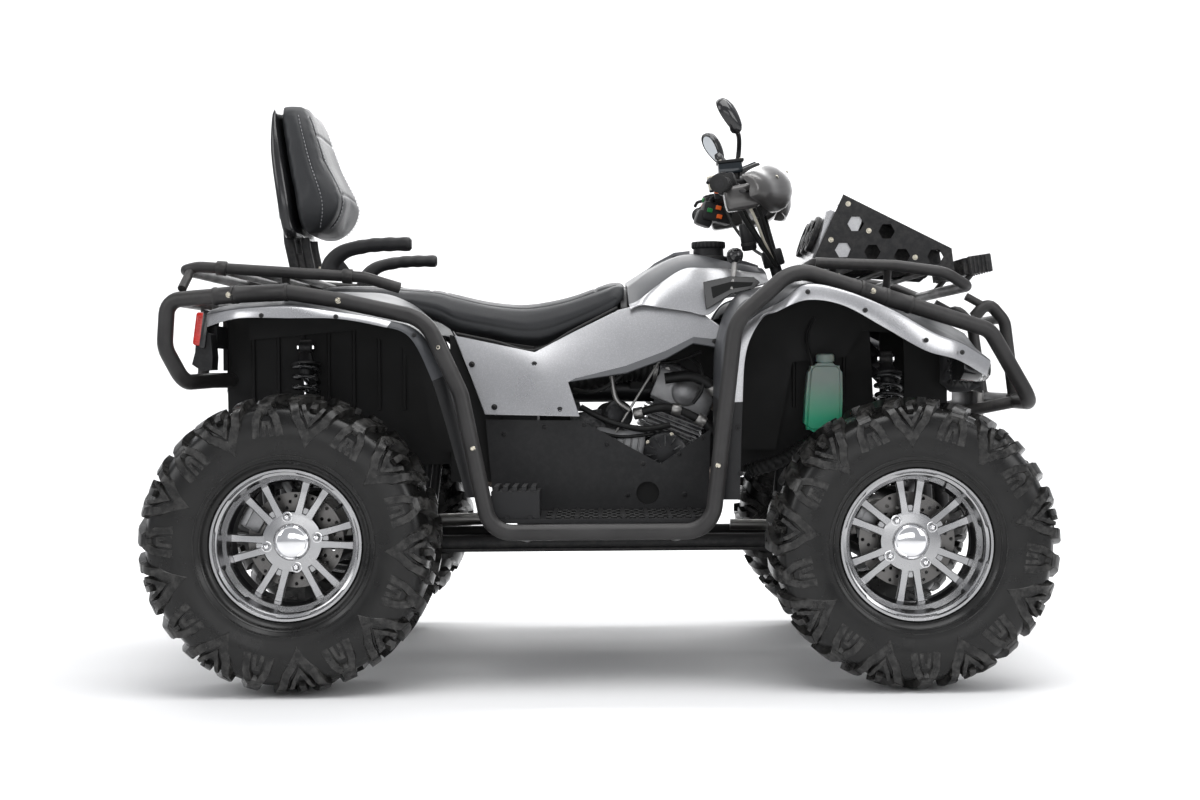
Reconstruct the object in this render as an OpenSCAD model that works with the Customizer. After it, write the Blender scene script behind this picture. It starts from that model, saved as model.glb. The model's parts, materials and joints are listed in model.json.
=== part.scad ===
// Utility quad bike: an assembly of separate pieces.
// +X is forward, +Y is the rider's left, +Z is up. The ground is Z = 0.

/* [Overall] */
// Distance between the front and rear axles
wheelbase = 1330; // [1200:5:1500]
// Distance between the centre planes of the two rear tyres
rear_track = 910; // [880:5:1000]
// Distance between the centre planes of the two front tyres
front_track = 930; // [900:5:1000]

/* [Wheels] */
// Outer diameter of a rear tyre
rear_tyre_d = 640; // [600:2:660]
// Width of a rear tyre
rear_tyre_w = 250; // [220:2:270]
// Outer diameter of a front tyre
front_tyre_d = 622; // [590:2:640]
// Width of a front tyre
front_tyre_w = 205; // [180:2:220]
// Diameter of a rim at its outer lip
rim_lip_d = 324; // [300:1:340]
// Width of a rear rim over its lips
rear_rim_w = 192; // [160:1:200]
// Width of a front rim over its lips
front_rim_w = 166; // [140:1:180]
// Depth of the wheel's face behind the outer lip
rim_recess = 88; // [60:1:100]
// Diameter of the circle of the wheel studs
stud_circle_d = 110; // [100:1:120]
// Diameter of a brake disc
disc_d = 208; // [180:1:220]
// Thickness of a tyre's carcass
tyre_wall = 15; // [10:1:20]

/* [Tubes] */
// Outer diameter of the side guards and bumpers
guard_d = 35; // [28:1:40]
// Outer diameter of the rack rails
rack_d = 30; // [24:1:34]
// Outer diameter of the main frame tubes
frame_d = 34; // [28:1:38]
// Outer diameter of the suspension arm tubes
arm_d = 24; // [18:1:28]

/* [Body] */
// Thickness of the plastic panels
panel_t = 4; // [3:0.5:6]
// Height of the lowest part of the skid plate
ground_clearance = 262; // [240:2:280]
// Height of the footboards' top face
board_z = 366; // [350:2:380]
// Half width of the body over the wheel arch lips
arch_y = 532; // [500:2:545]
// Half width over the footboard part of the side guards
guard_y = 512; // [500:2:530]

/* [Steering] */
// Rake of the steering column from upright
column_rake = 15.5; // [10:0.5:25]
// Half width of the handlebar
bar_half_w = 396; // [340:2:420]
// Distance of a steering knuckle's kingpin from the middle plane
kingpin_y = 388; // [380:1:395]

/* [Racks and seat] */
// Half width of the front rack
front_rack_y = 346; // [300:2:380]
// Half width of the rear rack
rear_rack_y = 330; // [300:2:360]
// Half width of the radiator guard
radiator_y = 196; // [160:2:220]
// Half width of the backrest pad
backrest_y = 182; // [150:2:210]

/* [Hitch] */
// Diameter of the hole in the towing tongue
hitch_hole_d = 20; // [16:1:26]
// Thickness of the towing tongue
hitch_t = 10; // [8:1:14]

/* [Hidden] */
$fn = 48;
gap = 0.3;                      // clearance between pieces that lie against each other
front_x = wheelbase / 2;
rear_x = -wheelbase / 2;
front_z = front_tyre_d / 2;
rear_z = rear_tyre_d / 2;
front_y = front_track / 2;
rear_y = rear_track / 2;
guard_r = guard_d / 2;
rack_r = rack_d / 2;
frame_r = frame_d / 2;
arm_r = arm_d / 2;
hub_bore_r = 17;                // bore of a hub
stub_r = hub_bore_r - gap;      // stub axle that runs in it
lip_r = rim_lip_d / 2;
barrel_r = lip_r - 14;  // outside of a rim's barrel
disc_t = 5;
disc_in = 46;                   // brake disc's distance inboard of the wheel's face

// The front and rear pieces are drawn at these axle places, and go with their axle when it moves
drawn_axle_x = 665;
front_shift = front_x - drawn_axle_x;
rear_shift = rear_x + drawn_axle_x;
function moved(x) = x > 250 ? front_shift : x < -250 ? rear_shift : 0;
function placed(p) = [p[0] + moved(p[0]), p[1], p[2]];
function placed_all(l) = [for (p = l) placed(p)];
function placed_flat(l) = [for (p = l) [p[0] + moved(p[0]), p[1]]];
module at_front() translate([front_shift, 0, 0]) children();
module at_rear() translate([rear_shift, 0, 0]) children();

// Path of a side guard and the bumper tube that carries it on, on the right side; a thicker
// tube lies further out and higher, clear of the fenders
guard_out = guard_r - 17.5;
guard_rear = placed([-790, -432 - guard_out, 854 + guard_out]);
guard_front = placed([616, -435 - guard_out, 838.5 + guard_out]);
guard_path = concat([guard_rear], placed_all([
    [-675, -445 - guard_out, 858 + guard_out], [-568, -455 - guard_out, 840 + guard_out],
    [-373, -480 - guard_out, 797 + guard_out], [-297, -500 - guard_out, 635], [-236, -guard_y, 340],
    [235, -guard_y, 340], [289, -500 - guard_out, 786], [417, -480 - guard_out, 898.6 + guard_out]]),
    [guard_front]);
front_bumper_path = concat([guard_front], placed_all([[856, -380, 766 + guard_out], [941, -330, 606], [886, -255, 583]]));

// Steering column, from its foot to its head
column_foot = placed([572, 0, 392]);
column_dir = [-sin(column_rake), 0, cos(column_rake)];
column_l = 715;
column_head = column_foot + column_l * column_dir;
kingpin = [front_x, kingpin_y, front_z];

front_reach = 941 + front_shift + guard_r + 17;                     // foremost point of the bumper hoop
rear_reach = max(950 - rear_shift + guard_r, -rear_x + rear_z);    // rearmost point, at a tyre or the bumper
front_end = max(front_reach, front_x + front_z);
x_mid = (front_end - rear_reach) / 2;                 // middle of the overall length

// ---------- shape helpers ----------

function unit(v) = v / norm(v);
function flip_y(p) = [p[0], -p[1], p[2]];
function between(a, b, t) = a + (b - a) * t;

// Places children so that their +Z runs from a towards b
module along(a, b) {
    d = b - a;
    translate(a) rotate([0, acos(d[2] / norm(d)), atan2(d[1], d[0])]) children();
}

module rod(a, b, r) along(a, b) cylinder(r = r, h = norm(b - a));

// Turns local X, Y into the directions u and v, and moves the origin to c
module in_plane(c, u, v) {
    w = cross(u, v);
    multmatrix([[u[0], v[0], w[0], c[0]], [u[1], v[1], w[1], c[1]],
                [u[2], v[2], w[2], c[2]], [0, 0, 0, 1]]) children();
}

// Length of straight tube that the bend at point i takes up
function turn_at(p, i) = acos(max(-1, min(1, unit(p[i] - p[i - 1]) * unit(p[i + 1] - p[i]))));
function cut_at(p, i, bend) = (i <= 0 || i >= len(p) - 1) ? 0 : bend * tan(turn_at(p, i) / 2);

// A round tube along the points p, with bends of radius bend at the corners; a bend is a
// little thinner than the straights and reaches 3 mm into them
module tube(p, r, bend) {
    for (i = [0 : len(p) - 2]) {
        d = unit(p[i + 1] - p[i]);
        rod(p[i] + d * cut_at(p, i, bend), p[i + 1] - d * cut_at(p, i + 1, bend), r);
    }
    for (i = [1 : len(p) - 2]) {
        d0 = unit(p[i] - p[i - 1]);
        d1 = unit(p[i + 1] - p[i]);
        side = unit(d1 - d0 * (d0 * d1));
        start = p[i] - d0 * cut_at(p, i, bend);
        over = 3 / bend * 180 / PI;
        in_plane(start + side * bend, -side, d0) rotate([0, 0, -over])
            rotate_extrude(angle = turn_at(p, i) + 2 * over) translate([bend, 0]) circle(r = r - 0.4);
    }
}

module ball(p, r) translate(p) sphere(r = r);

// Mirror image of the children, for the left side
module left() mirror([0, 1, 0]) children();
module both_sides() { children(); left() children(); }

// One point of a Catmull-Rom curve between b and c
function curve_point(a, b, c, d, t) =
    0.5 * ((2 * b) + (c - a) * t + (2 * a - 5 * b + 4 * c - d) * t * t + (3 * b - a - 3 * c + d) * t * t * t);
// The points p with k steps between neighbours, on a smooth curve
function smooth(p, k) = [
    for (i = [0 : len(p) - 2], s = [0 : k - 1])
        curve_point(p[max(i - 1, 0)], p[i], p[i + 1], p[min(i + 2, len(p) - 1)], s / k),
    p[len(p) - 1]];
function transpose(g) = [for (j = [0 : len(g[0]) - 1]) [for (i = [0 : len(g) - 1]) g[i][j]]];
// A grid of points smoothed along its rows' order, k steps for each
function smooth_rows(g, k) = transpose([for (c = transpose(g)) smooth(c, k)]);

function grid_normal(g, i, j) =
    let (n = len(g) - 1, m = len(g[0]) - 1,
         du = g[min(i + 1, n)][j] - g[max(i - 1, 0)][j],
         dv = g[i][min(j + 1, m)] - g[i][max(j - 1, 0)])
    unit(cross(du, dv));

// A plate of thickness t whose outer face is the grid g; the plate lies on the side of +normal
module sheet(g, t) {
    n = len(g);
    m = len(g[0]);
    inner = [for (i = [0 : n - 1]) [for (j = [0 : m - 1]) g[i][j] + grid_normal(g, i, j) * t]];
    pts = concat([for (r = g) for (p = r) p], [for (r = inner) for (p = r) p]);
    k = n * m;
    faces = concat(
        [for (i = [0 : n - 2], j = [0 : m - 2]) each quad(i * m + j, (i + 1) * m + j, (i + 1) * m + j + 1, i * m + j + 1)],
        [for (i = [0 : n - 2], j = [0 : m - 2]) each quad(k + i * m + j + 1, k + (i + 1) * m + j + 1, k + (i + 1) * m + j, k + i * m + j)],
        [for (i = [0 : n - 2]) each quad(i * m, k + i * m, k + (i + 1) * m, (i + 1) * m)],
        [for (i = [0 : n - 2]) each quad((i + 1) * m + m - 1, k + (i + 1) * m + m - 1, k + i * m + m - 1, i * m + m - 1)],
        [for (j = [0 : m - 2]) each quad(j + 1, k + j + 1, k + j, j)],
        [for (j = [0 : m - 2]) each quad((n - 1) * m + j, k + (n - 1) * m + j, k + (n - 1) * m + j + 1, (n - 1) * m + j + 1)]);
    turned_faces = t < 0 ? [for (f = faces) [f[0], f[2], f[1]]] : faces;
    polyhedron(points = pts, faces = turned_faces, convexity = 6);
}
// The path p on the right, carried on by its mirror image on the left
function with_left(p) = concat(p, [for (q = backwards(p)) flip_y(q)]);
function backwards(l) = [for (i = [len(l) - 1 : -1 : 0]) l[i]];
function quad(a, b, c, d) = [[a, b, c], [a, c, d]];

// A solid through closed rings of equal length, capped at both ends
module loft(rings) {
    n = len(rings);
    m = len(rings[0]);
    faces = concat(
        [for (i = [0 : n - 2], j = [0 : m - 1])
            each quad(i * m + j, i * m + (j + 1) % m, (i + 1) * m + (j + 1) % m, (i + 1) * m + j)],
        [[for (j = [m - 1 : -1 : 0]) j]],
        [[for (j = [0 : m - 1]) (n - 1) * m + j]]);
    polyhedron(points = [for (r = rings) for (p = r) p], faces = faces, convexity = 6);
}

// ---------- wheels ----------

// Turns a profile about the wheel's axle; profile x is the radius and y runs outboard
module turned() rotate([90, 0, 0]) mirror([0, 0, 1]) rotate_extrude() children();

module tyre(d, w, rim_w) {
    r = d / 2;
    hw = rim_w / 2;
    t = tyre_wall;
    outer = [[barrel_r + gap, hw - 14], [lip_r - 2, hw - 7.5], [lip_r + 1, hw - 6], [lip_r + 4, hw + 2],
             [r * 0.62, w * 0.475], [r * 0.72, w * 0.5], [r * 0.82, w * 0.497], [r * 0.9, w * 0.472],
             [r * 0.955, w * 0.42], [r * 0.985, w * 0.3], [r, w * 0.1]];
    inner = [[barrel_r + gap, hw - 14 - t], [lip_r + 8, hw - 10 - t], [r * 0.62, w * 0.475 - t],
             [r * 0.72, w * 0.5 - t], [r * 0.82, w * 0.497 - t], [r * 0.9 - t * 0.6, w * 0.472 - t * 1.2],
             [r * 0.955 - t * 1.5, w * 0.3], [r - t * 2, w * 0.1]];
    color("black") turned() polygon(concat(
        outer, [for (p = backwards(outer)) [p[0], -p[1]]],
        [for (p = inner) [p[0], -p[1]]], backwards(inner)));
}

// One window between two spokes, from radius a to radius b, over an angle
module window_2d(a, b, half_a, half_b) polygon([
    [a * cos(half_a), a * sin(half_a)], [b * cos(half_b), b * sin(half_b)], [b + 2, 0],
    [b * cos(half_b), -b * sin(half_b)], [a * cos(half_a), -a * sin(half_a)]]);

// A cast rim, its hub and its brake disc, in one piece; the face points to +Y and lies at y = 0
module rim(w) {
    out = rim_recess;
    back = w - rim_recess;
    wall = 5;
    color("silver") difference() {
        union() {
            turned() polygon([
                [lip_r - 7, out], [lip_r, out], [lip_r, out - 6], [barrel_r, out - 13], [barrel_r, out - 40],
                [barrel_r - 12, out - 52], [barrel_r - 12, -back + 46], [barrel_r, -back + 36],
                [barrel_r, -back + 12], [lip_r, -back + 6], [lip_r, -back], [lip_r - 7, -back],
                [barrel_r - wall, -back + 10], [barrel_r - wall, -back + 34], [barrel_r - 12 - wall, -back + 44],
                [barrel_r - 12 - wall, out - 54], [barrel_r - wall, out - 41], [barrel_r - wall, out - 11]]);
            // spoked face
            rotate([90, 0, 0]) mirror([0, 0, 1]) translate([0, 0, -8]) linear_extrude(16) difference() {
                circle(r = barrel_r - 12 - wall / 2);
                for (k = [0 : 5]) rotate(k * 60) {
                    rotate(10) window_2d(88, barrel_r - 26, 3, 7);
                    rotate(40) window_2d(62, barrel_r - 24, 10, 17);
                }
            }
            // hub, with the disc on its inboard end
            turned() polygon([[0, 22], [26, 22], [30, 12], [34, 8], [72, 8], [72, -8], [40, -12],
                              [40, -disc_in + 4], [disc_d / 2, -disc_in + 4], [disc_d / 2, -disc_in + 4 - disc_t],
                              [40, -disc_in + 4 - disc_t], [40, -disc_in - 6], [0, -disc_in - 6]]);
            for (k = [0 : 3]) rotate([0, k * 90 + 45, 0]) translate([stud_circle_d / 2, 3, 0])
                rotate([-90, 0, 0]) cylinder(r = 9, h = 19);
        }
        // bearing bore for the stub axle
        translate([0, -6, 0]) rotate([90, 0, 0]) cylinder(r = hub_bore_r, h = disc_in + 10);
        // lightening holes in the disc
        for (k = [0 : 11]) rotate([0, k * 30, 0]) translate([disc_d / 2 - 16, -disc_in + 8, 0])
            rotate([90, 0, 0]) cylinder(r = 5, h = 20, $fn = 24);
    }
}

function rim_offset(w) = w / 2 - rim_recess;     // the face's distance outboard of the tyre's centre plane
module wheel_place(x, y, z) translate([x, y, z]) children();

// ---------- suspension ----------

// Shock absorber with a coil spring drawn as its outer sleeve, from a low to a high eye
module shock(a, b) {
    l = norm(b - a);
    pitch = l * 0.66 / 9;
    along(a, b) rotate_extrude() polygon(concat(
        [[0, 0], [12, 0], [12, l * 0.14], [33, l * 0.14], [33, l * 0.165], [22, l * 0.165]],
        [for (k = [0 : 8], q = [[22, 0.15], [31, 0.28], [31, 0.62], [22, 0.75]]) [q[0], l * 0.17 + pitch * (k + q[1])]],
        [[22, l * 0.84], [33, l * 0.84], [33, l * 0.865], [14, l * 0.865], [14, l], [0, l]]));
    for (p = [a, b]) translate(p) rotate([0, 90, 0]) translate([0, 0, -14]) cylinder(r = 17, h = 28);
}

front_lower_joint = [front_x, -kingpin_y, front_z - 82];
front_upper_joint = [front_x, -kingpin_y, front_z + 82];
front_shock_low = [front_x, -292, front_z + 126];
front_shock_high = [front_x - 12, -216, 706];
rear_carrier_y = 372;
rear_lower_joint = [rear_x, -rear_carrier_y, rear_z - 78];
rear_upper_joint = [rear_x, -rear_carrier_y, rear_z + 78];
rear_shock_low = [rear_x + 4, -292, rear_z + 122];
rear_shock_high = [rear_x - 8, -222, 742];

// A-shaped arm from two frame pivots to an outer joint
module a_arm(p1, p2, joint, reach) {
    tip = joint + [0, reach, 0];
    rod(p1, tip, arm_r);
    rod(p2, tip, arm_r);
    rod(between(p1, tip, 0.55), between(p2, tip, 0.55), arm_r - 2);
    for (p = [p1, p2]) translate(p) rotate([0, 90, 0]) translate([0, 0, -24]) cylinder(r = arm_r + 5, h = 48);
    ball(tip, arm_r + 6);
}

module front_arms() color([0.09, 0.09, 0.1]) both_sides() {
    a_arm([front_x - 105, -158, 282], [front_x + 95, -158, 282], front_lower_joint, 34);
    a_arm([front_x - 80, -152, 430], [front_x + 70, -152, 430], front_upper_joint, 34);
    // seat of the shock on the upper arm
    translate(front_shock_low + [0, 0, -26]) cube([46, 30, 16], center = true);
}

module rear_arms() color([0.09, 0.09, 0.1]) both_sides() {
    a_arm([rear_x - 100, -158, 285], [rear_x + 120, -158, 285], rear_lower_joint, 0);
    a_arm([rear_x - 70, -150, 430], [rear_x + 90, -150, 430], rear_upper_joint, 0);
    translate(rear_shock_low + [0, 0, -26]) cube([66, 30, 16], center = true);
    // hub carrier and its stub axle
    difference() {
        union() {
            rod(rear_lower_joint, rear_upper_joint, 24);
            translate([rear_x, -rear_carrier_y + 22, rear_z]) rotate([90, 0, 0]) cylinder(r = 44, h = 40);
            translate([rear_x, -rear_carrier_y, rear_z]) rotate([90, 0, 0]) cylinder(r = stub_r, h = 74);
        }
        // recess for the half shaft's joint
        translate([rear_x, -rear_carrier_y + 32, rear_z]) rotate([90, 0, 0]) cylinder(r = 16, h = 21);
    }
}

module front_shocks() color([0.1, 0.1, 0.11]) both_sides() shock(front_shock_low, front_shock_high);
module rear_shocks() color([0.1, 0.1, 0.11]) both_sides() shock(rear_shock_low, rear_shock_high);

// Differential and half shafts; end is how far out a shaft reaches
module axle(x, z, end) translate([x, 0, z]) {
    rotate([90, 0, 0]) translate([0, 0, -62]) cylinder(r = 62, h = 124);
    rotate([90, 0, 0]) translate([0, 0, -88]) cylinder(r = 40, h = 176);
    both_sides() {
        rotate([90, 0, 0]) cylinder(r = 12, h = end);
        translate([0, -134, 0]) rotate([90, 0, 0]) cylinder(r1 = 32, r2 = 16, h = 50);
        translate([0, -end + 72, 0]) rotate([90, 0, 0]) cylinder(r1 = 18, r2 = 35, h = 50);
    }
}

module front_axle() color([0.13, 0.13, 0.14]) {
    axle(front_x, front_z, 344);
    rod([front_x - 50, 0, front_z - 6], [310, 0, 310], 13);
}

module rear_axle() color([0.13, 0.13, 0.14]) {
    axle(rear_x, rear_z, rear_carrier_y - 12);
    rod([rear_x + 50, 0, rear_z], [-232, 0, 330], 15);
}

// Knuckle on the right side: upright, steering arm, brake caliper and stub axle
steer_eye = [front_x - 88, -kingpin_y + 12, front_z + 10];
module knuckle() color([0.35, 0.35, 0.37]) {
    rod([front_x, -kingpin_y, front_z - 60], [front_x, -kingpin_y, front_z + 60], 14);
    for (s = [-1, 1]) rod([front_x, -kingpin_y, front_z + s * 56], [front_x, -kingpin_y, front_z + s * 100], 10);
    translate([front_x, -kingpin_y + 18, front_z]) rotate([90, 0, 0]) cylinder(r = 36, h = 22);
    translate([front_x, -kingpin_y, front_z]) rotate([90, 0, 0]) cylinder(r = stub_r, h = 64);
    rod([front_x, -kingpin_y + 6, front_z + 10], steer_eye, 10);
    translate(steer_eye) cylinder(r = 14, h = 18, center = true);
}

// Tie rod on the right side, from the steering column's arm to the knuckle's eye
arm_l = 71;                                // length of the steering column's arm
arm_pin_y = 28;
pin_r = 6;
arm_origin = column_foot + 8 * column_dir;
arm_back = [-cos(column_rake), 0, -sin(column_rake)];
tie_inner = arm_origin + arm_l * arm_back + [0, -arm_pin_y, 0] - 16 * column_dir;
tie_outer = steer_eye + [0, 20, 26];
module tie_rod() color([0.55, 0.55, 0.56]) difference() {
    union() {
        rod(tie_inner, tie_outer, 8);
        along(tie_inner - 9 * column_dir, tie_inner + 9 * column_dir) cylinder(r = 14, h = 18);
        translate(tie_outer) cylinder(r = 13, h = 16, center = true);
    }
    along(tie_inner - 12 * column_dir, tie_inner + 12 * column_dir) cylinder(r = pin_r + gap, h = 24);
}

// ---------- frame, engine, exhaust ----------

module frame() color([0.08, 0.08, 0.09]) {
    both_sides() {
        tube(placed_all([[-792, -112, 286], [-560, -118, 284], [-430, -128, 284], [430, -128, 284], [600, -116, 279],
              [780, -105, 279], [802, -105, 345], [790, -105, 560], [600, -95, 760], [330, -90, 800]]), frame_r, 60);
        tube(placed_all([[-774, -112, 282], [-800, -112, 640], [-700, -120, 770], [-330, -120, 700], [-180, -110, 660],
              [150, -90, 760], [342, -90, 803]]), frame_r - 2, 60);
        rod(placed([-430, -128, 284]), placed([-380, -119, 705]), frame_r - 3);
        rod(placed([430, -128, 284]), placed([480, -92, 775]), frame_r - 3);
        // shock towers
        rod([front_x - 12, -95, 700], front_shock_high + [0, 21, 0], 15);
        rod([rear_x - 8, -118, 755], rear_shock_high + [0, 21, 0], 15);
        // suspension brackets
        for (x = [front_x - 105, front_x + 95, rear_x - 100, rear_x + 120])
            translate([x - 8, -139.5, 270]) cube([16, 28, 26]);
        rod(placed([444, -117, 430]), placed([796, -105, 430]), 12);
        rod(placed([-782, -112, 430]), placed([-413, -125, 430]), 11);
        for (x = [front_x - 80, front_x + 70]) translate([x - 8, -133.5, 420]) cube([16, 20, 20]);
    }
    for (x = [-430, 0, 430]) rod(placed([x, -128, 281]), placed([x, 128, 281]), frame_r - 6);
    for (p = placed_flat([[-745, 286], [765, 279], [-792, 530], [790, 560]])) rod([p[0], -112, p[1]], [p[0], 112, p[1]], frame_r - 4);
    for (p = placed_all([[-640, 112, 760], [336, 88, 796], [600, 92, 762]])) rod([p[0], -p[1], p[2]], [p[0], p[1], p[2]], frame_r - 4);
    // skid plate
    translate([-400 + rear_shift, -140, ground_clearance]) cube([800 + front_shift - rear_shift, 280, 7]);
    // steering column bearing
    difference() {
        union() {
            along(column_foot + 170 * column_dir, column_foot + 200 * column_dir) cylinder(r = 24, h = 30);
            both_sides() rod(column_foot + 185 * column_dir + [0, -18, 0], placed([459, -109, 572]), 11);
        }
        along(column_foot + 160 * column_dir, column_foot + 210 * column_dir) cylinder(r = 14 + gap, h = 50);
    }
    // towing tongue
    difference() {
        translate([-905 + rear_shift, -35, 281]) cube([168, 70, hitch_t]);
        translate([-880 + rear_shift, 0, 280]) cylinder(d = hitch_hole_d, h = hitch_t + 2);
    }
}

// Outriggers under the footboards, from the lower rails to the side guards
rail_out = 128 + frame_r + gap;
module outriggers() color([0.08, 0.08, 0.09]) both_sides()
    for (x = [-170, 170]) rod([x, -rail_out - 0.5, 297], [x, -guard_y + guard_r + 1.5, 334], 13);

module engine() color([0.3, 0.3, 0.31]) {
    // crankcase and gearbox
    translate([-200, -85, 299]) cube([440, 170, 177]);
    for (s = [-1, 1]) translate([150, s * 84, 440]) rotate([90, 0, 0]) cylinder(r = 84, h = 60, center = true);
    translate([-90, -84, 400]) rotate([90, 0, 0]) cylinder(r = 66, h = 50, center = true);
    // cylinder and head, leaning forward
    translate([120, 0, 440]) rotate([0, 22, 0]) {
        translate([-58, -62, 0]) cube([116, 124, 170]);
        for (k = [0 : 5]) translate([-72, -76, 84 + k * 13]) cube([144, 152, 6]);
        translate([-70, -74, 165]) cube([140, 148, 86]);
    }
    // air intake
    rod([150, 0, 640], [-160, 0, 640], 32);
    translate([-330, -78, 560]) cube([180, 156, 105]);
}

module exhaust() color([0.2, 0.2, 0.21]) {
    tube(concat([[267.5, -30, 606.5], [323, -30, 584], [334, -110, 530], [300, -150, 450], [100, -172, 400], [-250, -168, 430]],
                placed_all([[-420, -40, 560], [-560, -30, 640]])), 19, 40);
    at_rear() {
        translate([-560, -30, 640]) rotate([0, -90, 0]) cylinder(r = 62, h = 230);
        rod([-770, -30, 640], [-880, -60, 652], 19);
    }
}

// ---------- body panels ----------

// Rows of the right front fender: from the arch lip, over the outer edge, to the inner edge
front_fender_rows = [
    [[298, -478, 404], [262, -474, 404], [256, -440, 404], [255, -340, 404], [254, -244, 404]],
    [[304, -480, 595], [262, -476, 592], [256, -440, 596], [256, -340, 602], [256, -244, 604]],
    [[313, -480, 720], [268, -474, 728], [264, -440, 735], [262, -340, 742], [262, -244, 744]],
    [[346, -484, 790], [332, -472, 796], [306, -440, 826], [300, -340, 838], [300, -240, 842]],
    [[378, -500, 806], [392, -492, 830], [374, -440, 850], [372, -340, 864], [370, -234, 872]],
    [[438, -arch_y + 10, 829], [440, -arch_y + 16, 864], [440, -450, 868], [440, -340, 890], [440, -228, 900]],
    [[514, -arch_y, 817], [524, -arch_y + 6, 848], [520, -450, 846], [520, -340, 876], [520, -226, 896]],
    [[605, -arch_y, 767], [624, -arch_y + 8, 806], [620, -450, 808], [618, -340, 836], [616, -226, 868]],
    [[690, -arch_y + 8, 720], [708, -arch_y + 18, 760], [704, -440, 766], [700, -340, 796], [698, -226, 836]],
    [[762, -502, 700], [774, -492, 736], [770, -430, 744], [764, -340, 764], [760, -226, 802]],
    [[836, -440, 664], [848, -430, 698], [844, -396, 708], [838, -320, 726], [832, -226, 762]]];

// Rows of the right rear fender, from the tail to the footwell
rear_fender_rows = [
    [[-852, -430, 785], [-854, -424, 812], [-854, -390, 822], [-854, -300, 832], [-854, -204, 838]],
    [[-772, -490, 801], [-772, -484, 822], [-772, -430, 828], [-772, -300, 846], [-772, -204, 858]],
    [[-660, -508, 800], [-660, -500, 826], [-660, -440, 832], [-660, -320, 852], [-660, -204, 868]],
    [[-560, -510, 798], [-558, -502, 814], [-558, -446, 812], [-560, -320, 846], [-560, -204, 868]],
    [[-470, -510, 782], [-464, -502, 798], [-466, -450, 790], [-470, -330, 826], [-470, -206, 858]],
    [[-408, -500, 760], [-388, -482, 770], [-386, -440, 776], [-386, -330, 792], [-388, -236, 806]],
    [[-368, -480, 684], [-342, -470, 696], [-340, -440, 700], [-338, -340, 706], [-346, -280, 708]],
    [[-338, -472, 590], [-312, -462, 598], [-310, -436, 602], [-306, -340, 606], [-306, -276, 606]],
    [[-290, -468, 412], [-266, -460, 412], [-262, -436, 412], [-258, -340, 412], [-258, -248, 412]]];

module front_fender() color([0.72, 0.72, 0.73]) sheet(smooth_rows([for (r = front_fender_rows) placed_all(r)], 3), -panel_t);
module rear_fender() color([0.72, 0.72, 0.73]) sheet(smooth_rows([for (r = rear_fender_rows) placed_all(r)], 3), -panel_t);

// Rows of the right half of the tank cover, from its lower edge to the middle
tank_rows = [
    [[92, -224, 834], [86, -200, 843], [74, -90, 888], [70, 0, 900]],
    [[140, -224, 827], [136, -200, 882], [122, -90, 922], [120, 0, 931]],
    [[200, -224, 818], [193, -195, 917], [180, -90, 950], [178, 0, 958]],
    [[250, -224, 811], [246, -192, 919], [232, -90, 954], [228, 0, 963]],
    [[300, -224, 860], [296, -192, 917], [300, -90, 938], [302, 0, 946]],
    [[350, -222, 872], [346, -190, 909], [348, -90, 930], [350, 0, 937]],
    [[386, -220, 884], [384, -188, 905], [384, -90, 922], [384, 0, 928]]];
module tank_cover() color([0.6, 0.6, 0.62]) {
    rows = smooth_rows([for (r = tank_rows) placed_all(r)], 2);
    full = [for (r = rows) concat(r, [for (j = [len(r) - 2 : -1 : 0]) flip_y(r[j])])];
    sheet(full, -panel_t);
    // filler neck
    translate(placed([262, 0, 925])) cylinder(r = 36, h = 56);
    translate(placed([262, 0, 975])) cylinder(r = 41, h = 16);
}

// Flat right side panel: an arm over the engine window and a panel below the seat
side_lean = 15;
module leaning(y, z, lean) translate([0, y, z]) rotate([lean, 0, 0]) rotate([90, 0, 0]) children();
module side_panels() color([0.72, 0.72, 0.73]) both_sides()
    leaning(-268, 577, -side_lean) linear_extrude(panel_t) polygon(placed_flat([
        [-264, 10], [-45, 2], [-74, 82], [112, 138], [212, 166], [280, 156], [286, 196],
        [236, 236], [86, 256], [44, 246], [-60, 196], [-144, 152], [-250, 172], [-334, 192]]));

// Right footwell: side wall, footboard and the passenger's foot block
module footwells() color([0.07, 0.07, 0.08]) both_sides() {
    difference() {
        translate([0, -236, 0]) rotate([90, 0, 0]) linear_extrude(panel_t) polygon([
            [-262, 574], [-44, 570], [136, 470], [250, 548], [244, board_z - 8], [-244, board_z - 8]]);
        translate([106, -230, 404]) rotate([90, 0, 0]) cylinder(r = 26, h = 30);
    }
    difference() {
        translate([-244, -490, board_z - 8]) cube([488, 252, 8]);
        for (i = [-3 : 3], j = [0 : 2]) translate([i * 56, -440 + j * 62, board_z - 20]) cylinder(r = 9, h = 40, $fn = 24);
    }
    translate([244 - panel_t, -470, board_z - 2]) cube([panel_t, 232, 14]);
    translate([-244, -456, board_z - 2]) cube([panel_t, 218, 40]);
    for (i = [0 : 8]) translate([-206 + i * 50, -486, board_z - 2]) cube([8, 236, 8]);
    translate([-236, -478, board_z - 1]) cube([104, 120, 60]);
    for (i = [0 : 4]) translate([-230 + i * 20, -474, board_z + 58]) cube([10, 112, 12]);
}

// Inner walls of the wheel arches
module wheel_arch_liners() color([0.06, 0.06, 0.07]) both_sides() {
    translate([0, -214, 0]) rotate([90, 0, 0]) linear_extrude(panel_t) polygon(placed_flat([
        [322, 500], [330, 800], [420, 850], [560, 850], [700, 790], [756, 745], [740, 735], [680, 765], [600, 770],
        [560, 710], [440, 700], [400, 500]]));
    translate([0, -226, 0]) rotate([90, 0, 0]) linear_extrude(panel_t) polygon(placed_flat([
        [-330, 500], [-350, 640], [-420, 800], [-560, 836], [-800, 820], [-800, 760], [-560, 780], [-450, 740], [-400, 640], [-380, 500]]));
}

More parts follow.
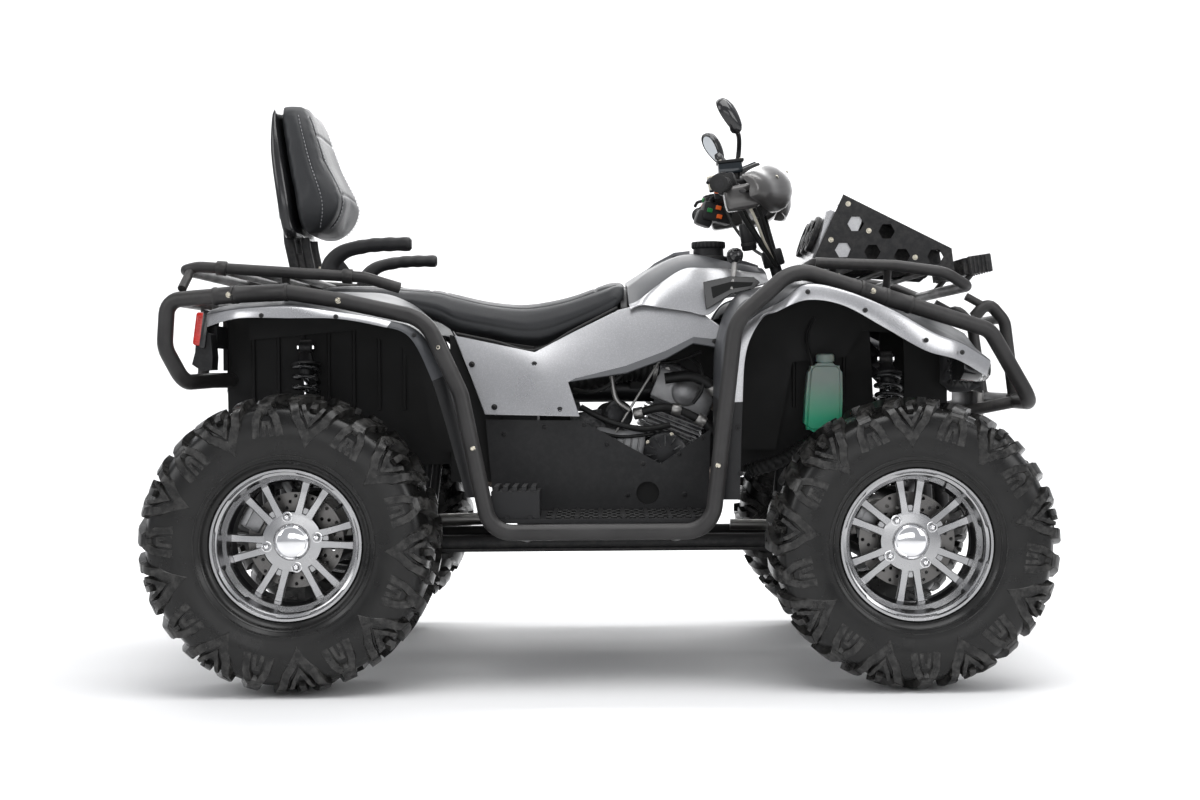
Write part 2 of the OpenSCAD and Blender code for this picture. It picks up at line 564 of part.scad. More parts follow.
function seat_ring(x, w, b, t) = [
    [x, 0, b - 2], [x, -w * 0.88, b], [x, -w, b + (t - b) * 0.12], [x, -w * 1.01, (b + t) / 2],
    [x, -w * 0.94, t - (t - b) * 0.2], [x, -w * 0.62, t - (t - b) * 0.03], [x, 0, t],
    [x, w * 0.62, t - (t - b) * 0.03], [x, w * 0.94, t - (t - b) * 0.2], [x, w * 1.01, (b + t) / 2],
    [x, w, b + (t - b) * 0.12], [x, w * 0.88, b]];
module seat() color([0.12, 0.12, 0.13]) loft([for (ring = [
    seat_ring(-664, 150, 842, 884), seat_ring(-600, 180, 836, 888), seat_ring(-509, 188, 828, 887),
    seat_ring(-440, 190, 820, 881), seat_ring(-376, 190, 800, 876), seat_ring(-330, 188, 772, 866),
    seat_ring(-260, 184, 758, 850), seat_ring(-188, 178, 742, 843), seat_ring(-130, 174, 742, 848),
    seat_ring(-65, 172, 768, 862), seat_ring(-3, 172, 798, 884), seat_ring(36, 172, 820, 900), seat_ring(60, 160, 846, 896)]) placed_all(ring)]);

// ---------- guards, bumpers, racks ----------

module side_guard() color([0.1, 0.1, 0.11]) tube(guard_path, guard_r, 52);

bumper_x = 941 + 17;
module front_bumper() color([0.1, 0.1, 0.11]) {
    tube(with_left([guard_front + 3 * unit(front_bumper_path[1] - guard_front), front_bumper_path[1],
                    placed([bumper_x, -330, 606])]), guard_r, 46);
    at_front() both_sides() {
        tube([[862, -190, 800], [893, -190, 836], [934, -180, 790], [bumper_x, -170, 606]], 14, 20);
        rod([bumper_x, -200, 606], [812, -140, 575], 14);
        rod([886, -190, 824], [843, -190, 848], 9);
        // tow hook
        translate([850, -148, 558]) rotate([90, 0, 0]) difference() {
            cylinder(r = 21, h = 8);
            translate([0, 0, -1]) cylinder(r = 11, h = 10);
        }
    }
    at_front() rod([930, -184, 796], [930, 184, 796], 11);
}

module rear_bumper() color([0.1, 0.1, 0.11]) {
    both_sides() {
        tube(concat([guard_rear + 3 * unit(placed([-945, -400, 844 + guard_out]) - guard_rear)],
                    placed_all([[-945, -400, 844 + guard_out], [-952, -400, 741], [-918, -370, 664], [-880, -250, 668], [-830, -112, 668]])), guard_r, 30);
        at_rear() rod([-905, -240, 666], [-895, -240, 836], 13);
    }
    at_rear() rod([-930, -392, 846 + guard_out], [-930, 392, 846 + guard_out], 15);
}

rail_r = rack_r * 0.84;
front_rail_path = [[478, -front_rack_y, 918], [655, -front_rack_y, 911], [765, -front_rack_y, 895], [822, -front_rack_y + 34, 866]];
module front_rack() color([0.1, 0.1, 0.11]) at_front() {
    tube(with_left(front_rail_path), rail_r, 24);
    rod([478, -front_rack_y + 40, 918], [478, front_rack_y - 40, 918], rail_r - 1);
    both_sides() {
        tube([[478, -front_rack_y + 44, 918], [478, -front_rack_y, 918], [540, -front_rack_y, 915]], rail_r - 0.6, 24);
        rod([640, -front_rack_y, 911], [640, -306, 855], 9);
        rod([520, -front_rack_y, 915], [520, -308, 894], 9);
    }
    for (x = [560, 640, 720]) rod([x, -front_rack_y + 2, 909 - (x - 560) * 0.08], [x, front_rack_y - 2, 909 - (x - 560) * 0.08], 8);
}

rear_rail_path = [[-923, -rear_rack_y, 914], [-892, -rear_rack_y, 921], [-524, -rear_rack_y, 895], [-448, -rear_rack_y + 26, 872]];
module rear_rack() color([0.1, 0.1, 0.11]) at_rear() {
    tube(concat(backwards(rear_rail_path), [for (q = rear_rail_path) flip_y(q)]), rail_r, 20);
    both_sides() {
        rod([-908, -rear_rack_y + 4, 917], [-918, -378, 870], 10);
        rod([-700, -rear_rack_y, 907], [-700, -296, 863], 10);
    }
    for (x = [-840, -760, -690]) rod([x, -rear_rack_y + 2, 917 + (x + 892) * -0.07], [x, rear_rack_y - 2, 917 + (x + 892) * -0.07], 9);
}

module backrest_frame() color([0.1, 0.1, 0.11]) at_rear() both_sides() {
    rod([-737, -60, 995], [-722, -60, 925], 13);
    rod([-698, -60, 995], [-686, -60, 925], 11);
    translate([-760, -74, 921]) cube([110, 28, 12]);
}

function back_ring(z, x0, x1, w) = [
    [x0 - 2, 0, z], [x0, -w * 0.7, z], [x0 + 6, -w, z], [(x0 + x1) / 2, -w * 1.02, z], [x1 - 8, -w * 0.96, z], [x1, -w * 0.6, z], [x1 - 2, 0, z],
    [x1, w * 0.6, z], [x1 - 8, w * 0.96, z], [(x0 + x1) / 2, w * 1.02, z], [x0 + 6, w, z], [x0, w * 0.7, z]];
module backrest_pad() color([0.13, 0.13, 0.14]) at_rear() loft(backwards([
    back_ring(1004, -688, -640, backrest_y - 40), back_ring(1024, -694, -612, backrest_y - 14), back_ring(1060, -700, -592, backrest_y),
    back_ring(1100, -706, -596, backrest_y), back_ring(1180, -722, -634, backrest_y - 6), back_ring(1280, -738, -668, backrest_y - 20),
    back_ring(1312, -742, -682, backrest_y - 50)]));
module backrest_shell() color([0.08, 0.08, 0.09]) at_rear() loft(backwards([
    back_ring(1000, -738, -702, backrest_y - 54), back_ring(1040, -748, -712, backrest_y - 34), back_ring(1100, -756, -716, backrest_y - 26),
    back_ring(1200, -768, -732, backrest_y - 30), back_ring(1300, -764, -746, backrest_y - 60)]));

module passenger_handles() color([0.1, 0.1, 0.11]) at_rear() both_sides()
    tube([[-598, -290, 903], [-590, -292, 945], [-540, -296, 966], [-420, -302, 970]], 14, 20);

// ---------- nose and tail ----------

module nose() color([0.08, 0.08, 0.09]) at_front() {
    both_sides() translate([0, -214, 0]) rotate([90, 0, 0]) linear_extrude(panel_t) polygon([
        [776, 660], [776, 758], [828, 751], [867, 688], [872, 641], [840, 641]]);
    translate([0, -216, 0]) rotate([-90, 0, 0]) mirror([0, 1, 0]) linear_extrude(432) polygon([
        [520, 868], [700, 836], [832, 756], [872, 690], [876, 632], [871, 632],
        [867, 688], [829, 752], [699, 831], [520, 863]]);
}

module headlights() color([0.85, 0.87, 0.9]) at_front() both_sides() loft(backwards([
    [[800, -250, 724], [800, -380, 704], [800, -384, 676], [800, -340, 660], [800, -250, 660]],
    [[838, -250, 716], [838, -376, 696], [838, -380, 670], [838, -340, 655], [838, -250, 655]],
    [[862, -250, 700], [858, -350, 688], [858, -356, 668], [860, -330, 656], [862, -250, 656]]]));

module tail_panel() color([0.08, 0.08, 0.09]) at_rear() {
    translate([-868, -196, 690]) cube([10, 392, 140]);
    both_sides() translate([0, -300, 0]) rotate([90, 0, 0]) linear_extrude(60) polygon([
        [-890, 788], [-860, 770], [-856, 720], [-858, 691], [-882, 690], [-902, 704], [-895, 730]]);
    both_sides() translate([-868, -302, 740]) cube([10, 108, 50]);
}

module tail_lights() color([0.8, 0.1, 0.08]) at_rear() both_sides()
    translate([-908, -366, 792]) rotate([0, 8, 0]) cube([26, 104, 30]);

module radiator_guard() color([0.08, 0.08, 0.09]) at_front() {
    both_sides() difference() {
        translate([0, -radiator_y, 0]) rotate([90, 0, 0]) linear_extrude(3) polygon([
            [561, 1084], [809, 958], [815, 908], [805, 900], [491, 924], [491, 934]]);
        for (p = [[589, 1016], [660, 998], [560, 956], [627, 951], [695, 941], [771, 939]])
            translate([p[0], -radiator_y + 1, p[1]]) rotate([90, 0, 0]) cylinder(r = 19, h = 5, $fn = 6);
    }
    rod([572, -radiator_y, 1062], [572, radiator_y, 1062], 6);
    rod([725, -radiator_y, 982], [725, radiator_y, 982], 6);
    rod([510, -radiator_y, 930], [510, radiator_y, 930], 6);
    rod([800, -radiator_y, 925], [800, radiator_y, 925], 6);
}

module radiator() color([0.6, 0.6, 0.62]) at_front()
    in_plane([510, 0, 925], [0.377, 0, 0.926], [0, 1, 0]) difference() {
        translate([18, -radiator_y + 1.5, -50]) cube([120, 2 * radiator_y - 3, 44]);
        translate([78, 0, -26]) cylinder(r = 54, h = 30);
        translate([78, -112, -26]) cylinder(r = 48, h = 30);
        translate([78, 112, -26]) cylinder(r = 48, h = 30);
    }

module light_bar() color([0.1, 0.1, 0.1]) at_front() {
    in_plane([895, 0, 922], [0.98, 0, 0.14], [0, 1, 0]) {
        translate([-34, -255, -22]) cube([60, 510, 44]);
        for (k = [0 : 7]) translate([-40, -250 + k * 66, -24]) cube([12, 38, 48]);
    }
    both_sides() rod([880, -215, 905], [842, -215, 868], 7);
}

module coolant_bottle() color([0.5, 0.75, 0.6]) at_front() {
    translate([470, -282, 540]) cube([70, 60, 150]);
    translate([510, -252, 689]) cylinder(r = 18, h = 20);
}

// ---------- controls ----------

bar_in = placed([292, -230, 1104]);
bar_out = placed([262, -bar_half_w, 1090]);
bar_dir = unit(bar_out - bar_in);
module handlebar() color([0.1, 0.1, 0.11]) {
    rod(column_foot, column_head, 14);
    // arm for the tie rods, with its two pins
    along(arm_origin - 4 * column_dir, arm_origin + 4 * column_dir) {
        cylinder(r = 24, h = 8);
        translate([0, -arm_pin_y - 16, 0]) cube([arm_l + 14, 2 * arm_pin_y + 32, 8]);
    }
    both_sides() rod(tie_inner - 8 * column_dir, tie_inner + 14 * column_dir, pin_r);
    rod(column_head + [0, -44, -14], column_head + [0, 44, -14], 22);
    tube(with_left([bar_out, bar_in, placed([330, -160, 1122]), placed([374, -70, 1093])]), 11, 34);
    both_sides() {
        rod(bar_in + 34 * bar_dir, bar_out - 2 * bar_dir, 16);
    }
}

module hand_guards() color([0.3, 0.31, 0.33]) at_front() both_sides() loft([
    [[356, -130, 1142], [368, -130, 1150], [396, -130, 1100], [390, -130, 1056], [368, -130, 1062]],
    [[352, -230, 1138], [372, -230, 1142], [396, -230, 1096], [390, -230, 1050], [362, -230, 1054]],
    [[330, -330, 1120], [345, -330, 1122], [372, -330, 1092], [366, -330, 1062], [346, -330, 1064]]]);

// Clamp, perch and lever at each grip
module hand_controls() color([0.2, 0.2, 0.21]) both_sides() {
    a = bar_in + 12 * bar_dir;
    b = bar_in + 30 * bar_dir;
    difference() {
        union() {
            along(a, b) cylinder(r = 18, h = 18);
            rod(a + [4, -9, -4], a + [34, -9, -30], 8);
        }
        along(a - 4 * bar_dir, b + 4 * bar_dir) cylinder(r = 11 + gap, h = 26);
    }
    tube([a + [34, 0, -30], a + [40, -20, -30], a + [14, -142, -34]], 6, 12);
}

module mirrors() color([0.1, 0.1, 0.11]) at_front() both_sides() {
    tube([[314, -190, 1128.2], [320, -196, 1180], [318, -232, 1226], [290, -282, 1276]], 6, 16);
    translate([287, -287, 1281]) rotate([18, -24, 0]) cylinder(r = 38, h = 16, center = true);
}

// ---------- placing ----------

module in_frame() translate([-x_mid, 0, 0]) children();
module place_knuckle() in_frame() children();

module side_guard_right() in_frame() side_guard();
module side_guard_left() in_frame() left() side_guard();

in_frame() frame();
in_frame() outriggers();
in_frame() engine();
in_frame() exhaust();
in_frame() front_fender();  // front_fender_right
in_frame() left() front_fender();  // front_fender_left
in_frame() rear_fender();  // rear_fender_right
in_frame() left() rear_fender();  // rear_fender_left
in_frame() tank_cover();
in_frame() side_panels();
in_frame() footwells();
in_frame() wheel_arch_liners();
in_frame() seat();
side_guard_right();
side_guard_left();
in_frame() front_bumper();
in_frame() rear_bumper();
in_frame() front_rack();
in_frame() rear_rack();
in_frame() backrest_frame();
in_frame() backrest_shell();
in_frame() backrest_pad();
in_frame() passenger_handles();
in_frame() nose();
in_frame() headlights();
in_frame() tail_panel();
in_frame() tail_lights();
in_frame() radiator_guard();
in_frame() radiator();
in_frame() light_bar();
in_frame() coolant_bottle();
in_frame() front_arms();
in_frame() rear_arms();
in_frame() front_shocks();
in_frame() rear_shocks();
in_frame() front_axle();
in_frame() rear_axle();
in_frame() handlebar();
in_frame() hand_guards();
in_frame() hand_controls();
in_frame() mirrors();
in_frame() knuckle();  // knuckle_right
in_frame() left() knuckle();  // knuckle_left
in_frame() tie_rod();  // tie_rod_right
in_frame() left() tie_rod();  // tie_rod_left
in_frame() translate([front_x, -front_y, front_z]) tyre(front_tyre_d, front_tyre_w, front_rim_w);  // tyre_front_right
in_frame() translate([front_x, front_y, front_z]) tyre(front_tyre_d, front_tyre_w, front_rim_w);  // tyre_front_left
in_frame() translate([rear_x, -rear_y, rear_z]) tyre(rear_tyre_d, rear_tyre_w, rear_rim_w);  // tyre_rear_right
in_frame() translate([rear_x, rear_y, rear_z]) tyre(rear_tyre_d, rear_tyre_w, rear_rim_w);  // tyre_rear_left
in_frame() left() front_rim_left();  // rim_front_right
in_frame() front_rim_left();  // rim_front_left
in_frame() left() rear_rim_left();  // rim_rear_right
in_frame() rear_rim_left();  // rim_rear_left

module front_rim_left() translate([front_x, front_y + rim_offset(front_rim_w), front_z]) rim(front_rim_w);
module rear_rim_left() translate([rear_x, rear_y + rim_offset(rear_rim_w), rear_z]) rim(rear_rim_w);
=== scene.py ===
import json
import math

import bmesh
import bpy
from mathutils import Matrix, Vector
from mathutils.bvhtree import BVHTree

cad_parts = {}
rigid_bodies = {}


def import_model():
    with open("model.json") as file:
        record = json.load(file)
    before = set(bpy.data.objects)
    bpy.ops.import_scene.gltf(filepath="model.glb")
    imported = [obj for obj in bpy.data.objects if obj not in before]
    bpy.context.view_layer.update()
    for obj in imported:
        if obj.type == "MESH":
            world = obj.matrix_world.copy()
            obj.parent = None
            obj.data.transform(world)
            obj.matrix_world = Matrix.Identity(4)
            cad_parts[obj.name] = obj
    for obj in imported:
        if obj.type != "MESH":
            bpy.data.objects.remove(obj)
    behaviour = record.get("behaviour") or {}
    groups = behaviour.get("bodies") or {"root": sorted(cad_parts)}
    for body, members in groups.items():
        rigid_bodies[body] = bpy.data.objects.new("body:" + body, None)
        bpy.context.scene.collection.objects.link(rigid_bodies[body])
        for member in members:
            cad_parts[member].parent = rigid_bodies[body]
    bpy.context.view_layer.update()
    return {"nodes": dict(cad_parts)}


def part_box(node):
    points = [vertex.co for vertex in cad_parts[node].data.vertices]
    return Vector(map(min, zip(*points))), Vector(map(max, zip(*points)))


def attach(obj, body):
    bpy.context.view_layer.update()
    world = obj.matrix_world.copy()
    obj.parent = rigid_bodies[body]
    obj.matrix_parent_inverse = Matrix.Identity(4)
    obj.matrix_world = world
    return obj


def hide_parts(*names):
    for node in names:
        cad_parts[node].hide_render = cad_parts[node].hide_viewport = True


bl_info = {
    "name": "Utility quad bike",
    "version": (1, 0, 0),
    "blender": (4, 5, 0),
    "location": "3D View > Sidebar > Quad bike",
    "description": "Tyres, rims, bodywork, seat, tubes, controls and lamps around the quad bike's frame",
    "category": "Object",
}

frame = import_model()


def middle(node):
    lo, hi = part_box(node)
    return (lo + hi) / 2


# Lists of points below are in millimetres, with X measured from the middle of the wheelbase
MID_X = (middle("tyre_front_right").x + middle("tyre_rear_right").x) / 2
FRONT_X = (middle("tyre_front_right").x - MID_X) * 1000
REAR_X = (middle("tyre_rear_right").x - MID_X) * 1000


def metres(p):
    return Vector((p[0] / 1000 + MID_X, p[1] / 1000, p[2] / 1000))


def mirrored(p):
    return (p[0], -p[1], p[2])


# ---------- sizes and colours ----------


def colour(name, value, description):
    return bpy.props.FloatVectorProperty(
        name=name, description=description, subtype="COLOR", size=3, min=0.0, max=1.0, default=value
    )


class QuadWheels(bpy.types.PropertyGroup):
    lug_height: bpy.props.FloatProperty(
        name="Lug height", description="Height of a tread lug on the crown", default=0.015, min=0.008, max=0.02, unit="LENGTH"
    )
    lug_pitches: bpy.props.IntProperty(
        name="Lug pitches", description="Times the tread pattern repeats round a tyre", default=9, min=6, max=14
    )
    spokes: bpy.props.IntProperty(name="Split spokes", description="Split spokes on a rim", default=6, min=4, max=8)
    stud_circle: bpy.props.FloatProperty(
        name="Stud circle", description="Diameter of the circle of wheel nuts", default=0.110, min=0.1, max=0.12, unit="LENGTH"
    )


class QuadPaint(bpy.types.PropertyGroup):
    silver: colour("Silver", (0.40, 0.40, 0.41), "Silver metallic paint of the body")
    # the dark satin colour is also painted shade on the side panels' top window bevel
    satin: colour("Dark satin", (0.055, 0.057, 0.062), "Dark grey satin panels")
    tube: colour("Tube coat", (0.030, 0.029, 0.029), "Textured powder coat of the tubes")
    plastic: colour("Black plastic", (0.012, 0.012, 0.013), "Moulded black plastic")
    vinyl: colour("Seat vinyl", (0.026, 0.027, 0.029), "Grained vinyl of the seat and backrest")
    thread: colour("Thread", (0.30, 0.30, 0.31), "Stitching thread")
    hook: colour("Tow hook", (0.55, 0.02, 0.015), "Painted front tow hooks")
    fluid: colour("Coolant", (0.05, 0.50, 0.28), "Coolant seen through the bottle")


class QuadSeat(bpy.types.PropertyGroup):
    voxel: bpy.props.FloatProperty(
        name="Cloth mesh size", description="Size of the cloth mesh's squares", default=0.006, min=0.004, max=0.01, unit="LENGTH"
    )
    pressure: bpy.props.FloatProperty(
        name="Fill pressure", description="Pressure of the foam under the cover", default=4.0, min=1.0, max=10.0
    )
    swell: bpy.props.FloatProperty(
        name="Most swell", description="Furthest that the cover may move", default=0.008, min=0.002, max=0.03, unit="LENGTH"
    )
    stitch: bpy.props.FloatProperty(
        name="Stitch spacing", description="Distance from one stitch to the next", default=0.009, min=0.004, max=0.02, unit="LENGTH"
    )


class QuadStage(bpy.types.PropertyGroup):
    floor: colour("Floor", (0.86, 0.86, 0.86), "Pale floor and backdrop")
    key: bpy.props.FloatProperty(
        name="Key light", description="Power of the large overhead light", default=105.0, min=0.0, unit="POWER"
    )
    fill: bpy.props.FloatProperty(
        name="Side lights", description="Power of each side light", default=42.0, min=0.0, unit="POWER"
    )
    lens: bpy.props.FloatProperty(
        name="Lens", description="Focal length of the camera", default=52.9, min=20.0, max=200.0, unit="CAMERA"
    )


# ---------- lines and sections ----------


def smooth_line(points, steps):
    """Points of a curve through the given points, with so many steps between neighbours."""
    p = [Vector(q) for q in points]
    out = []
    for i in range(len(p) - 1):
        a, b, c, d = p[max(i - 1, 0)], p[i], p[i + 1], p[min(i + 2, len(p) - 1)]
        for k in range(steps):
            t = k / steps
            out.append(0.5 * ((2 * b) + (c - a) * t + (2 * a - 5 * b + 4 * c - d) * t * t + (3 * b - a - 3 * c + d) * t**3))
    out.append(p[-1])
    return out


def bent_line(points, bend, step=8.0):
    """Straight runs through the points, with round bends at the corners."""
    p = [Vector(q) for q in points]
    bends = bend if isinstance(bend, (list, tuple)) else [bend] * len(p)
    out = [p[0]]
    for i in range(1, len(p) - 1):
        u, v = (p[i - 1] - p[i]).normalized(), (p[i + 1] - p[i]).normalized()
        turn = math.pi - u.angle(v)
        if turn < 0.02:
            out.append(p[i])
            continue
        cut = min(bends[i] * math.tan(turn / 2), (p[i] - p[i - 1]).length * 0.48, (p[i + 1] - p[i]).length * 0.48)
        r = cut / math.tan(turn / 2)
        centre = p[i] + (u + v).normalized() * (r / math.cos(turn / 2))
        a, b = p[i] + u * cut - centre, p[i] + v * cut - centre
        n = max(3, int(r * turn / step))
        for k in range(n + 1):
            t = k / n
            out.append(centre + (a * math.sin((1 - t) * turn) + b * math.sin(t * turn)) / math.sin(turn))
    out.append(p[-1])
    return out


def along_line(line, spacing):
    """The line with a point at least every spacing."""
    out = [line[0]]
    for a, b in zip(line, line[1:]):
        n = max(1, int((b - a).length / spacing))
        out += [a.lerp(b, k / n) for k in range(1, n + 1)]
    return out


def frames(line):
    """A tangent and two side vectors at each point of a line, turning as little as possible."""
    p = [Vector(q) for q in line]
    tangents = []
    for i in range(len(p)):
        t = p[min(i + 1, len(p) - 1)] - p[max(i - 1, 0)]
        tangents.append(t.normalized())
    side = tangents[0].orthogonal().normalized()
    if abs(tangents[0].z) < 0.9:
        side = tangents[0].cross(Vector((0, 0, 1))).normalized()
    out = []
    for i, t in enumerate(tangents):
        if i:
            side = tangents[i - 1].rotation_difference(t) @ side
            side = (side - t * side.dot(t)).normalized()
        out.append((p[i], t, side, t.cross(side)))
    return out


def turned_to(direction):
    """The turn that carries +Z to a direction."""
    return Vector((0, 0, 1)).rotation_difference(Vector(direction).normalized()).to_matrix()


class Shape:
    """Vertices and faces of one piece in millimetres, each face with its material's number."""

    def __init__(self):
        self.points, self.faces, self.kinds = [], [], []

    def add(self, points, faces, kind=0):
        n = len(self.points)
        self.points += [Vector(p) for p in points]
        self.faces += [[n + i for i in f] for f in faces]
        self.kinds += [kind] * len(faces) if isinstance(kind, int) else list(kind)

    def add_mesh(self, mesh, kind=0, place=None):
        at = place or (lambda p: p)
        self.add([at(Vector(v.co)) for v in mesh.vertices], [list(f.vertices) for f in mesh.polygons], kind)

    def grid(self, rows, kind=0, closed=False):
        """Faces between rows of points; kind may be a function of the row and the column."""
        m = len(rows[0])
        faces, kinds = [], []
        for i in range(len(rows) - 1):
            for j in range(m if closed else m - 1):
                faces.append((i * m + j, (i + 1) * m + j, (i + 1) * m + (j + 1) % m, i * m + (j + 1) % m))
                kinds.append(kind(i, j) if callable(kind) else kind)
        self.add([p for r in rows for p in r], faces, kinds)

    def skin(self, rings, kind=0, caps=True):
        """A closed solid through rings of equal length."""
        n, m = len(self.points), len(rings[0])
        self.grid(rings, kind, closed=True)
        if caps:
            k = kind(0, 0) if callable(kind) else kind
            self.faces += [[n + j for j in range(m)], [n + (len(rings) - 1) * m + j for j in range(m)]]
            self.kinds += [k, k]

    def sweep(self, line, radius, sides=16, kind=0, flat=1.0):
        """A round bar along a line; radius is one number or one for each point, flat squeezes its height."""
        rings = []
        for i, (p, _, u, v) in enumerate(frames(line)):
            r = radius[i] if isinstance(radius, (list, tuple)) else radius
            rings.append([p + (u * math.cos(a) + v * math.sin(a) * flat) * r for a in (2 * math.pi * k / sides for k in range(sides))])
        self.skin(rings, kind)

    def turn(self, profile, centre, axis, segments=48, kind=0, closed=False):
        """A profile of (radius, height) pairs turned about an axis; it runs from axis to axis, or is a closed loop."""
        m = turned_to(axis)
        c = Vector(centre)
        rows = []
        for r, h in profile + ([profile[0]] if closed else []):
            rows.append(
                [c + m @ Vector((
                    r * math.cos(a), r * math.sin(a), h
                )) for a in (2 * math.pi * k / segments for k in range(segments))]
            )
        self.grid(rows, kind, closed=True)
        if not closed:
            for row, (r, _) in ((rows[0], profile[0]), (rows[-1], profile[-1])):
                if r > 0.01:
                    self.add(row, [list(range(segments))], kind(0, 0) if callable(kind) else kind)

    def block(self, centre, size, turn=(0, 0, 0), edge=2.0, kind=0, steps=2, shape=None):
        """A box with rounded edges; shape may move its corners first."""
        bm = bmesh.new()
        bmesh.ops.create_cube(bm, size=1.0)
        for v in bm.verts:
            v.co = Vector((v.co.x * size[0], v.co.y * size[1], v.co.z * size[2]))
            if shape:
                v.co = shape(v.co)
        if edge:
            bmesh.ops.bevel(bm, geom=bm.edges[:], offset=edge, segments=steps, profile=0.6, affect="EDGES")
        m = Matrix.Rotation(math.radians(turn[2]), 3, "Z") @ Matrix.Rotation(math.radians(turn[1]), 3, "Y") @ Matrix.Rotation(math.radians(turn[0]), 3, "X")
        bm.verts.index_update()
        self.add([Vector(centre) + m @ v.co for v in bm.verts], [[v.index for v in f.verts] for f in bm.faces], kind)
        bm.free()

    def plate(self, outline, place, thick, edge=1.0, kind=0, side_kind=None, steps=1):
        """A plate with a flat outline of (u, v) points; place carries (u, v, depth) to its place."""
        bm = bmesh.new()
        ring = [bm.verts.new((u, v, 0)) for u, v in outline]
        face = bm.faces.new(ring)
        made = bmesh.ops.extrude_face_region(bm, geom=[face])
        for g in made["geom"]:
            if isinstance(g, bmesh.types.BMVert):
                g.co.z = thick
        bmesh.ops.recalc_face_normals(bm, faces=bm.faces[:])
        if edge:
            bmesh.ops.bevel(bm, geom=bm.edges[:], offset=edge, segments=steps, affect="EDGES", clamp_overlap=True)
        bmesh.ops.triangulate(bm, faces=[f for f in bm.faces if len(f.verts) > 4])
        bm.verts.index_update()
        kinds = [kind if side_kind is None or abs(f.normal.z) > 0.5 else side_kind for f in bm.faces]
        self.add([Vector(place(*v.co)) for v in bm.verts], [[v.index for v in f.verts] for f in bm.faces], kinds)
        bm.free()

    def both(self):
        """The shape with its mirror image on the other side."""
        n = len(self.points)
        self.points += [Vector(mirrored(p)) for p in self.points]
        self.faces += [[n + i for i in reversed(f)] for f in self.faces[: len(self.faces)]]
        self.kinds += self.kinds
        return self

    def other(self):
        """The mirror image alone."""
        s = Shape()
        s.points = [Vector(mirrored(p)) for p in self.points]
        s.faces = [list(reversed(f)) for f in self.faces]
        s.kinds = list(self.kinds)
        return s

    def made(
        self, name, body, finishes, slot=None, stands_for=(), angle=35, wall=0.0, away_from=None, edge=0.0, levels=0,
        merge=0.01
    ):
        """The finished object, riding on a body. wall thickens an open sheet inwards, away from the point away_from."""
        bm = bmesh.new()
        verts = [bm.verts.new(metres(p)) for p in self.points]
        for f, k in zip(self.faces, self.kinds):
            if len(set(f)) < 3:
                continue
            try:
                face = bm.faces.new([verts[i] for i in f])
            except ValueError:
                continue
            face.material_index = k
            face.smooth = True
        bmesh.ops.remove_doubles(bm, verts=bm.verts[:], dist=merge / 1000)
        bmesh.ops.dissolve_degenerate(bm, edges=bm.edges[:], dist=1e-6)
        loose = [v for v in bm.verts if not v.link_faces]
        bmesh.ops.delete(bm, geom=loose, context="VERTS")
        bmesh.ops.recalc_face_normals(bm, faces=bm.faces[:])
        if away_from is not None:
            hint = metres(away_from)
            if sum(f.normal.dot(f.calc_center_median() - hint) * f.calc_area() for f in bm.faces) < 0:
                bmesh.ops.reverse_faces(bm, faces=bm.faces[:])
        mesh = bpy.data.meshes.new(name)
        bm.to_mesh(mesh)
        bm.free()
        o = bpy.data.objects.new(name, mesh)
        bpy.context.scene.collection.objects.link(o)
        for f in finishes:
            mesh.materials.append(finish(f))
        if wall:
            m = o.modifiers.new("Wall", "SOLIDIFY")
            m.thickness, m.offset = wall / 1000, -1.0
        if edge:
            m = o.modifiers.new("Edges", "BEVEL")
            m.width, m.segments, m.limit_method, m.angle_limit = edge / 1000, 2, "ANGLE", math.radians(32)
        if levels:
            m = o.modifiers.new("Smooth", "SUBSURF")
            m.levels = m.render_levels = levels
        if wall or edge or levels:
            bake(o)
        o.data.set_sharp_from_angle(angle=math.radians(angle))
        return settled(o, body, stands_for)


def settled(o, body, stands_for=()):
    """Rides a finished piece on its body and the nodes it stands for."""
    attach(o, body)
    if stands_for:
        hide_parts(*stands_for)
    return o


def bake(o):
    """Turns an object's modifiers into its plain mesh."""
    graph = bpy.context.evaluated_depsgraph_get()
    mesh = bpy.data.meshes.new_from_object(o.evaluated_get(graph), depsgraph=graph)
    o.modifiers.clear()
    old = o.data
    o.data = mesh
    mesh.name = o.name
    bpy.data.meshes.remove(old)


# ---------- node trees ----------


def node(tree, kind, inputs=None, **settings):
    """Adds a node, with its settings, and with values or links for its inputs."""
    n = tree.nodes.new(kind)
    for k, v in settings.items():
        setattr(n, k, v)
    for k, v in (inputs or {}).items():
        if isinstance(v, bpy.types.NodeSocket):
            tree.links.new(v, n.inputs[k])
        else:
            n.inputs[k].default_value = v
    return n


def new_tree(name, kind, inputs, outputs):
    tree = bpy.data.node_groups.new(name, kind)
    for n, t, v in inputs:
        s = tree.interface.new_socket(name=n, in_out="INPUT", socket_type=t)
        if v is not None:
            s.default_value = v
    for n, t in outputs:
        tree.interface.new_socket(name=n, in_out="OUTPUT", socket_type=t)
    return tree, tree.nodes.new("NodeGroupInput").outputs, tree.nodes.new("NodeGroupOutput").inputs


def closing(tree, geometry, material, out):
    """Ends a geometry tree: real geometry with its material."""
    real = node(tree, "GeometryNodeRealizeInstances", {"Geometry": geometry})
    done = node(tree, "GeometryNodeSetMaterial", {"Geometry": real.outputs["Geometry"], "Material": material})
    tree.links.new(done.outputs["Geometry"], out["Geometry"])


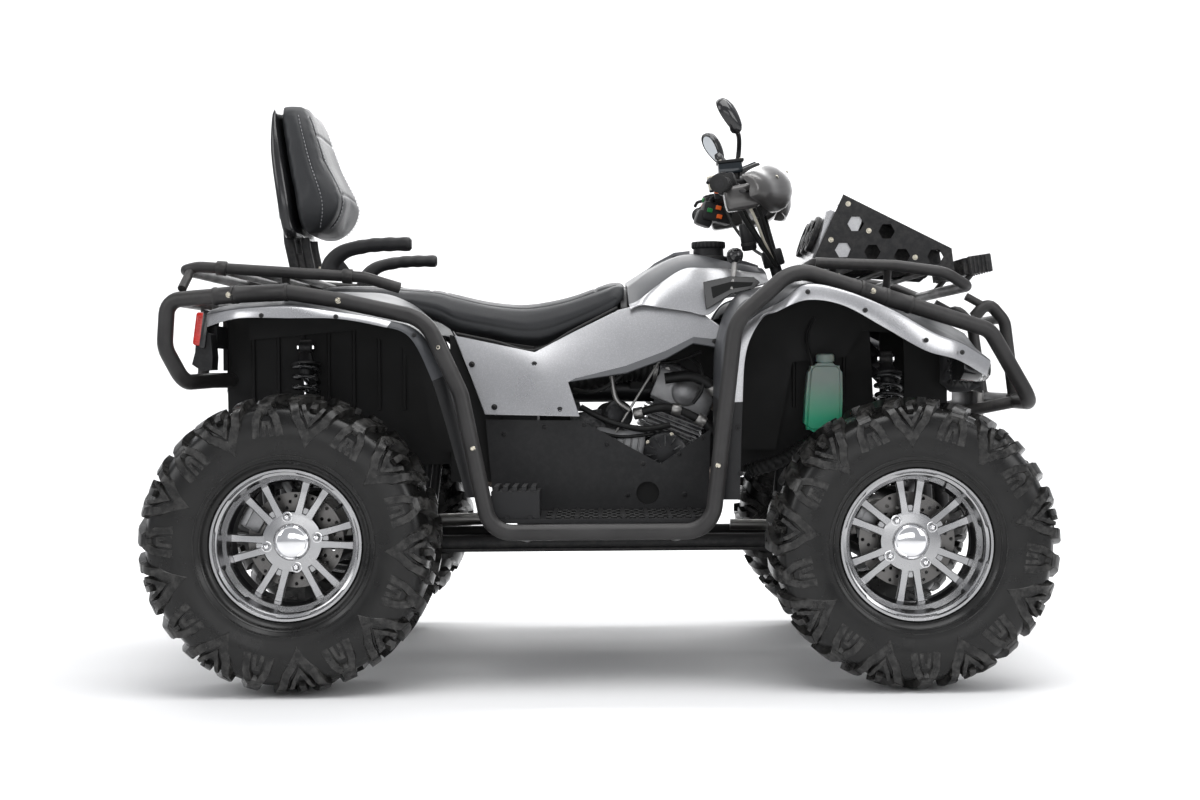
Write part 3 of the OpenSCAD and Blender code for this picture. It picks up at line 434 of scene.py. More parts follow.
def ring_tree():
    """Copies of a part turned round the Y axis."""
    t, i, o = new_tree(
        "Round an axle",
        "GeometryNodeTree",
        [
            ("Geometry", "NodeSocketGeometry", None),
            ("Part", "NodeSocketObject", None),
            ("Count", "NodeSocketInt", 9),
            ("Start", "NodeSocketFloat", 0.0),
            ("Material", "NodeSocketMaterial", None),
        ],
        [("Geometry", "NodeSocketGeometry")],
    )
    line = node(t, "GeometryNodeMeshLine", {"Count": i["Count"], "Offset": (0, 0, 0)})
    part = node(t, "GeometryNodeObjectInfo", {"Object": i["Part"]})
    step = node(t, "ShaderNodeMath", {0: 2 * math.pi, 1: i["Count"]}, operation="DIVIDE")
    index = node(t, "GeometryNodeInputIndex")
    turn = node(
        t, "ShaderNodeMath", {0: index.outputs[0], 1: step.outputs[0], 2: i["Start"]}, operation="MULTIPLY_ADD"
    )
    euler = node(t, "ShaderNodeCombineXYZ", {"Y": turn.outputs[0]})
    rotation = node(t, "FunctionNodeEulerToRotation", {"Euler": euler.outputs[0]})
    copies = node(
        t,
        "GeometryNodeInstanceOnPoints",
        {"Points": line.outputs[0], "Instance": part.outputs["Geometry"], "Rotation": rotation.outputs[0]},
    )
    closing(t, copies.outputs[0], i["Material"], o)
    return t


def spots_tree():
    """Copies of a part on points, each with its own turn and size."""
    t, i, o = new_tree(
        "On points",
        "GeometryNodeTree",
        [
            ("Geometry", "NodeSocketGeometry", None),
            ("Part", "NodeSocketObject", None),
            ("Size", "NodeSocketFloat", 1.0),
            ("Material", "NodeSocketMaterial", None),
        ],
        [("Geometry", "NodeSocketGeometry")],
    )
    part = node(t, "GeometryNodeObjectInfo", {"Object": i["Part"]})
    turn = node(t, "GeometryNodeInputNamedAttribute", {"Name": "turn"}, data_type="FLOAT_VECTOR")
    own = node(t, "GeometryNodeInputNamedAttribute", {"Name": "size"}, data_type="FLOAT")
    rotation = node(t, "FunctionNodeEulerToRotation", {"Euler": turn.outputs["Attribute"]})
    size = node(t, "ShaderNodeMath", {0: own.outputs["Attribute"], 1: i["Size"]}, operation="MULTIPLY")
    copies = node(
        t,
        "GeometryNodeInstanceOnPoints",
        {
            "Points": i["Geometry"], "Instance": part.outputs["Geometry"], "Rotation": rotation.outputs[0],
            "Scale": size.outputs[0]
        },
    )
    closing(t, copies.outputs[0], i["Material"], o)
    return t


def row_tree():
    """Copies of a part in a straight row."""
    t, i, o = new_tree(
        "In a row",
        "GeometryNodeTree",
        [
            ("Geometry", "NodeSocketGeometry", None),
            ("Part", "NodeSocketObject", None),
            ("Count", "NodeSocketInt", 8),
            ("First", "NodeSocketVector", (0, 0, 0)),
            ("Step", "NodeSocketVector", (10, 0, 0)),
            ("Material", "NodeSocketMaterial", None),
        ],
        [("Geometry", "NodeSocketGeometry")],
    )
    line = node(t, "GeometryNodeMeshLine", {"Count": i["Count"], "Start Location": i["First"], "Offset": i["Step"]})
    part = node(t, "GeometryNodeObjectInfo", {"Object": i["Part"]})
    copies = node(
        t, "GeometryNodeInstanceOnPoints", {"Points": line.outputs[0], "Instance": part.outputs["Geometry"]}
    )
    closing(t, copies.outputs[0], i["Material"], o)
    return t


def coil_tree():
    """A wire coil standing on the XY plane."""
    t, i, o = new_tree(
        "Coil",
        "GeometryNodeTree",
        [
            ("Geometry", "NodeSocketGeometry", None),
            ("Turns", "NodeSocketFloat", 8.0),
            ("Radius", "NodeSocketFloat", 28.0),
            ("Height", "NodeSocketFloat", 200.0),
            ("Wire", "NodeSocketFloat", 5.0),
            ("Material", "NodeSocketMaterial", None),
        ],
        [("Geometry", "NodeSocketGeometry")],
    )
    spiral = node(
        t,
        "GeometryNodeCurveSpiral",
        {
            "Resolution": 24, "Rotations": i["Turns"], "Start Radius": i["Radius"], "End Radius": i["Radius"],
            "Height": i["Height"]
        },
    )
    wire = node(t, "GeometryNodeCurvePrimitiveCircle", {"Resolution": 10, "Radius": i["Wire"]})
    tube = node(
        t, "GeometryNodeCurveToMesh",
        {"Curve": spiral.outputs[0], "Profile Curve": wire.outputs[0], "Fill Caps": True}
    )
    closing(t, tube.outputs[0], i["Material"], o)
    return t


def stitch_tree():
    """Stitches along a line, each lying along it."""
    t, i, o = new_tree(
        "Stitches",
        "GeometryNodeTree",
        [
            ("Geometry", "NodeSocketGeometry", None),
            ("Part", "NodeSocketObject", None),
            ("Spacing", "NodeSocketFloat", 9.0),
            ("Material", "NodeSocketMaterial", None),
        ],
        [("Geometry", "NodeSocketGeometry")],
    )
    part = node(t, "GeometryNodeObjectInfo", {"Object": i["Part"]})
    curve = node(t, "GeometryNodeMeshToCurve", {"Mesh": i["Geometry"]})
    places = node(t, "GeometryNodeCurveToPoints", {"Curve": curve.outputs[0], "Length": i["Spacing"]}, mode="LENGTH")
    copies = node(
        t,
        "GeometryNodeInstanceOnPoints",
        {
            "Points": places.outputs["Points"], "Instance": part.outputs["Geometry"],
            "Rotation": places.outputs["Rotation"]
        },
    )
    closing(t, copies.outputs[0], i["Material"], o)
    return t


TREES = {"ring": ring_tree, "spots": spots_tree, "row": row_tree, "coil": coil_tree, "stitches": stitch_tree}


def grown(kind, part=None, points=(), edges=(), turns=None, sizes=None, **values):
    """The plain mesh that a geometry tree grows from a part, which is a Shape, or from points, in millimetres."""
    if kind not in bpy.data.node_groups:
        TREES[kind]().name = kind
    tree = bpy.data.node_groups[kind]
    scene = bpy.context.scene.collection.objects
    base = bpy.data.meshes.new("base")
    base.from_pydata([tuple(p) for p in points], list(edges), [])
    if turns is not None:
        base.attributes.new("turn", "FLOAT_VECTOR", "POINT").data.foreach_set("vector", [c for t in turns for c in t])
        base.attributes.new("size", "FLOAT", "POINT").data.foreach_set("value", sizes or [1.0] * len(turns))
    host = bpy.data.objects.new("host", base)
    scene.link(host)
    made = None
    if part is not None:
        mesh = bpy.data.meshes.new("part")
        mesh.from_pydata([tuple(p) for p in part.points], [], part.faces)
        made = bpy.data.objects.new("part", mesh)
        scene.link(made)
        values["Part"] = made
    modifier = host.modifiers.new("Grow", "NODES")
    modifier.node_group = tree
    for s in tree.interface.items_tree:
        if s.item_type == "SOCKET" and s.in_out == "INPUT" and s.name in values:
            modifier[s.identifier] = values[s.name]
    graph = bpy.context.evaluated_depsgraph_get()
    result = bpy.data.meshes.new_from_object(host.evaluated_get(graph), depsgraph=graph)
    bpy.data.objects.remove(host)
    if made:
        bpy.data.objects.remove(made)
    return result


# ---------- finishes ----------


def grain_group():
    """Fine surface grain as a height, and slow colour variation as a tone."""
    t, i, o = new_tree(
        "Surface grain",
        "ShaderNodeTree",
        [("Scale", "NodeSocketFloat", 600.0), ("Patch scale", "NodeSocketFloat", 9.0)],
        [("Height", "NodeSocketFloat"), ("Tone", "NodeSocketFloat")],
    )
    place = node(t, "ShaderNodeTexCoord")
    fine = node(
        t, "ShaderNodeTexNoise",
        {"Vector": place.outputs["Object"], "Scale": i["Scale"], "Detail": 3.0, "Roughness": 0.6}
    )
    slow = node(
        t, "ShaderNodeTexNoise",
        {"Vector": place.outputs["Object"], "Scale": i["Patch scale"], "Detail": 4.0, "Roughness": 0.55}
    )
    t.links.new(fine.outputs["Fac"], o["Height"])
    t.links.new(slow.outputs["Fac"], o["Tone"])
    return t


def wear_and_highlight_group():
    """A mask of rubbed outer edges; on the tyres the same mask lightens the lug edges as painted highlights."""
    t, i, o = new_tree(
        "Edge wear",
        "ShaderNodeTree",
        [("Amount", "NodeSocketFloat", 0.5), ("Scale", "NodeSocketFloat", 60.0)],
        [("Mask", "NodeSocketFloat")],
    )
    shape = node(t, "ShaderNodeNewGeometry")
    place = node(t, "ShaderNodeTexCoord")
    noise = node(
        t, "ShaderNodeTexNoise",
        {"Vector": place.outputs["Object"], "Scale": i["Scale"], "Detail": 5.0, "Roughness": 0.7}
    )
    edge = node(t, "ShaderNodeMapRange", {"Value": shape.outputs["Pointiness"], "From Min": 0.52, "From Max": 0.62})
    broken = node(t, "ShaderNodeMapRange", {"Value": noise.outputs["Fac"], "From Min": 0.42, "From Max": 0.62})
    both = node(t, "ShaderNodeMath", {0: edge.outputs[0], 1: broken.outputs[0]}, operation="MULTIPLY")
    out = node(t, "ShaderNodeMath", {0: both.outputs[0], 1: i["Amount"]}, operation="MULTIPLY", use_clamp=True)
    t.links.new(out.outputs[0], o["Mask"])
    return t


def dust_group():
    """A mask of light dust on what faces up."""
    t, i, o = new_tree(
        "Dust",
        "ShaderNodeTree",
        [("Amount", "NodeSocketFloat", 0.2), ("Scale", "NodeSocketFloat", 14.0)],
        [("Mask", "NodeSocketFloat")],
    )
    shape = node(t, "ShaderNodeNewGeometry")
    place = node(t, "ShaderNodeTexCoord")
    up = node(t, "ShaderNodeSeparateXYZ", {"Vector": shape.outputs["Normal"]})
    facing = node(t, "ShaderNodeMapRange", {"Value": up.outputs["Z"], "From Min": -0.1, "From Max": 1.0})
    noise = node(
        t, "ShaderNodeTexNoise",
        {"Vector": place.outputs["Object"], "Scale": i["Scale"], "Detail": 6.0, "Roughness": 0.65}
    )
    patch = node(t, "ShaderNodeMapRange", {"Value": noise.outputs["Fac"], "From Min": 0.35, "From Max": 0.75})
    both = node(t, "ShaderNodeMath", {0: facing.outputs[0], 1: patch.outputs[0]}, operation="MULTIPLY")
    out = node(t, "ShaderNodeMath", {0: both.outputs[0], 1: i["Amount"]}, operation="MULTIPLY", use_clamp=True)
    t.links.new(out.outputs[0], o["Mask"])
    return t


GROUPS = {"Surface grain": grain_group, "Edge wear": wear_and_highlight_group, "Dust": dust_group}
DUST = (0.13, 0.12, 0.105, 1)


def effect(tree, name, inputs):
    """Places a shared effect in a material."""
    if name not in bpy.data.node_groups:
        GROUPS[name]()
    n = tree.nodes.new("ShaderNodeGroup")
    n.node_tree = bpy.data.node_groups[name]
    for k, v in inputs.items():
        n.inputs[k].default_value = v
    return n


def mixed(tree, mask, a, b):
    """Colour a, going to colour b where the mask is 1."""
    m = node(tree, "ShaderNodeMix", {0: mask}, data_type="RGBA")
    for k, v in ((6, a), (7, b)):
        if isinstance(v, bpy.types.NodeSocket):
            tree.links.new(v, m.inputs[k])
        else:
            m.inputs[k].default_value = (*v[:3], 1)
    return m.outputs[2]


def surface(
    name, base, rough, metal=0.0, grain=500.0, bump=0.05, depth=0.0004, patches=9.0, shade=0.85, uneven=0.06,
    wear_and_highlight=0.0, worn_and_highlight_colour=(0.3, 0.3, 0.3), dust=0.0, coat=0.0, pattern=None, **sockets
):
    """A finish with grain, slow colour variation, uneven gloss, rubbed edges and dust; on the tyres the lightened edges
    are painted highlights.
    """
    m = bpy.data.materials.new(name)
    m.use_nodes = True
    t = m.node_tree
    shader = t.nodes["Principled BSDF"]
    shader.inputs["Metallic"].default_value = metal
    shader.inputs["Coat Weight"].default_value = coat
    shader.inputs["Coat Roughness"].default_value = 0.12
    if metal < 0.3 and not coat:
        shader.inputs["Specular IOR Level"].default_value = 0.28
    for k, v in sockets.items():
        shader.inputs[k.replace("_", " ")].default_value = v
    g = effect(t, "Surface grain", {"Scale": grain, "Patch scale": patches})
    spread = node(t, "ShaderNodeMapRange", {"Value": g.outputs["Tone"], "From Min": 0.3, "From Max": 0.7})
    out = mixed(t, spread.outputs[0], [c * shade for c in base], [min(1, c * (2 - shade)) for c in base])
    height = g.outputs["Height"]
    if pattern:
        out, height = pattern(t, out, height)
    # lightened outer edges: rubbed paint on most finishes, painted highlights on the tyre lugs
    if wear_and_highlight:
        w = effect(t, "Edge wear", {"Amount": wear_and_highlight})
        out = mixed(t, w.outputs["Mask"], out, worn_and_highlight_colour)
    gloss = node(
        t, "ShaderNodeMapRange",
        {
            "Value": g.outputs["Tone"], "From Min": 0.3, "From Max": 0.7, "To Min": rough - uneven,
            "To Max": rough + uneven
        }
    )
    value = gloss.outputs[0]
    if dust:
        d = effect(t, "Dust", {"Amount": dust})
        out = mixed(t, d.outputs["Mask"], out, DUST)
        value = node(
            t, "ShaderNodeMath", {0: d.outputs["Mask"], 1: 0.5, 2: value}, operation="MULTIPLY_ADD", use_clamp=True
        ).outputs[0]
    t.links.new(out, shader.inputs["Base Color"])
    t.links.new(value, shader.inputs["Roughness"])
    if bump:
        b = node(t, "ShaderNodeBump", {"Strength": bump, "Distance": depth, "Height": height})
        t.links.new(b.outputs["Normal"], shader.inputs["Normal"])
    return m


def cells(scale, line=0.35, crease_shade=0.75):
    """Leather-like cells, as a height, with the creases slightly darkened as painted shade."""

    def pattern(t, colour_in, height):
        place = node(t, "ShaderNodeTexCoord")
        v = node(
            t, "ShaderNodeTexVoronoi", {"Vector": place.outputs["Object"], "Scale": scale}, feature="DISTANCE_TO_EDGE"
        )
        crease = node(t, "ShaderNodeMapRange", {"Value": v.outputs["Distance"], "From Min": 0.0, "From Max": line})
        # painted shade: the creases between the cells are darkened toward near black
        dark = node(
            t, "ShaderNodeMapRange",
            {
                "Value": v.outputs["Distance"], "From Min": 0.0, "From Max": line * 0.6, "To Min": 1 - crease_shade,
                "To Max": 0.0
            }
        )
        shaded = mixed(t, dark.outputs[0], colour_in, (0.008, 0.008, 0.009))
        both = node(t, "ShaderNodeMath", {0: height, 1: 0.25, 2: crease.outputs[0]}, operation="MULTIPLY_ADD")
        return shaded, both.outputs[0]

    return pattern


def flakes(t, colour_in, height):
    """Metallic flakes in the paint."""
    place = node(t, "ShaderNodeTexCoord")
    v = node(t, "ShaderNodeTexVoronoi", {"Vector": place.outputs["Object"], "Scale": 900.0})
    bright = node(
        t, "ShaderNodeMapRange",
        {"Value": v.outputs["Color"], "From Min": 0.55, "From Max": 1.0, "To Min": 0.0, "To Max": 0.35}
    )
    return mixed(t, bright.outputs[0], colour_in, (0.86, 0.86, 0.88)), height


def lathe_lines(t, colour_in, height):
    """Fine rings left by turning, from the distance to the axle stored on the mesh."""
    a = node(t, "ShaderNodeAttribute", attribute_name="radius")
    s = node(t, "ShaderNodeMath", {0: a.outputs["Fac"], 1: 4200.0}, operation="MULTIPLY")
    w = node(t, "ShaderNodeMath", {0: s.outputs[0]}, operation="SINE")
    both = node(t, "ShaderNodeMath", {0: w.outputs[0], 1: 0.12, 2: height}, operation="MULTIPLY_ADD")
    return colour_in, both.outputs[0]


def streaks(direction, scale=180.0, strength=0.5):
    """Brushed or drawn streaks along a direction."""

    def pattern(t, colour_in, height):
        place = node(t, "ShaderNodeTexCoord")
        m = node(
            t, "ShaderNodeMapping",
            {"Vector": place.outputs["Object"], "Scale": [scale * (0.04 if k == direction else 1) for k in range(3)]}
        )
        n = node(t, "ShaderNodeTexNoise", {"Vector": m.outputs[0], "Scale": 4.0, "Detail": 3.0})
        both = node(t, "ShaderNodeMath", {0: n.outputs["Fac"], 1: strength, 2: height}, operation="MULTIPLY_ADD")
        shaded = node(
            t, "ShaderNodeMapRange",
            {"Value": n.outputs["Fac"], "From Min": 0.3, "From Max": 0.7, "To Min": 0.0, "To Max": 0.25}
        )
        return mixed(t, shaded.outputs[0], colour_in, (0.1, 0.1, 0.1)), both.outputs[0]

    return pattern


def ribs(axis, pitch, depth=1.0):
    """Moulded ribs of a lens across an axis."""

    def pattern(t, colour_in, height):
        place = node(t, "ShaderNodeTexCoord")
        x = node(t, "ShaderNodeSeparateXYZ", {"Vector": place.outputs["Object"]})
        s = node(t, "ShaderNodeMath", {0: x.outputs[axis], 1: 2 * math.pi / pitch}, operation="MULTIPLY")
        w = node(t, "ShaderNodeMath", {0: s.outputs[0]}, operation="SINE")
        both = node(t, "ShaderNodeMath", {0: w.outputs[0], 1: depth, 2: height}, operation="MULTIPLY_ADD")
        return colour_in, both.outputs[0]

    return pattern


def filled_to(low, high, fluid):
    """Coolant that shows through the lower part of a milky bottle."""

    def pattern(t, colour_in, height):
        place = node(t, "ShaderNodeTexCoord")
        x = node(t, "ShaderNodeSeparateXYZ", {"Vector": place.outputs["Object"]})
        n = node(t, "ShaderNodeTexNoise", {"Vector": place.outputs["Object"], "Scale": 30.0, "Detail": 2.0})
        z = node(t, "ShaderNodeMath", {0: n.outputs["Fac"], 1: 0.006, 2: x.outputs["Z"]}, operation="MULTIPLY_ADD")
        level = node(
            t, "ShaderNodeMapRange",
            {"Value": z.outputs[0], "From Min": low, "From Max": high, "To Min": 1.0, "To Max": 0.0}
        )
        return mixed(t, level.outputs[0], colour_in, fluid), height

    return pattern


def glass(name, tint, rough, metal=0.0):
    m = bpy.data.materials.new(name)
    m.use_nodes = True
    t = m.node_tree
    s = t.nodes["Principled BSDF"]
    s.inputs["Metallic"].default_value = metal
    s.inputs["Transmission Weight"].default_value = 0.0 if metal else 1.0
    s.inputs["IOR"].default_value = 1.49
    g = effect(t, "Surface grain", {"Scale": 90.0, "Patch scale": 12.0})
    r = node(
        t, "ShaderNodeMapRange",
        {"Value": g.outputs["Tone"], "From Min": 0.3, "From Max": 0.7, "To Min": rough, "To Max": rough + 0.04}
    )
    t.links.new(r.outputs[0], s.inputs["Roughness"])
    t.links.new(mixed(t, g.outputs["Tone"], tint, [min(1, c * 1.06) for c in tint]), s.inputs["Base Color"])
    return m


def paint_colours():
    p = bpy.context.scene.quad_paint
    return {k: tuple(getattr(p, k)) for k in (
        "silver", "satin", "tube", "plastic", "vinyl", "thread", "hook", "fluid"
    )}


FINISHES = {
    "silver paint": lambda c: surface(
        "silver paint", c["silver"], 0.30, 0.75, 1400, 0.03, 0.0002, 5, 0.94, 0.04, coat=0.6, pattern=flakes,
        dust=0.04
    ),
    "satin panel": lambda c: surface(
        "satin panel", c["satin"], 0.36, 0.15, 1800, 0.10, 0.0002, 7, 0.9, 0.05, wear_and_highlight=0.15, worn_and_highlight_colour=(0.15, 0.15, 0.16),
        dust=0.08
    ),
    "tube coat": lambda c: surface(
        "tube coat", c["tube"], 0.40, 0.1, 620, 0.35, 0.0005, 12, 0.75, 0.08, wear_and_highlight=0.2, worn_and_highlight_colour=(0.12, 0.11, 0.1),
        dust=0.10
    ),
    "frame coat": lambda c: surface(
        "frame coat", (0.014, 0.014, 0.015), 0.42, 0.1, 900, 0.12, 0.0003, 8, 0.8, 0.08, wear_and_highlight=0.25,
        worn_and_highlight_colour=(0.16, 0.15, 0.14), dust=0.12
    ),
    "black plastic": lambda c: surface(
        "black plastic", c["plastic"], 0.44, 0.0, 1500, 0.16, 0.0003, 6, 0.85, 0.07, wear_and_highlight=0.15,
        worn_and_highlight_colour=(0.07, 0.07, 0.07), dust=0.10
    ),
    "gloss plastic": lambda c: surface(
        "gloss plastic", (0.010, 0.010, 0.011), 0.20, 0.0, 900, 0.03, 0.0002, 6, 0.9, 0.05, coat=0.3, dust=0.05
    ),
    "liner plastic": lambda c: surface(
        "liner plastic", (0.006, 0.006, 0.006), 0.6, 0.0, 700, 0.2, 0.0004, 10, 0.8, 0.08, dust=0.12
    ),
    "vinyl": lambda c: surface(
        "vinyl", c["vinyl"], 0.42, 0.0, 1100, 0.22, 0.0004, 6, 0.86, 0.06, dust=0.05, pattern=cells(330.0)
    ),
    "thread": lambda c: surface("thread", c["thread"], 0.7, 0.0, 2500, 0.5, 0.0003, 20, 0.8, 0.05),
    # the tyre's lightened lug edges are painted highlights, not rubbed rubber
    "tyre rubber": lambda c: surface(
        "tyre rubber", (0.0055, 0.0053, 0.005), 0.30, 0.0, 800, 0.18, 0.0003, 16, 0.7, 0.08, wear_and_highlight=0.6,
        worn_and_highlight_colour=(0.07, 0.068, 0.065), dust=0.0, Specular_IOR_Level=0.36
    ),
    "hose rubber": lambda c: surface(
        "hose rubber", (0.013, 0.013, 0.013), 0.48, 0.0, 900, 0.15, 0.0003, 20, 0.8, 0.07, dust=0.10
    ),
    "grip rubber": lambda c: surface(
        "grip rubber", (0.012, 0.012, 0.012), 0.58, 0.0, 1300, 0.3, 0.0003, 20, 0.8, 0.06, dust=0.04
    ),
    "machined alloy": lambda c: surface(
        "machined alloy", (0.42, 0.42, 0.425), 0.26, 1.0, 1600, 0.05, 0.0001, 14, 0.94, 0.03, pattern=lathe_lines,
        dust=0.03
    ),
    "rim black": lambda c: surface(
        "rim black", (0.006, 0.006, 0.0065), 0.34, 0.0, 900, 0.04, 0.0002, 9, 0.85, 0.05, dust=0.02,
        Specular_IOR_Level=0.35
    ),
    "chrome": lambda c: surface("chrome", (0.82, 0.82, 0.83), 0.09, 1.0, 300, 0.02, 0.0002, 12, 0.95, 0.03),
    "zinc": lambda c: surface(
        "zinc", (0.62, 0.58, 0.48), 0.30, 1.0, 900, 0.1, 0.0002, 60, 0.85, 0.07, wear_and_highlight=0.2, worn_and_highlight_colour=(0.7, 0.7, 0.7)
    ),
    "steel": lambda c: surface(
        "steel", (0.33, 0.32, 0.31), 0.36, 1.0, 700, 0.15, 0.0003, 14, 0.8, 0.08, wear_and_highlight=0.2, worn_and_highlight_colour=(0.5, 0.5, 0.5),
        dust=0.10, pattern=streaks(0)
    ),
    "disc steel": lambda c: surface(
        "disc steel", (0.16, 0.155, 0.15), 0.30, 1.0, 900, 0.12, 0.0002, 12, 0.85, 0.06, pattern=lathe_lines
    ),
    "cast aluminium": lambda c: surface(
        "cast aluminium", (0.29, 0.29, 0.295), 0.42, 1.0, 480, 0.35, 0.0005, 14, 0.75, 0.09, wear_and_highlight=0.25,
        worn_and_highlight_colour=(0.62, 0.62, 0.62), dust=0.10
    ),
    "engine black": lambda c: surface(
        "engine black", (0.022, 0.022, 0.024), 0.40, 0.4, 420, 0.30, 0.0004, 12, 0.75, 0.08, wear_and_highlight=0.5,
        worn_and_highlight_colour=(0.4, 0.4, 0.4), dust=0.10
    ),
    "exhaust steel": lambda c: surface(
        "exhaust steel", (0.20, 0.17, 0.15), 0.42, 1.0, 300, 0.2, 0.0004, 9, 0.65, 0.1, wear_and_highlight=0.1, dust=0.12
    ),
    "spring coat": lambda c: surface(
        "spring coat", (0.012, 0.012, 0.013), 0.26, 0.1, 900, 0.05, 0.0003, 30, 0.8, 0.06, wear_and_highlight=0.3,
        worn_and_highlight_colour=(0.2, 0.2, 0.2), coat=0.2
    ),
    "hook red": lambda c: surface(
        "hook red", c["hook"], 0.32, 0.0, 900, 0.05, 0.0003, 30, 0.85, 0.06, wear_and_highlight=0.4, worn_and_highlight_colour=(0.3, 0.3, 0.3)
    ),
    "red lens": lambda c: surface(
        "red lens", (0.62, 0.02, 0.012), 0.16, 0.0, 300, 0.35, 0.0012, 20, 0.75, 0.05, coat=0.8,
        pattern=ribs(2, 0.006), Emission_Color=(0.6, 0.02, 0.01, 1), Emission_Strength=0.08
    ),
    "amber lens": lambda c: surface(
        "amber lens", (0.70, 0.20, 0.02), 0.16, 0.0, 300, 0.3, 0.0012, 20, 0.8, 0.05, coat=0.8, pattern=ribs(2, 0.006)
    ),
    "reflector": lambda c: surface(
        "reflector", (0.80, 0.80, 0.80), 0.12, 1.0, 300, 0.4, 0.001, 20, 0.9, 0.05, pattern=ribs(2, 0.009)
    ),
    "milky bottle": lambda c: surface(
        "milky bottle", (0.34, 0.42, 0.38), 0.34, 0.0, 700, 0.1, 0.0003, 12, 0.92, 0.06,
        pattern=filled_to(0.575, 0.66, c["fluid"]), Subsurface_Weight=0.25, Subsurface_Scale=0.02
    ),
    "cream plastic": lambda c: surface(
        "cream plastic", (0.70, 0.66, 0.55), 0.40, 0.0, 1200, 0.1, 0.0003, 20, 0.9, 0.06
    ),
    "guard grey": lambda c: surface(
        "guard grey", (0.085, 0.082, 0.080), 0.30, 0.5, 1200, 0.05, 0.0002, 8, 0.88, 0.06, coat=0.3, dust=0.05
    ),
    "radiator metal": lambda c: surface(
        "radiator metal", (0.50, 0.50, 0.51), 0.40, 1.0, 700, 0.2, 0.0003, 12, 0.85, 0.08, wear_and_highlight=0.2,
        worn_and_highlight_colour=(0.7, 0.7, 0.7), dust=0.08, pattern=streaks(1)
    ),
    "button green": lambda c: surface(
        "button green", (0.02, 0.20, 0.05), 0.35, 0.0, 900, 0.05, 0.0002, 40, 0.9, 0.05
    ),
    "button orange": lambda c: surface(
        "button orange", (0.75, 0.13, 0.02), 0.35, 0.0, 900, 0.05, 0.0002, 40, 0.9, 0.05
    ),
    "mirror glass": lambda c: glass("mirror glass", (0.42, 0.44, 0.46), 0.03, 1.0),
    "clear lens": lambda c: glass("clear lens", (0.93, 0.96, 0.97), 0.03),
    "fins": lambda c: surface("fins", (0.10, 0.10, 0.10), 0.45, 0.8, 900, 0.2, 0.0003, 20, 0.75, 0.08, dust=0.15),
    "screen": lambda c: glass("screen", (0.02, 0.025, 0.03), 0.05, 0.2),
}


def finish(name):
    return bpy.data.materials.get(name) or FINISHES[name](paint_colours())


def coat_node(node_name, finish_name):
    """Gives a CAD node its finish."""
    mesh = frame["nodes"][node_name].data
    mesh.materials.clear()
    mesh.materials.append(finish(finish_name))


# ---------- fasteners ----------

BOLTS = {}


def bolt(body, place, direction, size=1.0, kind="bolt", finish_name="zinc"):
    """Notes a screw head; all of them are made together at the end."""
    e = Vector((0, 0, 1)).rotation_difference(Vector(direction).normalized()).to_euler()
    BOLTS.setdefault((body, kind, finish_name), []).append((tuple(place), tuple(e), size))


def bolt_both(body, place, direction, size=1.0, kind="bolt", finish_name="zinc"):
    bolt(body, place, direction, size, kind, finish_name)
    bolt(body, mirrored(place), mirrored(direction), size, kind, finish_name)


def head_shape(kind):
    """A socket screw's round head on a washer, or a hexagon head, about 12 mm across."""
    s = Shape()
    if kind == "bolt":
        s.turn(
            [
                (0, 2.2), (3.0, 2.2), (3.2, 4.2), (5.0, 3.8), (6.2, 2.0), (6.4, 0.9), (8.6, 0.7), (8.8, -0.6),
                (0, -0.6)
            ],
            (0, 0, 0), (0, 0, 1), 10
        )
    else:
        s.turn([(0, 5.2), (5.0, 5.2), (6.0, 4.4), (6.0, 0.8)], (0, 0, 0), (0, 0, 1), 6)
        s.turn([(0, 0.9), (8.6, 0.9), (8.8, -0.6), (0, -0.6)], (0, 0, 0), (0, 0, 1), 12)
    return s


def make_fasteners():
    for (body, kind, finish_name), spots in BOLTS.items():
        heads = grown(
            "spots",
            head_shape(kind),
            points=[p for p, _, _ in spots],
            turns=[e for _, e, _ in spots],
            sizes=[z for _, _, z in spots],
            Size=1.0,
            Material=finish(finish_name),
        )
        s = Shape()
        s.add_mesh(heads)
        s.made(f"{kind}s_{finish_name.replace(' ', '_')}_{body}", body, [finish_name], angle=30)


# ---------- wheels ----------

WHEELS = {
    "front_right": (-1, 0.5236),
    "front_left": (1, 0.9),
    "rear_right": (-1, 0.105),
    "rear_left": (1, 0.6),
}


class Wheel:
    """Sizes of one wheel, read from its CAD nodes; a is forward, b outboard and c up from its centre."""

    def __init__(self, name):
        self.name, (self.side, self.start) = name, WHEELS[name]
        lo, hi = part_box(f"tyre_{name}")
        self.centre = Vector(((((lo + hi) / 2).x - MID_X) * 1000, ((lo + hi) / 2).y * 1000, ((lo + hi) / 2).z * 1000))
        self.r = (hi.z - lo.z) * 500
        self.half = (hi.y - lo.y) * 500
        lo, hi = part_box(f"rim_{name}")
        self.lip = (hi.x - lo.x) * 500
        self.out = max(abs(lo.y), abs(hi.y)) * 1000 - abs(self.centre.y)
        self.back = abs(self.centre.y) - min(abs(lo.y), abs(hi.y)) * 1000
        self.body = f"{name.split('_')[0]}_wheel_{name.split('_')[1]}"

    def place(self, p):
        return Vector((self.centre.x + p[0], self.centre.y + self.side * p[1], self.centre.z + p[2]))


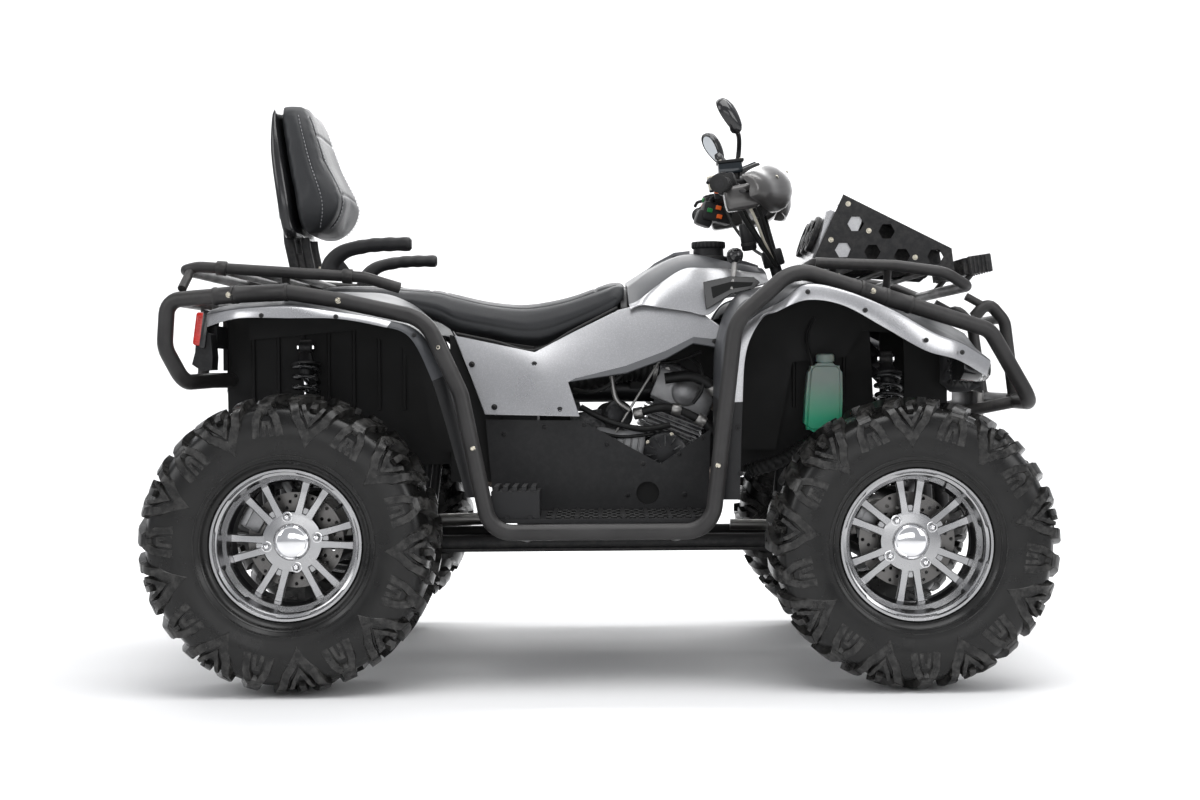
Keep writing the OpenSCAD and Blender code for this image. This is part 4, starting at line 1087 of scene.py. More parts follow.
def tread_line(w):
    """Stations of the carcass from the crown's middle to the lower sidewall: radius, distance from the middle."""
    r, h = w.r, w.half
    lug = bpy.context.scene.quad_wheels.lug_height * 1000
    outer = [
        (1.0, 0), (0.999, 0.2), (0.985, 0.6), (0.955, 0.84), (0.90, 0.944), (0.82, 0.994), (0.72, 1.0), (0.62, 0.95)
    ]
    sink = [1.0, 1.0, 0.97, 0.85, 0.62, 0.30, 0.10, 0.0]
    return [
        (a * r - s * lug * (1 if k < 4 else 0.55), b * h - (0 if k < 3 else s * lug * 0.45)) for k,
        ((a, b), s) in enumerate(zip(outer, sink))
    ]


def station(line, t):
    """Place and outward direction, as (radius, across) pairs, at a station between 0 and 7."""
    p = [Vector(q) for q in line]
    i = min(int(t), len(p) - 2)
    f = t - i
    a, b, c, d = (Vector((p[1].x, -p[1].y)) if i == 0 else p[i - 1]), p[i], p[i + 1], p[min(i + 2, len(p) - 1)]
    at = 0.5 * ((2 * b) + (c - a) * f + (2 * a - 5 * b + 4 * c - d) * f * f + (3 * b - a - 3 * c + d) * f**3)
    go = 0.5 * ((c - a) + 2 * (2 * a - 5 * b + 4 * c - d) * f + 3 * (3 * b - a - 3 * c + d) * f * f)
    return at, Vector((go.y, -go.x)).normalized()


LUG_HEIGHTS = [1.0, 1.0, 1.0, 0.92, 0.76, 0.52, 0.34, 0.2]


def lug_bar(shape, line, path, width, lug, side, tall=1.0, steps=3):
    """A raised bar on the tyre along (degrees, station) points."""
    fine = []
    for (a0, t0), (a1, t1) in zip(path, path[1:]):
        fine += [(a0 + (a1 - a0) * k / steps, t0 + (t1 - t0) * k / steps) for k in range(steps)]
    fine.append(path[-1])
    pts = []
    for deg, t in fine:
        q, n = station(line, t)
        a = math.radians(deg)
        up = Vector((math.sin(a), 0, math.cos(a)))
        pts.append((up * q.x + Vector((0, side * q.y, 0)), (up * n.x + Vector((0, side * n.y, 0))).normalized(), t))
    rings = []
    for i, (p, n, t) in enumerate(pts):
        before = (p - pts[i - 1][0]).normalized() if i else None
        after = (pts[i + 1][0] - p).normalized() if i < len(pts) - 1 else None
        go = ((before or after) + (after or before)).normalized()
        s = n.cross(go).normalized()
        open_up = 1.0
        if before and after:
            open_up = 1 / max(0.55, math.cos(before.angle(after) / 2))
        k = min(int(t), 6)
        h = lug * tall * (LUG_HEIGHTS[k] + (LUG_HEIGHTS[k + 1] - LUG_HEIGHTS[k]) * (t - k))
        w = width / 2 * open_up
        rings.append([
            p - s * w * 1.12 - n * 2, p - s * w * 0.88 + n * h, p + s * w * 0.88 + n * h, p + s * w * 1.12 - n * 2
        ])
    shape.skin(rings)


def make_tyre(w):
    sizes = bpy.context.scene.quad_wheels
    line = tread_line(w)
    lug = sizes.lug_height * 1000
    pitch = 360 / sizes.lug_pitches
    part = Shape()
    for side, slip in ((1, 0.0), (-1, pitch * 0.25)):
        u = pitch / 40
        bars = [
            ([(-9.5, 2.7), (-8.0, 3.6), (-6.2, 4.7), (0, 6.0), (6.2, 4.7), (8.0, 3.6), (9.5, 2.7)], 19, 0.95),
            ([(-4.4, 3.5), (-2.9, 4.2), (0, 5.0), (2.9, 4.2), (4.4, 3.5)], 9.5, 1.1),
            ([(13.8, 5.9), (15.6, 4.7), (18.2, 3.9), (21.8, 3.9), (24.4, 4.7), (26.2, 5.9)], 17, 1.05),
            ([(17.9, 5.9), (18.9, 5.0), (21.1, 5.0), (22.1, 5.9)], 9, 1.2),
            ([(20, 4.0), (20, 3.2), (21.5, 2.2), (24.5, 1.0), (25.5, 0.5)], 30, 1.0),
            ([(-9.0, 3.0), (-7.5, 2.2), (-3.5, 1.1), (-2.0, 0.15)], 26, 1.0),
            ([(8.5, 3.0), (9.5, 2.3), (12.0, 1.3)], 24, 1.0),
            ([(0, 3.7), (0, 2.6), (2.6, 1.9)], 15, 0.9),
        ]
        for path, width, tall in bars:
            lug_bar(part, line, [((a + slip) * u, t) for a, t in path], width * w.r / 320, lug, side, tall)
    tread = grown("ring", part, Count=sizes.lug_pitches, Start=w.start + 0.12, Material=finish("tyre rubber"))
    s = Shape()
    fine = [station(line, k / 3)[0] for k in range(0, 22)]
    outer = [(q.x, q.y) for q in fine]
    r0, h0 = outer[-1]
    lip, bead = w.lip, w.out
    # rings moulded in the lower sidewall, down to the bead
    wall = [
        (0.90, 0.3), (0.80, 0.55), (0.78, 1.9), (0.70, 2.1), (0.68, 0.9), (0.42, 0.9), (0.40, 2.3), (0.32, 2.5),
        (0.30, 1.0)
    ]
    down = [
        (lip + 6 + (r0 - lip - 6) * k, bead + 1.5 + (h0 - bead - 1.5) * math.sin(k * math.pi / 2) + rise) for k,
        rise in wall
    ]
    rim_line = [
        (lip + 7, bead + 2.5), (lip + 3.0, bead + 1.0), (lip + 0.8, bead - 3), (lip - 3, bead - 8.5),
        (w.lip - 13.5, bead - 14)
    ]
    half = outer + down + rim_line
    loop = [(r, b) for r, b in half] + [(r, -b) for r, b in reversed(half)][:-1]
    s.turn(loop, (0, 0, 0), (0, 1, 0), 108, closed=True)
    s.add_mesh(tread)
    # nothing stands past the tyre's own size
    for k, p in enumerate(s.points):
        r = math.hypot(p.x, p.z)
        q = min(1.0, w.r / r) if r else 1.0
        s.points[k] = Vector((p.x * q, max(-w.half, min(w.half, p.y)), p.z * q))
    s.points = [w.place(p) for p in s.points]
    s.made(f"tyre_{w.name}_moulded", w.body, ["tyre rubber"], "rubber_tyre", [f"tyre_{w.name}"], angle=32, merge=0.02)


def make_rim(w):
    sizes = bpy.context.scene.quad_wheels
    s = Shape()
    lip, out, back = w.lip, w.out, w.back
    face = out - 88  # the spokes' face lies this far outboard of the tyre's middle plane
    n = 144
    per = 2 * math.pi / sizes.spokes

    def from_spoke(a):
        return abs((a - w.start + per / 2) % per - per / 2)

    # barrel and lips; the wall between the spokes is a black pocket
    profile = [
        (lip, out - 5), (lip, out - 1.5), (lip - 1.5, out), (lip - 6.5, out), (lip - 8, out - 1.6), (lip - 10.5, out - 9), (lip - 14, out - 26),
        (lip - 21, out - 54), (lip - 29, face + 14), (lip - 32, face + 4), (lip - 31, face - 12),
        (lip - 30, -back + 46), (lip - 20, -back + 34), (lip - 19, -back + 12), (lip - 8, -back + 1), (lip - 1, -back), (lip, -back + 6),
        (lip - 14, -back + 12), (lip - 14, -back + 36), (lip - 26, -back + 46), (lip - 26, out - 54), (lip - 14, out - 40), (lip - 14, out - 13),
    ]
    rows, kinds = [], {}
    for i, (r, b) in enumerate(profile + [profile[0]]):
        row = []
        for k in range(n):
            a = 2 * math.pi * k / n
            dark = from_spoke(a) > 0.262 + 0.02 * max(0, min(1, (b - face) / 80))
            rr = r + (2.6 if dark and 4 <= i <= 8 else 0)
            row.append(Vector((rr * math.cos(a), b, rr * math.sin(a))))
            kinds[(i, k)] = dark
        rows.append(row)
    s.grid(
        rows,
        lambda i, k: 1 if (4 <= i <= 8 and kinds[(i, k)] and kinds[(i, (k + 1) % n)]) or 9 <= i <= 12 else 0, closed=True
    )
    # split spokes
    for k in range(sizes.spokes):
        a = w.start + k * per
        u, v = Vector((math.cos(a), 0, math.sin(a))), Vector((-math.sin(a), 0, math.cos(a)))
        for q in (-1, 1):
            rings = []
            for r, off, wide, top, thick in (
                (30, 8, 9, 10, 20), (52, 10.5, 9.5, 9.5, 17), (76, 14, 8.4, 8, 15), (104, 18.5, 8.0, 6.5, 15),
                (lip - 31, 23, 9.2, 6, 17), (lip - 26, 24, 10.5, 7, 20)
            ):
                c = u * r + v * (q * off)
                ring = []
                for x, y in (
                    (-wide, top - thick), (-wide, top - 2.2), (-wide + 1.6, top), (wide - 1.6, top),
                    (wide, top - 2.2), (wide, top - thick)
                ):
                    ring.append(c + v * x + Vector((0, face + y, 0)))
                rings.append(ring)
            s.skin(rings, lambda i, j: 1 if j in (0, 4, 5) else 0)
        # web between the two arms, near the hub
        s.skin(
            [
                [
                    u * r + v * x + Vector((0, face + y, 0)) for x, y in ((-wd, -4), (-wd, 4.6), (wd, 4.6), (wd, -4))
                ] for r,
                wd in ((40, 14), (64, 9), (78, 4))
            ], 0
        )
    # hub with its cap and nuts
    s.turn(
        [
            (0, -14), (34, -14), (46, -9), (64, -6), (67, 3), (64, 8.4), (58, 9.6), (43, 10.4), (40, 10.8), (39, 12),
            (0, 12)
        ],
        (0, face, 0), (0, 1, 0), 60
    )
    s.turn(
        [(38.5, 10), (38.5, 14), (36.5, 17.5), (33, 19.5), (31, 18.6), (26, 20.6), (16, 22.2), (0, 22.8), (0, 10)],
        (0, face, 0), (0, 1, 0), 60, kind=2
    )
    nuts = Shape()
    c = sizes.stud_circle * 500
    nuts.turn([(10.4, -1), (11.4, 2.2), (10.2, 2.4), (9.6, 0.6), (0, 0.6)], (c, 8, 0), (0, 1, 0), 20)
    nuts.turn([(8.6, 0), (8.6, 9), (6.6, 12.5), (3.4, 14.6), (0, 15.2)], (c, 8, 0), (0, 1, 0), 6)
    four = grown("ring", nuts, Count=4, Start=-w.start - 0.07, Material=finish("chrome"))
    s.add_mesh(four, 2, lambda p: p + Vector((0, face, 0)))
    # valve stem
    a = w.start + per * 0.5
    s.turn(
        [(0, 0), (3.4, 0), (3.4, 14), (2.6, 15), (2.6, 26), (3.6, 26.5), (3.6, 35), (0, 35.6)],
        (math.cos(a) * (lip - 26), face + 22, math.sin(a) * (lip - 26)),
        (-math.cos(a) * 0.35, 0.94, -math.sin(a) * 0.35), 10, kind=3
    )
    # carrier and drilled brake disc inboard of the face
    s.turn(
        [(0, -14), (40, -14), (40, -40), (56, -41), (56, -46), (42, -47), (42, -52), (0, -52)], (0, face, 0),
        (0, 1, 0), 40, kind=4
    )
    s.points = [w.place(p) for p in s.points]
    o = s.made(
        f"rim_{w.name}_cast", w.body, ["machined alloy", "rim black", "chrome", "hose rubber", "engine black"],
        "rim_alloy", [f"rim_{w.name}"], angle=28
    )
    radius_of(o, w)
    ring = Shape()
    ring.turn([(104, -42), (52, -42), (52, -47), (104, -47)], (0, face, 0), (0, 1, 0), 72, closed=True)
    holes = Shape()
    for k, (r, deg) in enumerate(((96, 0), (84, 8), (72, 16))):
        a = math.radians(deg)
        holes.turn(
            [(0, -5), (4.2, -5), (4.2, 5), (0, 5)], (r * math.cos(a), face - 44.5, r * math.sin(a)), (0, 1, 0), 12
        )
    drill = grown("ring", holes, Count=16, Start=0.0, Material=finish("disc steel"))
    cut = Shape()
    cut.add_mesh(drill)
    cut.points = [w.place(p) for p in cut.points]
    ring.points = [w.place(p) for p in ring.points]
    tool = cut.made(f"drill_{w.name}", w.body, ["disc steel"])
    disc = ring.made(f"disc_{w.name}", w.body, ["disc steel"], "rim_alloy")
    m = disc.modifiers.new("Holes", "BOOLEAN")
    m.object, m.operation, m.solver = tool, "DIFFERENCE", "EXACT"
    bake(disc)
    bpy.data.objects.remove(tool)
    disc.data.set_sharp_from_angle(angle=math.radians(30))
    radius_of(disc, w)


def radius_of(o, w):
    """Stores each point's distance from the wheel's axle, for the turned finish."""
    c = metres(w.centre)
    a = o.data.attributes.new("radius", "FLOAT", "POINT")
    a.data.foreach_set("value", [math.hypot(v.co.x - c.x, v.co.z - c.z) for v in o.data.vertices])


# ---------- body panels ----------

FRONT_FENDER = [
    [(298, -478, 404), (262, -474, 404), (256, -440, 404), (255, -340, 404), (254, -244, 404)],
    [(304, -480, 595), (262, -476, 592), (256, -440, 596), (256, -340, 602), (256, -244, 604)],
    [(313, -480, 720), (268, -474, 728), (264, -440, 735), (262, -340, 742), (262, -244, 744)],
    [(346, -484, 790), (332, -472, 796), (306, -440, 826), (300, -340, 838), (300, -240, 842)],
    [(378, -500, 806), (392, -492, 830), (374, -440, 850), (372, -340, 864), (370, -234, 872)],
    [(438, -522, 829), (440, -516, 864), (440, -450, 868), (440, -340, 890), (440, -228, 900)],
    [(514, -532, 817), (524, -526, 848), (520, -450, 846), (520, -340, 876), (520, -226, 896)],
    [(605, -532, 767), (624, -524, 806), (620, -450, 808), (618, -340, 836), (616, -226, 868)],
    [(690, -524, 720), (708, -514, 760), (704, -440, 766), (700, -340, 796), (698, -226, 836)],
    [(762, -502, 700), (774, -492, 736), (770, -430, 744), (764, -340, 764), (760, -226, 802)],
    [(836, -440, 664), (848, -430, 698), (844, -396, 708), (838, -320, 726), (832, -226, 762)],
]
REAR_FENDER = [
    [(-852, -430, 785), (-854, -424, 812), (-854, -390, 822), (-854, -300, 832), (-854, -204, 838)],
    [(-772, -490, 801), (-772, -484, 822), (-772, -430, 828), (-772, -300, 846), (-772, -204, 858)],
    [(-660, -508, 800), (-660, -500, 826), (-660, -440, 832), (-660, -320, 852), (-660, -204, 868)],
    [(-560, -510, 798), (-558, -502, 814), (-558, -446, 812), (-560, -320, 846), (-560, -204, 868)],
    [(-470, -510, 782), (-464, -502, 798), (-466, -450, 790), (-470, -330, 826), (-470, -206, 858)],
    [(-408, -500, 760), (-388, -482, 770), (-386, -440, 776), (-386, -330, 792), (-388, -236, 806)],
    [(-368, -480, 684), (-342, -470, 696), (-340, -440, 700), (-338, -340, 706), (-346, -280, 708)],
    [(-338, -472, 590), (-312, -462, 598), (-310, -436, 602), (-306, -340, 606), (-306, -276, 606)],
    [(-290, -468, 412), (-266, -460, 412), (-262, -436, 412), (-258, -340, 412), (-258, -248, 412)],
]
TANK = [
    [(70, -224, 824), (66, -200, 836), (63, -90, 882), (61, 0, 894)],
    [(92, -224, 834), (86, -200, 843), (74, -90, 888), (70, 0, 900)],
    [(140, -224, 827), (136, -200, 882), (122, -90, 922), (120, 0, 931)],
    [(200, -224, 818), (193, -195, 917), (180, -90, 950), (178, 0, 958)],
    [(250, -224, 811), (246, -192, 919), (232, -90, 954), (228, 0, 963)],
    [(300, -224, 860), (296, -192, 917), (300, -90, 938), (302, 0, 946)],
    [(350, -222, 872), (346, -190, 909), (348, -90, 930), (350, 0, 937)],
    [(386, -220, 884), (384, -188, 905), (384, -90, 922), (384, 0, 928)],
]


def rounded(points, d):
    """Points of a line with its corners rounded off over a distance; it has as many points whatever the angles."""
    p = [Vector(q) for q in points]
    out = [p[0]]
    for i in range(1, len(p) - 1):
        a = p[i] + (p[i - 1] - p[i]).normalized() * min(d, (p[i - 1] - p[i]).length * 0.4)
        b = p[i] + (p[i + 1] - p[i]).normalized() * min(d, (p[i + 1] - p[i]).length * 0.4)
        out += [a, (a + 2 * p[i] + b) / 4, b]
    return out + [p[-1]]


def smooth_rows(rows, steps, d):
    columns = [smooth_line([r[j] for r in rows], steps) for j in range(len(rows[0]))]
    return [rounded([c[i] for c in columns], d) for i in range(len(columns[0]))]


def make_fenders():
    for name, control, under in (
        ("front_fender", FRONT_FENDER, (540, -350, 500)), ("rear_fender", REAR_FENDER, (-560, -350, 500))
    ):
        rows = smooth_rows(control, 8, 7)
        front = name == "front_fender"

        def kind(i, j):
            if front:
                return 2 if i < 9 else (0 if j < 2 else 1)
            return 2 if i >= 50 else (0 if j < 2 and i < 34 else 1)

        s = Shape()
        # the lip turns in below the arch
        rows = [[r[0] + Vector((0, 12, 1.5)), r[0] + Vector((0, 2.2, -0.4)), *r] for r in rows]
        s.grid(rows, lambda i, j: kind(i, j - 2) if j > 1 else kind(i, 0))
        for side, shape in (("right", s), ("left", s.other())):
            hint = under if side == "right" else mirrored(under)
            shape.made(
                f"{name}_{side}_panel", "chassis", ["silver paint", "satin panel", "black plastic"], "silver_paint",
                [f"{name}_{side}"], angle=30, wall=4, away_from=hint, edge=0.8,
            )
    # screws on the fenders
    for p, n in (
        ((-560, -511, 802), (0, -1, 0.1)), ((-720, -502, 806), (0, -1, 0.1)), ((-395, -497, 762), (-0.3, -1, 0.2)),
        (
            (296, -482.5, 560), (0.1, -1, 0)
        ), ((300, -482.5, 460), (0.1, -1, 0)), ((690, -526, 742), (0, -1, 0)), ((770, -506, 716), (0.1, -1, 0)),
        ((560, -537, 806), (0, -1, 0)), ((440, -527, 846), (0, -1, 0)),
    ):
        bolt_both("chassis", p, n, 0.62, "bolt", "frame coat")


def make_side_panels():
    def at(x, z, out):
        return Vector((x, -272.0 + (z - 577) * 0.268 - out, z))

    p = {
        "a": (-334, 767, 0), "b": (-150, 727, 3), "c": (-62, 702, 7), "d": (-117, 663, 13), "e": (-47, 580, 3), "f": (-262, 586, 0), "f2": (-296, 676, 0),
        "g": (-73, 658, 9), "g2": (-58, 666, 4), "w": (60, 678, 9), "w2": (58, 694, 1), "v": (150, 710, 8), "v2": (148, 727, 1), "h": (212, 744, 6),
        "h2": (214, 759, 0), "i": (281, 732, 3), "i2": (276, 752, 0), "n": (286, 775, 0), "m": (236, 813, 2), "l": (86, 833, 3), "k": (44, 823, 3), "j": (-60, 773, 2),
        "r1": (20, 768, 5), "r2": (150, 786, 5), "u": (-47, 678, 4),
    }
    at_point = {k: at(*v) for k, v in p.items()}
    silver = [
        "f f2 d e", "f2 a d", "a b d", "b c d", "d c g", "d g e", "b j r1 c", "j k r1", "k l r2 r1", "l m r2",
        "m n h2 r2", "n i2 h2"
    ]
    silver += ["c r1 w2 u", "r1 r2 v2 w2", "r2 h2 v2", "g c u g2", "g2 u w2"]
    # the dark faces are the window's top bevel, a strip of the silver surface given the dark satin finish as painted
    # shade
    dark = ["g g2 w2 w", "w w2 v2 v", "v v2 h2 h", "h h2 i2 i"]
    names = list(p)
    s = Shape()
    s.add(
        [at_point[k] for k in names], [[names.index(q) for q in f.split()] for f in silver + dark],
        [0] * len(silver) + [1] * len(dark)
    )
    for side, shape in (("right", s), ("left", s.other())):
        shape.made(
            f"side_panel_{side}", "chassis", ["silver paint", "satin panel"], "silver_paint", ["side_panels"] if side == "right" else [],
            angle=12, wall=4, away_from=(0, 0, 700), edge=1.6,
        )
    for x, z in ((-292, 700), (-150, 699), (-92, 596), (-240, 603), (262, 748)):
        bolt_both("chassis", at(x, z, 6.5 if x < -100 else 3), (0, -1, -0.27), 0.8, "bolt", "frame coat")
    # seal along the seat
    rim = Shape()
    rim.sweep(
        smooth_line([at(-330, 771, -3), at(-240, 752, -4), at(-150, 731, -4), at(-60, 777, -4), at(40, 828, -4)], 8),
        3.2, 8
    )
    rim.both()
    rim.made("seat_seal", "chassis", ["hose rubber"])


def make_tank():
    rows = smooth_rows(TANK, 6, 10)
    s = Shape()
    full = [r + [Vector(mirrored(q)) for q in reversed(r[:-1])] for r in rows]
    m = len(full[0])
    s.grid(full, lambda i, j: 0 if j < 2 or j >= m - 3 else 1)
    s.made(
        "tank_shell", "chassis", ["silver paint", "satin panel"], "silver_paint", ["tank_cover"], angle=24, wall=4,
        away_from=(230, 0, 800), edge=1.2
    )
    # dark wall that closes the gap between the tank and the seat; its black stands in for the shadow in the gap, as
    # painted shade
    f = Shape()
    f.plate(
        [(-205, 800), (-194, 830), (-88, 874), (0, 886), (88, 874), (194, 830), (205, 800)],
        lambda u, v, d: (48 + d, u, v), 16, 0.8
    )
    f.made("tank_rear_wall", "chassis", ["black plastic"])
    # raised spine, neck and ribbed cap
    c = Shape()
    c.skin(
        [
            [(x, -w, z - 2), (x, -w + 6, z + h), (x, w - 6, z + h), (x, w, z - 2)] for x, z, w,
            h in ((92, 905, 20, 2), (130, 934, 34, 5), (178, 958, 44, 6), (215, 962, 46, 6))
        ],
        1,
    )
    c.skin(
        [
            [(x, -w, z - 3), (x, -w + 6, z + h), (x, w - 6, z + h), (x, w, z - 3)] for x, z, w,
            h in ((305, 946, 40, 5), (350, 937, 34, 6), (380, 929, 26, 4))
        ],
        1
    )
    c.turn([(48, -6), (48, 4), (44, 8), (37, 9), (36, 30), (0, 30)], (262, 0, 948), (0, 0, 1), 48, 2)
    cap = []
    for r, h, deep in (
        (36, 26, 0), (39, 27, 1), (41, 30, 1), (41, 40, 1), (39.5, 43, 0), (30, 44, 0), (28, 41.5, 0), (8, 41.5, 0),
        (0.01, 41.5, 0)
    ):
        ring = []
        for k in range(96):
            a = 2 * math.pi * k / 96
            rr = r - (1.6 if deep and k % 4 > 1 else 0)
            ring.append(Vector((262 + rr * math.cos(a), rr * math.sin(a), 948 + h)))
        cap.append(ring)
    c.skin(cap, 2)
    c.block((262, 0, 990.5), (52, 11, 2.4), edge=1, kind=2)
    c.made("tank_cap", "chassis", ["satin panel", "satin panel", "black plastic"], "grey_satin", angle=32)
    # dark pocket with the gear lever
    g = Shape()
    g.plate(
        [(243, 820), (300, 856), (352, 868), (366, 882), (352, 894), (296, 896), (236, 884)],
        lambda u, v, d: (u, -226 - d, v), 5, 1.2, 0
    )
    g.plate(
        [(258, 846), (302, 868), (346, 874), (350, 882), (300, 884), (254, 872)],
        lambda u, v, d: (u, -231.5 - d, v), 2, 0.6, 2
    )
    g.sweep(smooth_line([(300, -228, 866), (306, -222, 900), (311, -204, 936)], 6), 6.5, 12, 1)
    g.skin(
        [
            [Vector((311 + q[0], -202 + q[1], 0)) + Vector((0, 0, z)) for q in ((
                r * math.cos(a), r * math.sin(a)
            ) for a in (2 * math.pi * k / 20 for k in range(20)))]
            for z, r in ((926, 6), (929, 12), (935, 17), (943, 19.5), (951, 19), (958, 15), (962, 8), (963, 2))
        ],
        0,
    )
    g.made("gear_lever", "chassis", ["gloss plastic", "steel", "liner plastic"], "black_plastic", angle=40)


# ---------- tubes ----------

GUARD = [
    (-790, -432, 854), (-675, -445, 858), (-568, -455, 840), (-373, -480, 797), (-297, -500, 635), (-236, -512, 340),
    (235, -512, 340), (289, -500, 786), (417, -480, 898.6), (616, -435, 838.5),
]


def sleeve(s, a, b, r, kind=0):
    """A joint sleeve with raised ends round a straight run of tube."""
    a, b = Vector(a), Vector(b)
    l = (b - a).length
    s.turn(
        [
            (r - 2, 0), (r + 1.8, 0), (r + 2.6, 1.5), (r + 2.6, 7), (r + 1.2, 9), (r + 1.2, l - 9), (r + 2.6, l - 7),
            (r + 2.6, l - 1.5), (r + 1.8, l), (r - 2, l)
        ],
        a, b - a, 28, kind
    )


def clamp(s, p, direction, r, kind=0):
    d = Vector(direction).normalized()
    s.turn([(r - 2, -11), (r + 3, -11), (r + 4, -9.5), (r + 4, 9.5), (r + 3, 11), (r - 2, 11)], p, d, 24, kind)


def make_guards():
    r = 17.5
    s = Shape()
    line = bent_line(GUARD, [0, 60, 90, 86, 70, 58, 62, 92, 80, 0])
    s.sweep(line, r, 22)
    for a, b in ((GUARD[0], (-672, -445, 858)), ((560, -447.5, 855.4), (616, -435, 838.5))):
        sleeve(s, a, b, r)
    # gussets where the guard meets the footboard
    for x, y in ((-206, -494), (205, -494)):
        s.block((x, y + 6, 338), (46, 40, 6), edge=1.5)
    for side, shape in (("right", s), ("left", s.other())):
        shape.made(
            f"side_guard_{side}_tube", "chassis", ["tube coat"], "black_tube", [f"side_guard_{side}"], angle=40
        )
    for p, n in (
        ((-560, -473, 838), (-0.05, -1, 0.1)), ((-344, -503, 735), (0, -1, 0)), ((250, -524, 480), (0, -1, 0)),
        ((-272, -520.5, 520), (0, -1, 0)), ((588, -460, 850), (0, -1, 0.2))
    ):
        bolt_both("chassis", p, n, 0.8, "bolt", "zinc")
    f = Shape()
    path = [GUARD[-1], (856, -380, 766), (958, -330, 606)]
    f.sweep(bent_line(path + [mirrored(q) for q in reversed(path)], 50), r, 22)
    for sy in (-1, 1):
        f.sweep(
            bent_line(
                [(862, sy * 190, 800), (893, sy * 190, 836), (934, sy * 180, 790), (958, sy * 170, 606)],
                [0, 28, 40, 0]
            ),
            14, 18
        )
        f.sweep([Vector((958, sy * 200, 606)), Vector((812, sy * 140, 575))], 14, 18)
        f.sweep([Vector((886, sy * 190, 824)), Vector((843, sy * 190, 848))], 9, 12)
        sleeve(f, (616, sy * 435, 838.5), (676, sy * 421.3, 820.4), r)
        clamp(f, (956, sy * 170, 612), (0.1, 0, -1), 13)
    f.sweep([Vector((930, -184, 796)), Vector((930, 184, 796))], 11, 16)
    f.made("front_bumper_tube", "chassis", ["tube coat"], "black_tube", ["front_bumper"], angle=40)
    # red tow hooks
    h = Shape()
    for sy in (-1, 1):
        h.turn(
            [(11, -5), (20, -5), (21.5, -3), (21.5, 3), (20, 5), (11, 5), (9.6, 0)], (850, sy * 152, 558), (0, 1, 0),
            32, closed=True
        )
        h.block((826, sy * 152, 572), (36, 10, 26), (0, 25, 0), 2)
    h.made("tow_hooks", "chassis", ["hook red"], "black_tube")
    b = Shape()
    for sy in (-1, 1):
        path = [
            (-790, sy * 432, 854), (-945, sy * 400, 844), (-952, sy * 400, 741), (-918, sy * 370, 664),
            (-880, sy * 250, 668), (-830, sy * 112, 668)
        ]
        b.sweep(bent_line(path, [0, 34, 60, 44, 40, 0]), r, 22)
        b.sweep([Vector((-905, sy * 240, 666)), Vector((-895, sy * 240, 836))], 13, 16)
        sleeve(b, (-790, sy * 432, 854), (-838, sy * 422.1, 850.9), r)
        bolt("chassis", (-800, sy * 449, 853), (0, sy, 0), 0.8, "bolt", "zinc")
    b.sweep([Vector((-930, -392, 846)), Vector((-930, 392, 846))], 15, 18)
    b.made("rear_bumper_tube", "chassis", ["tube coat"], "black_tube", ["rear_bumper"], angle=40)


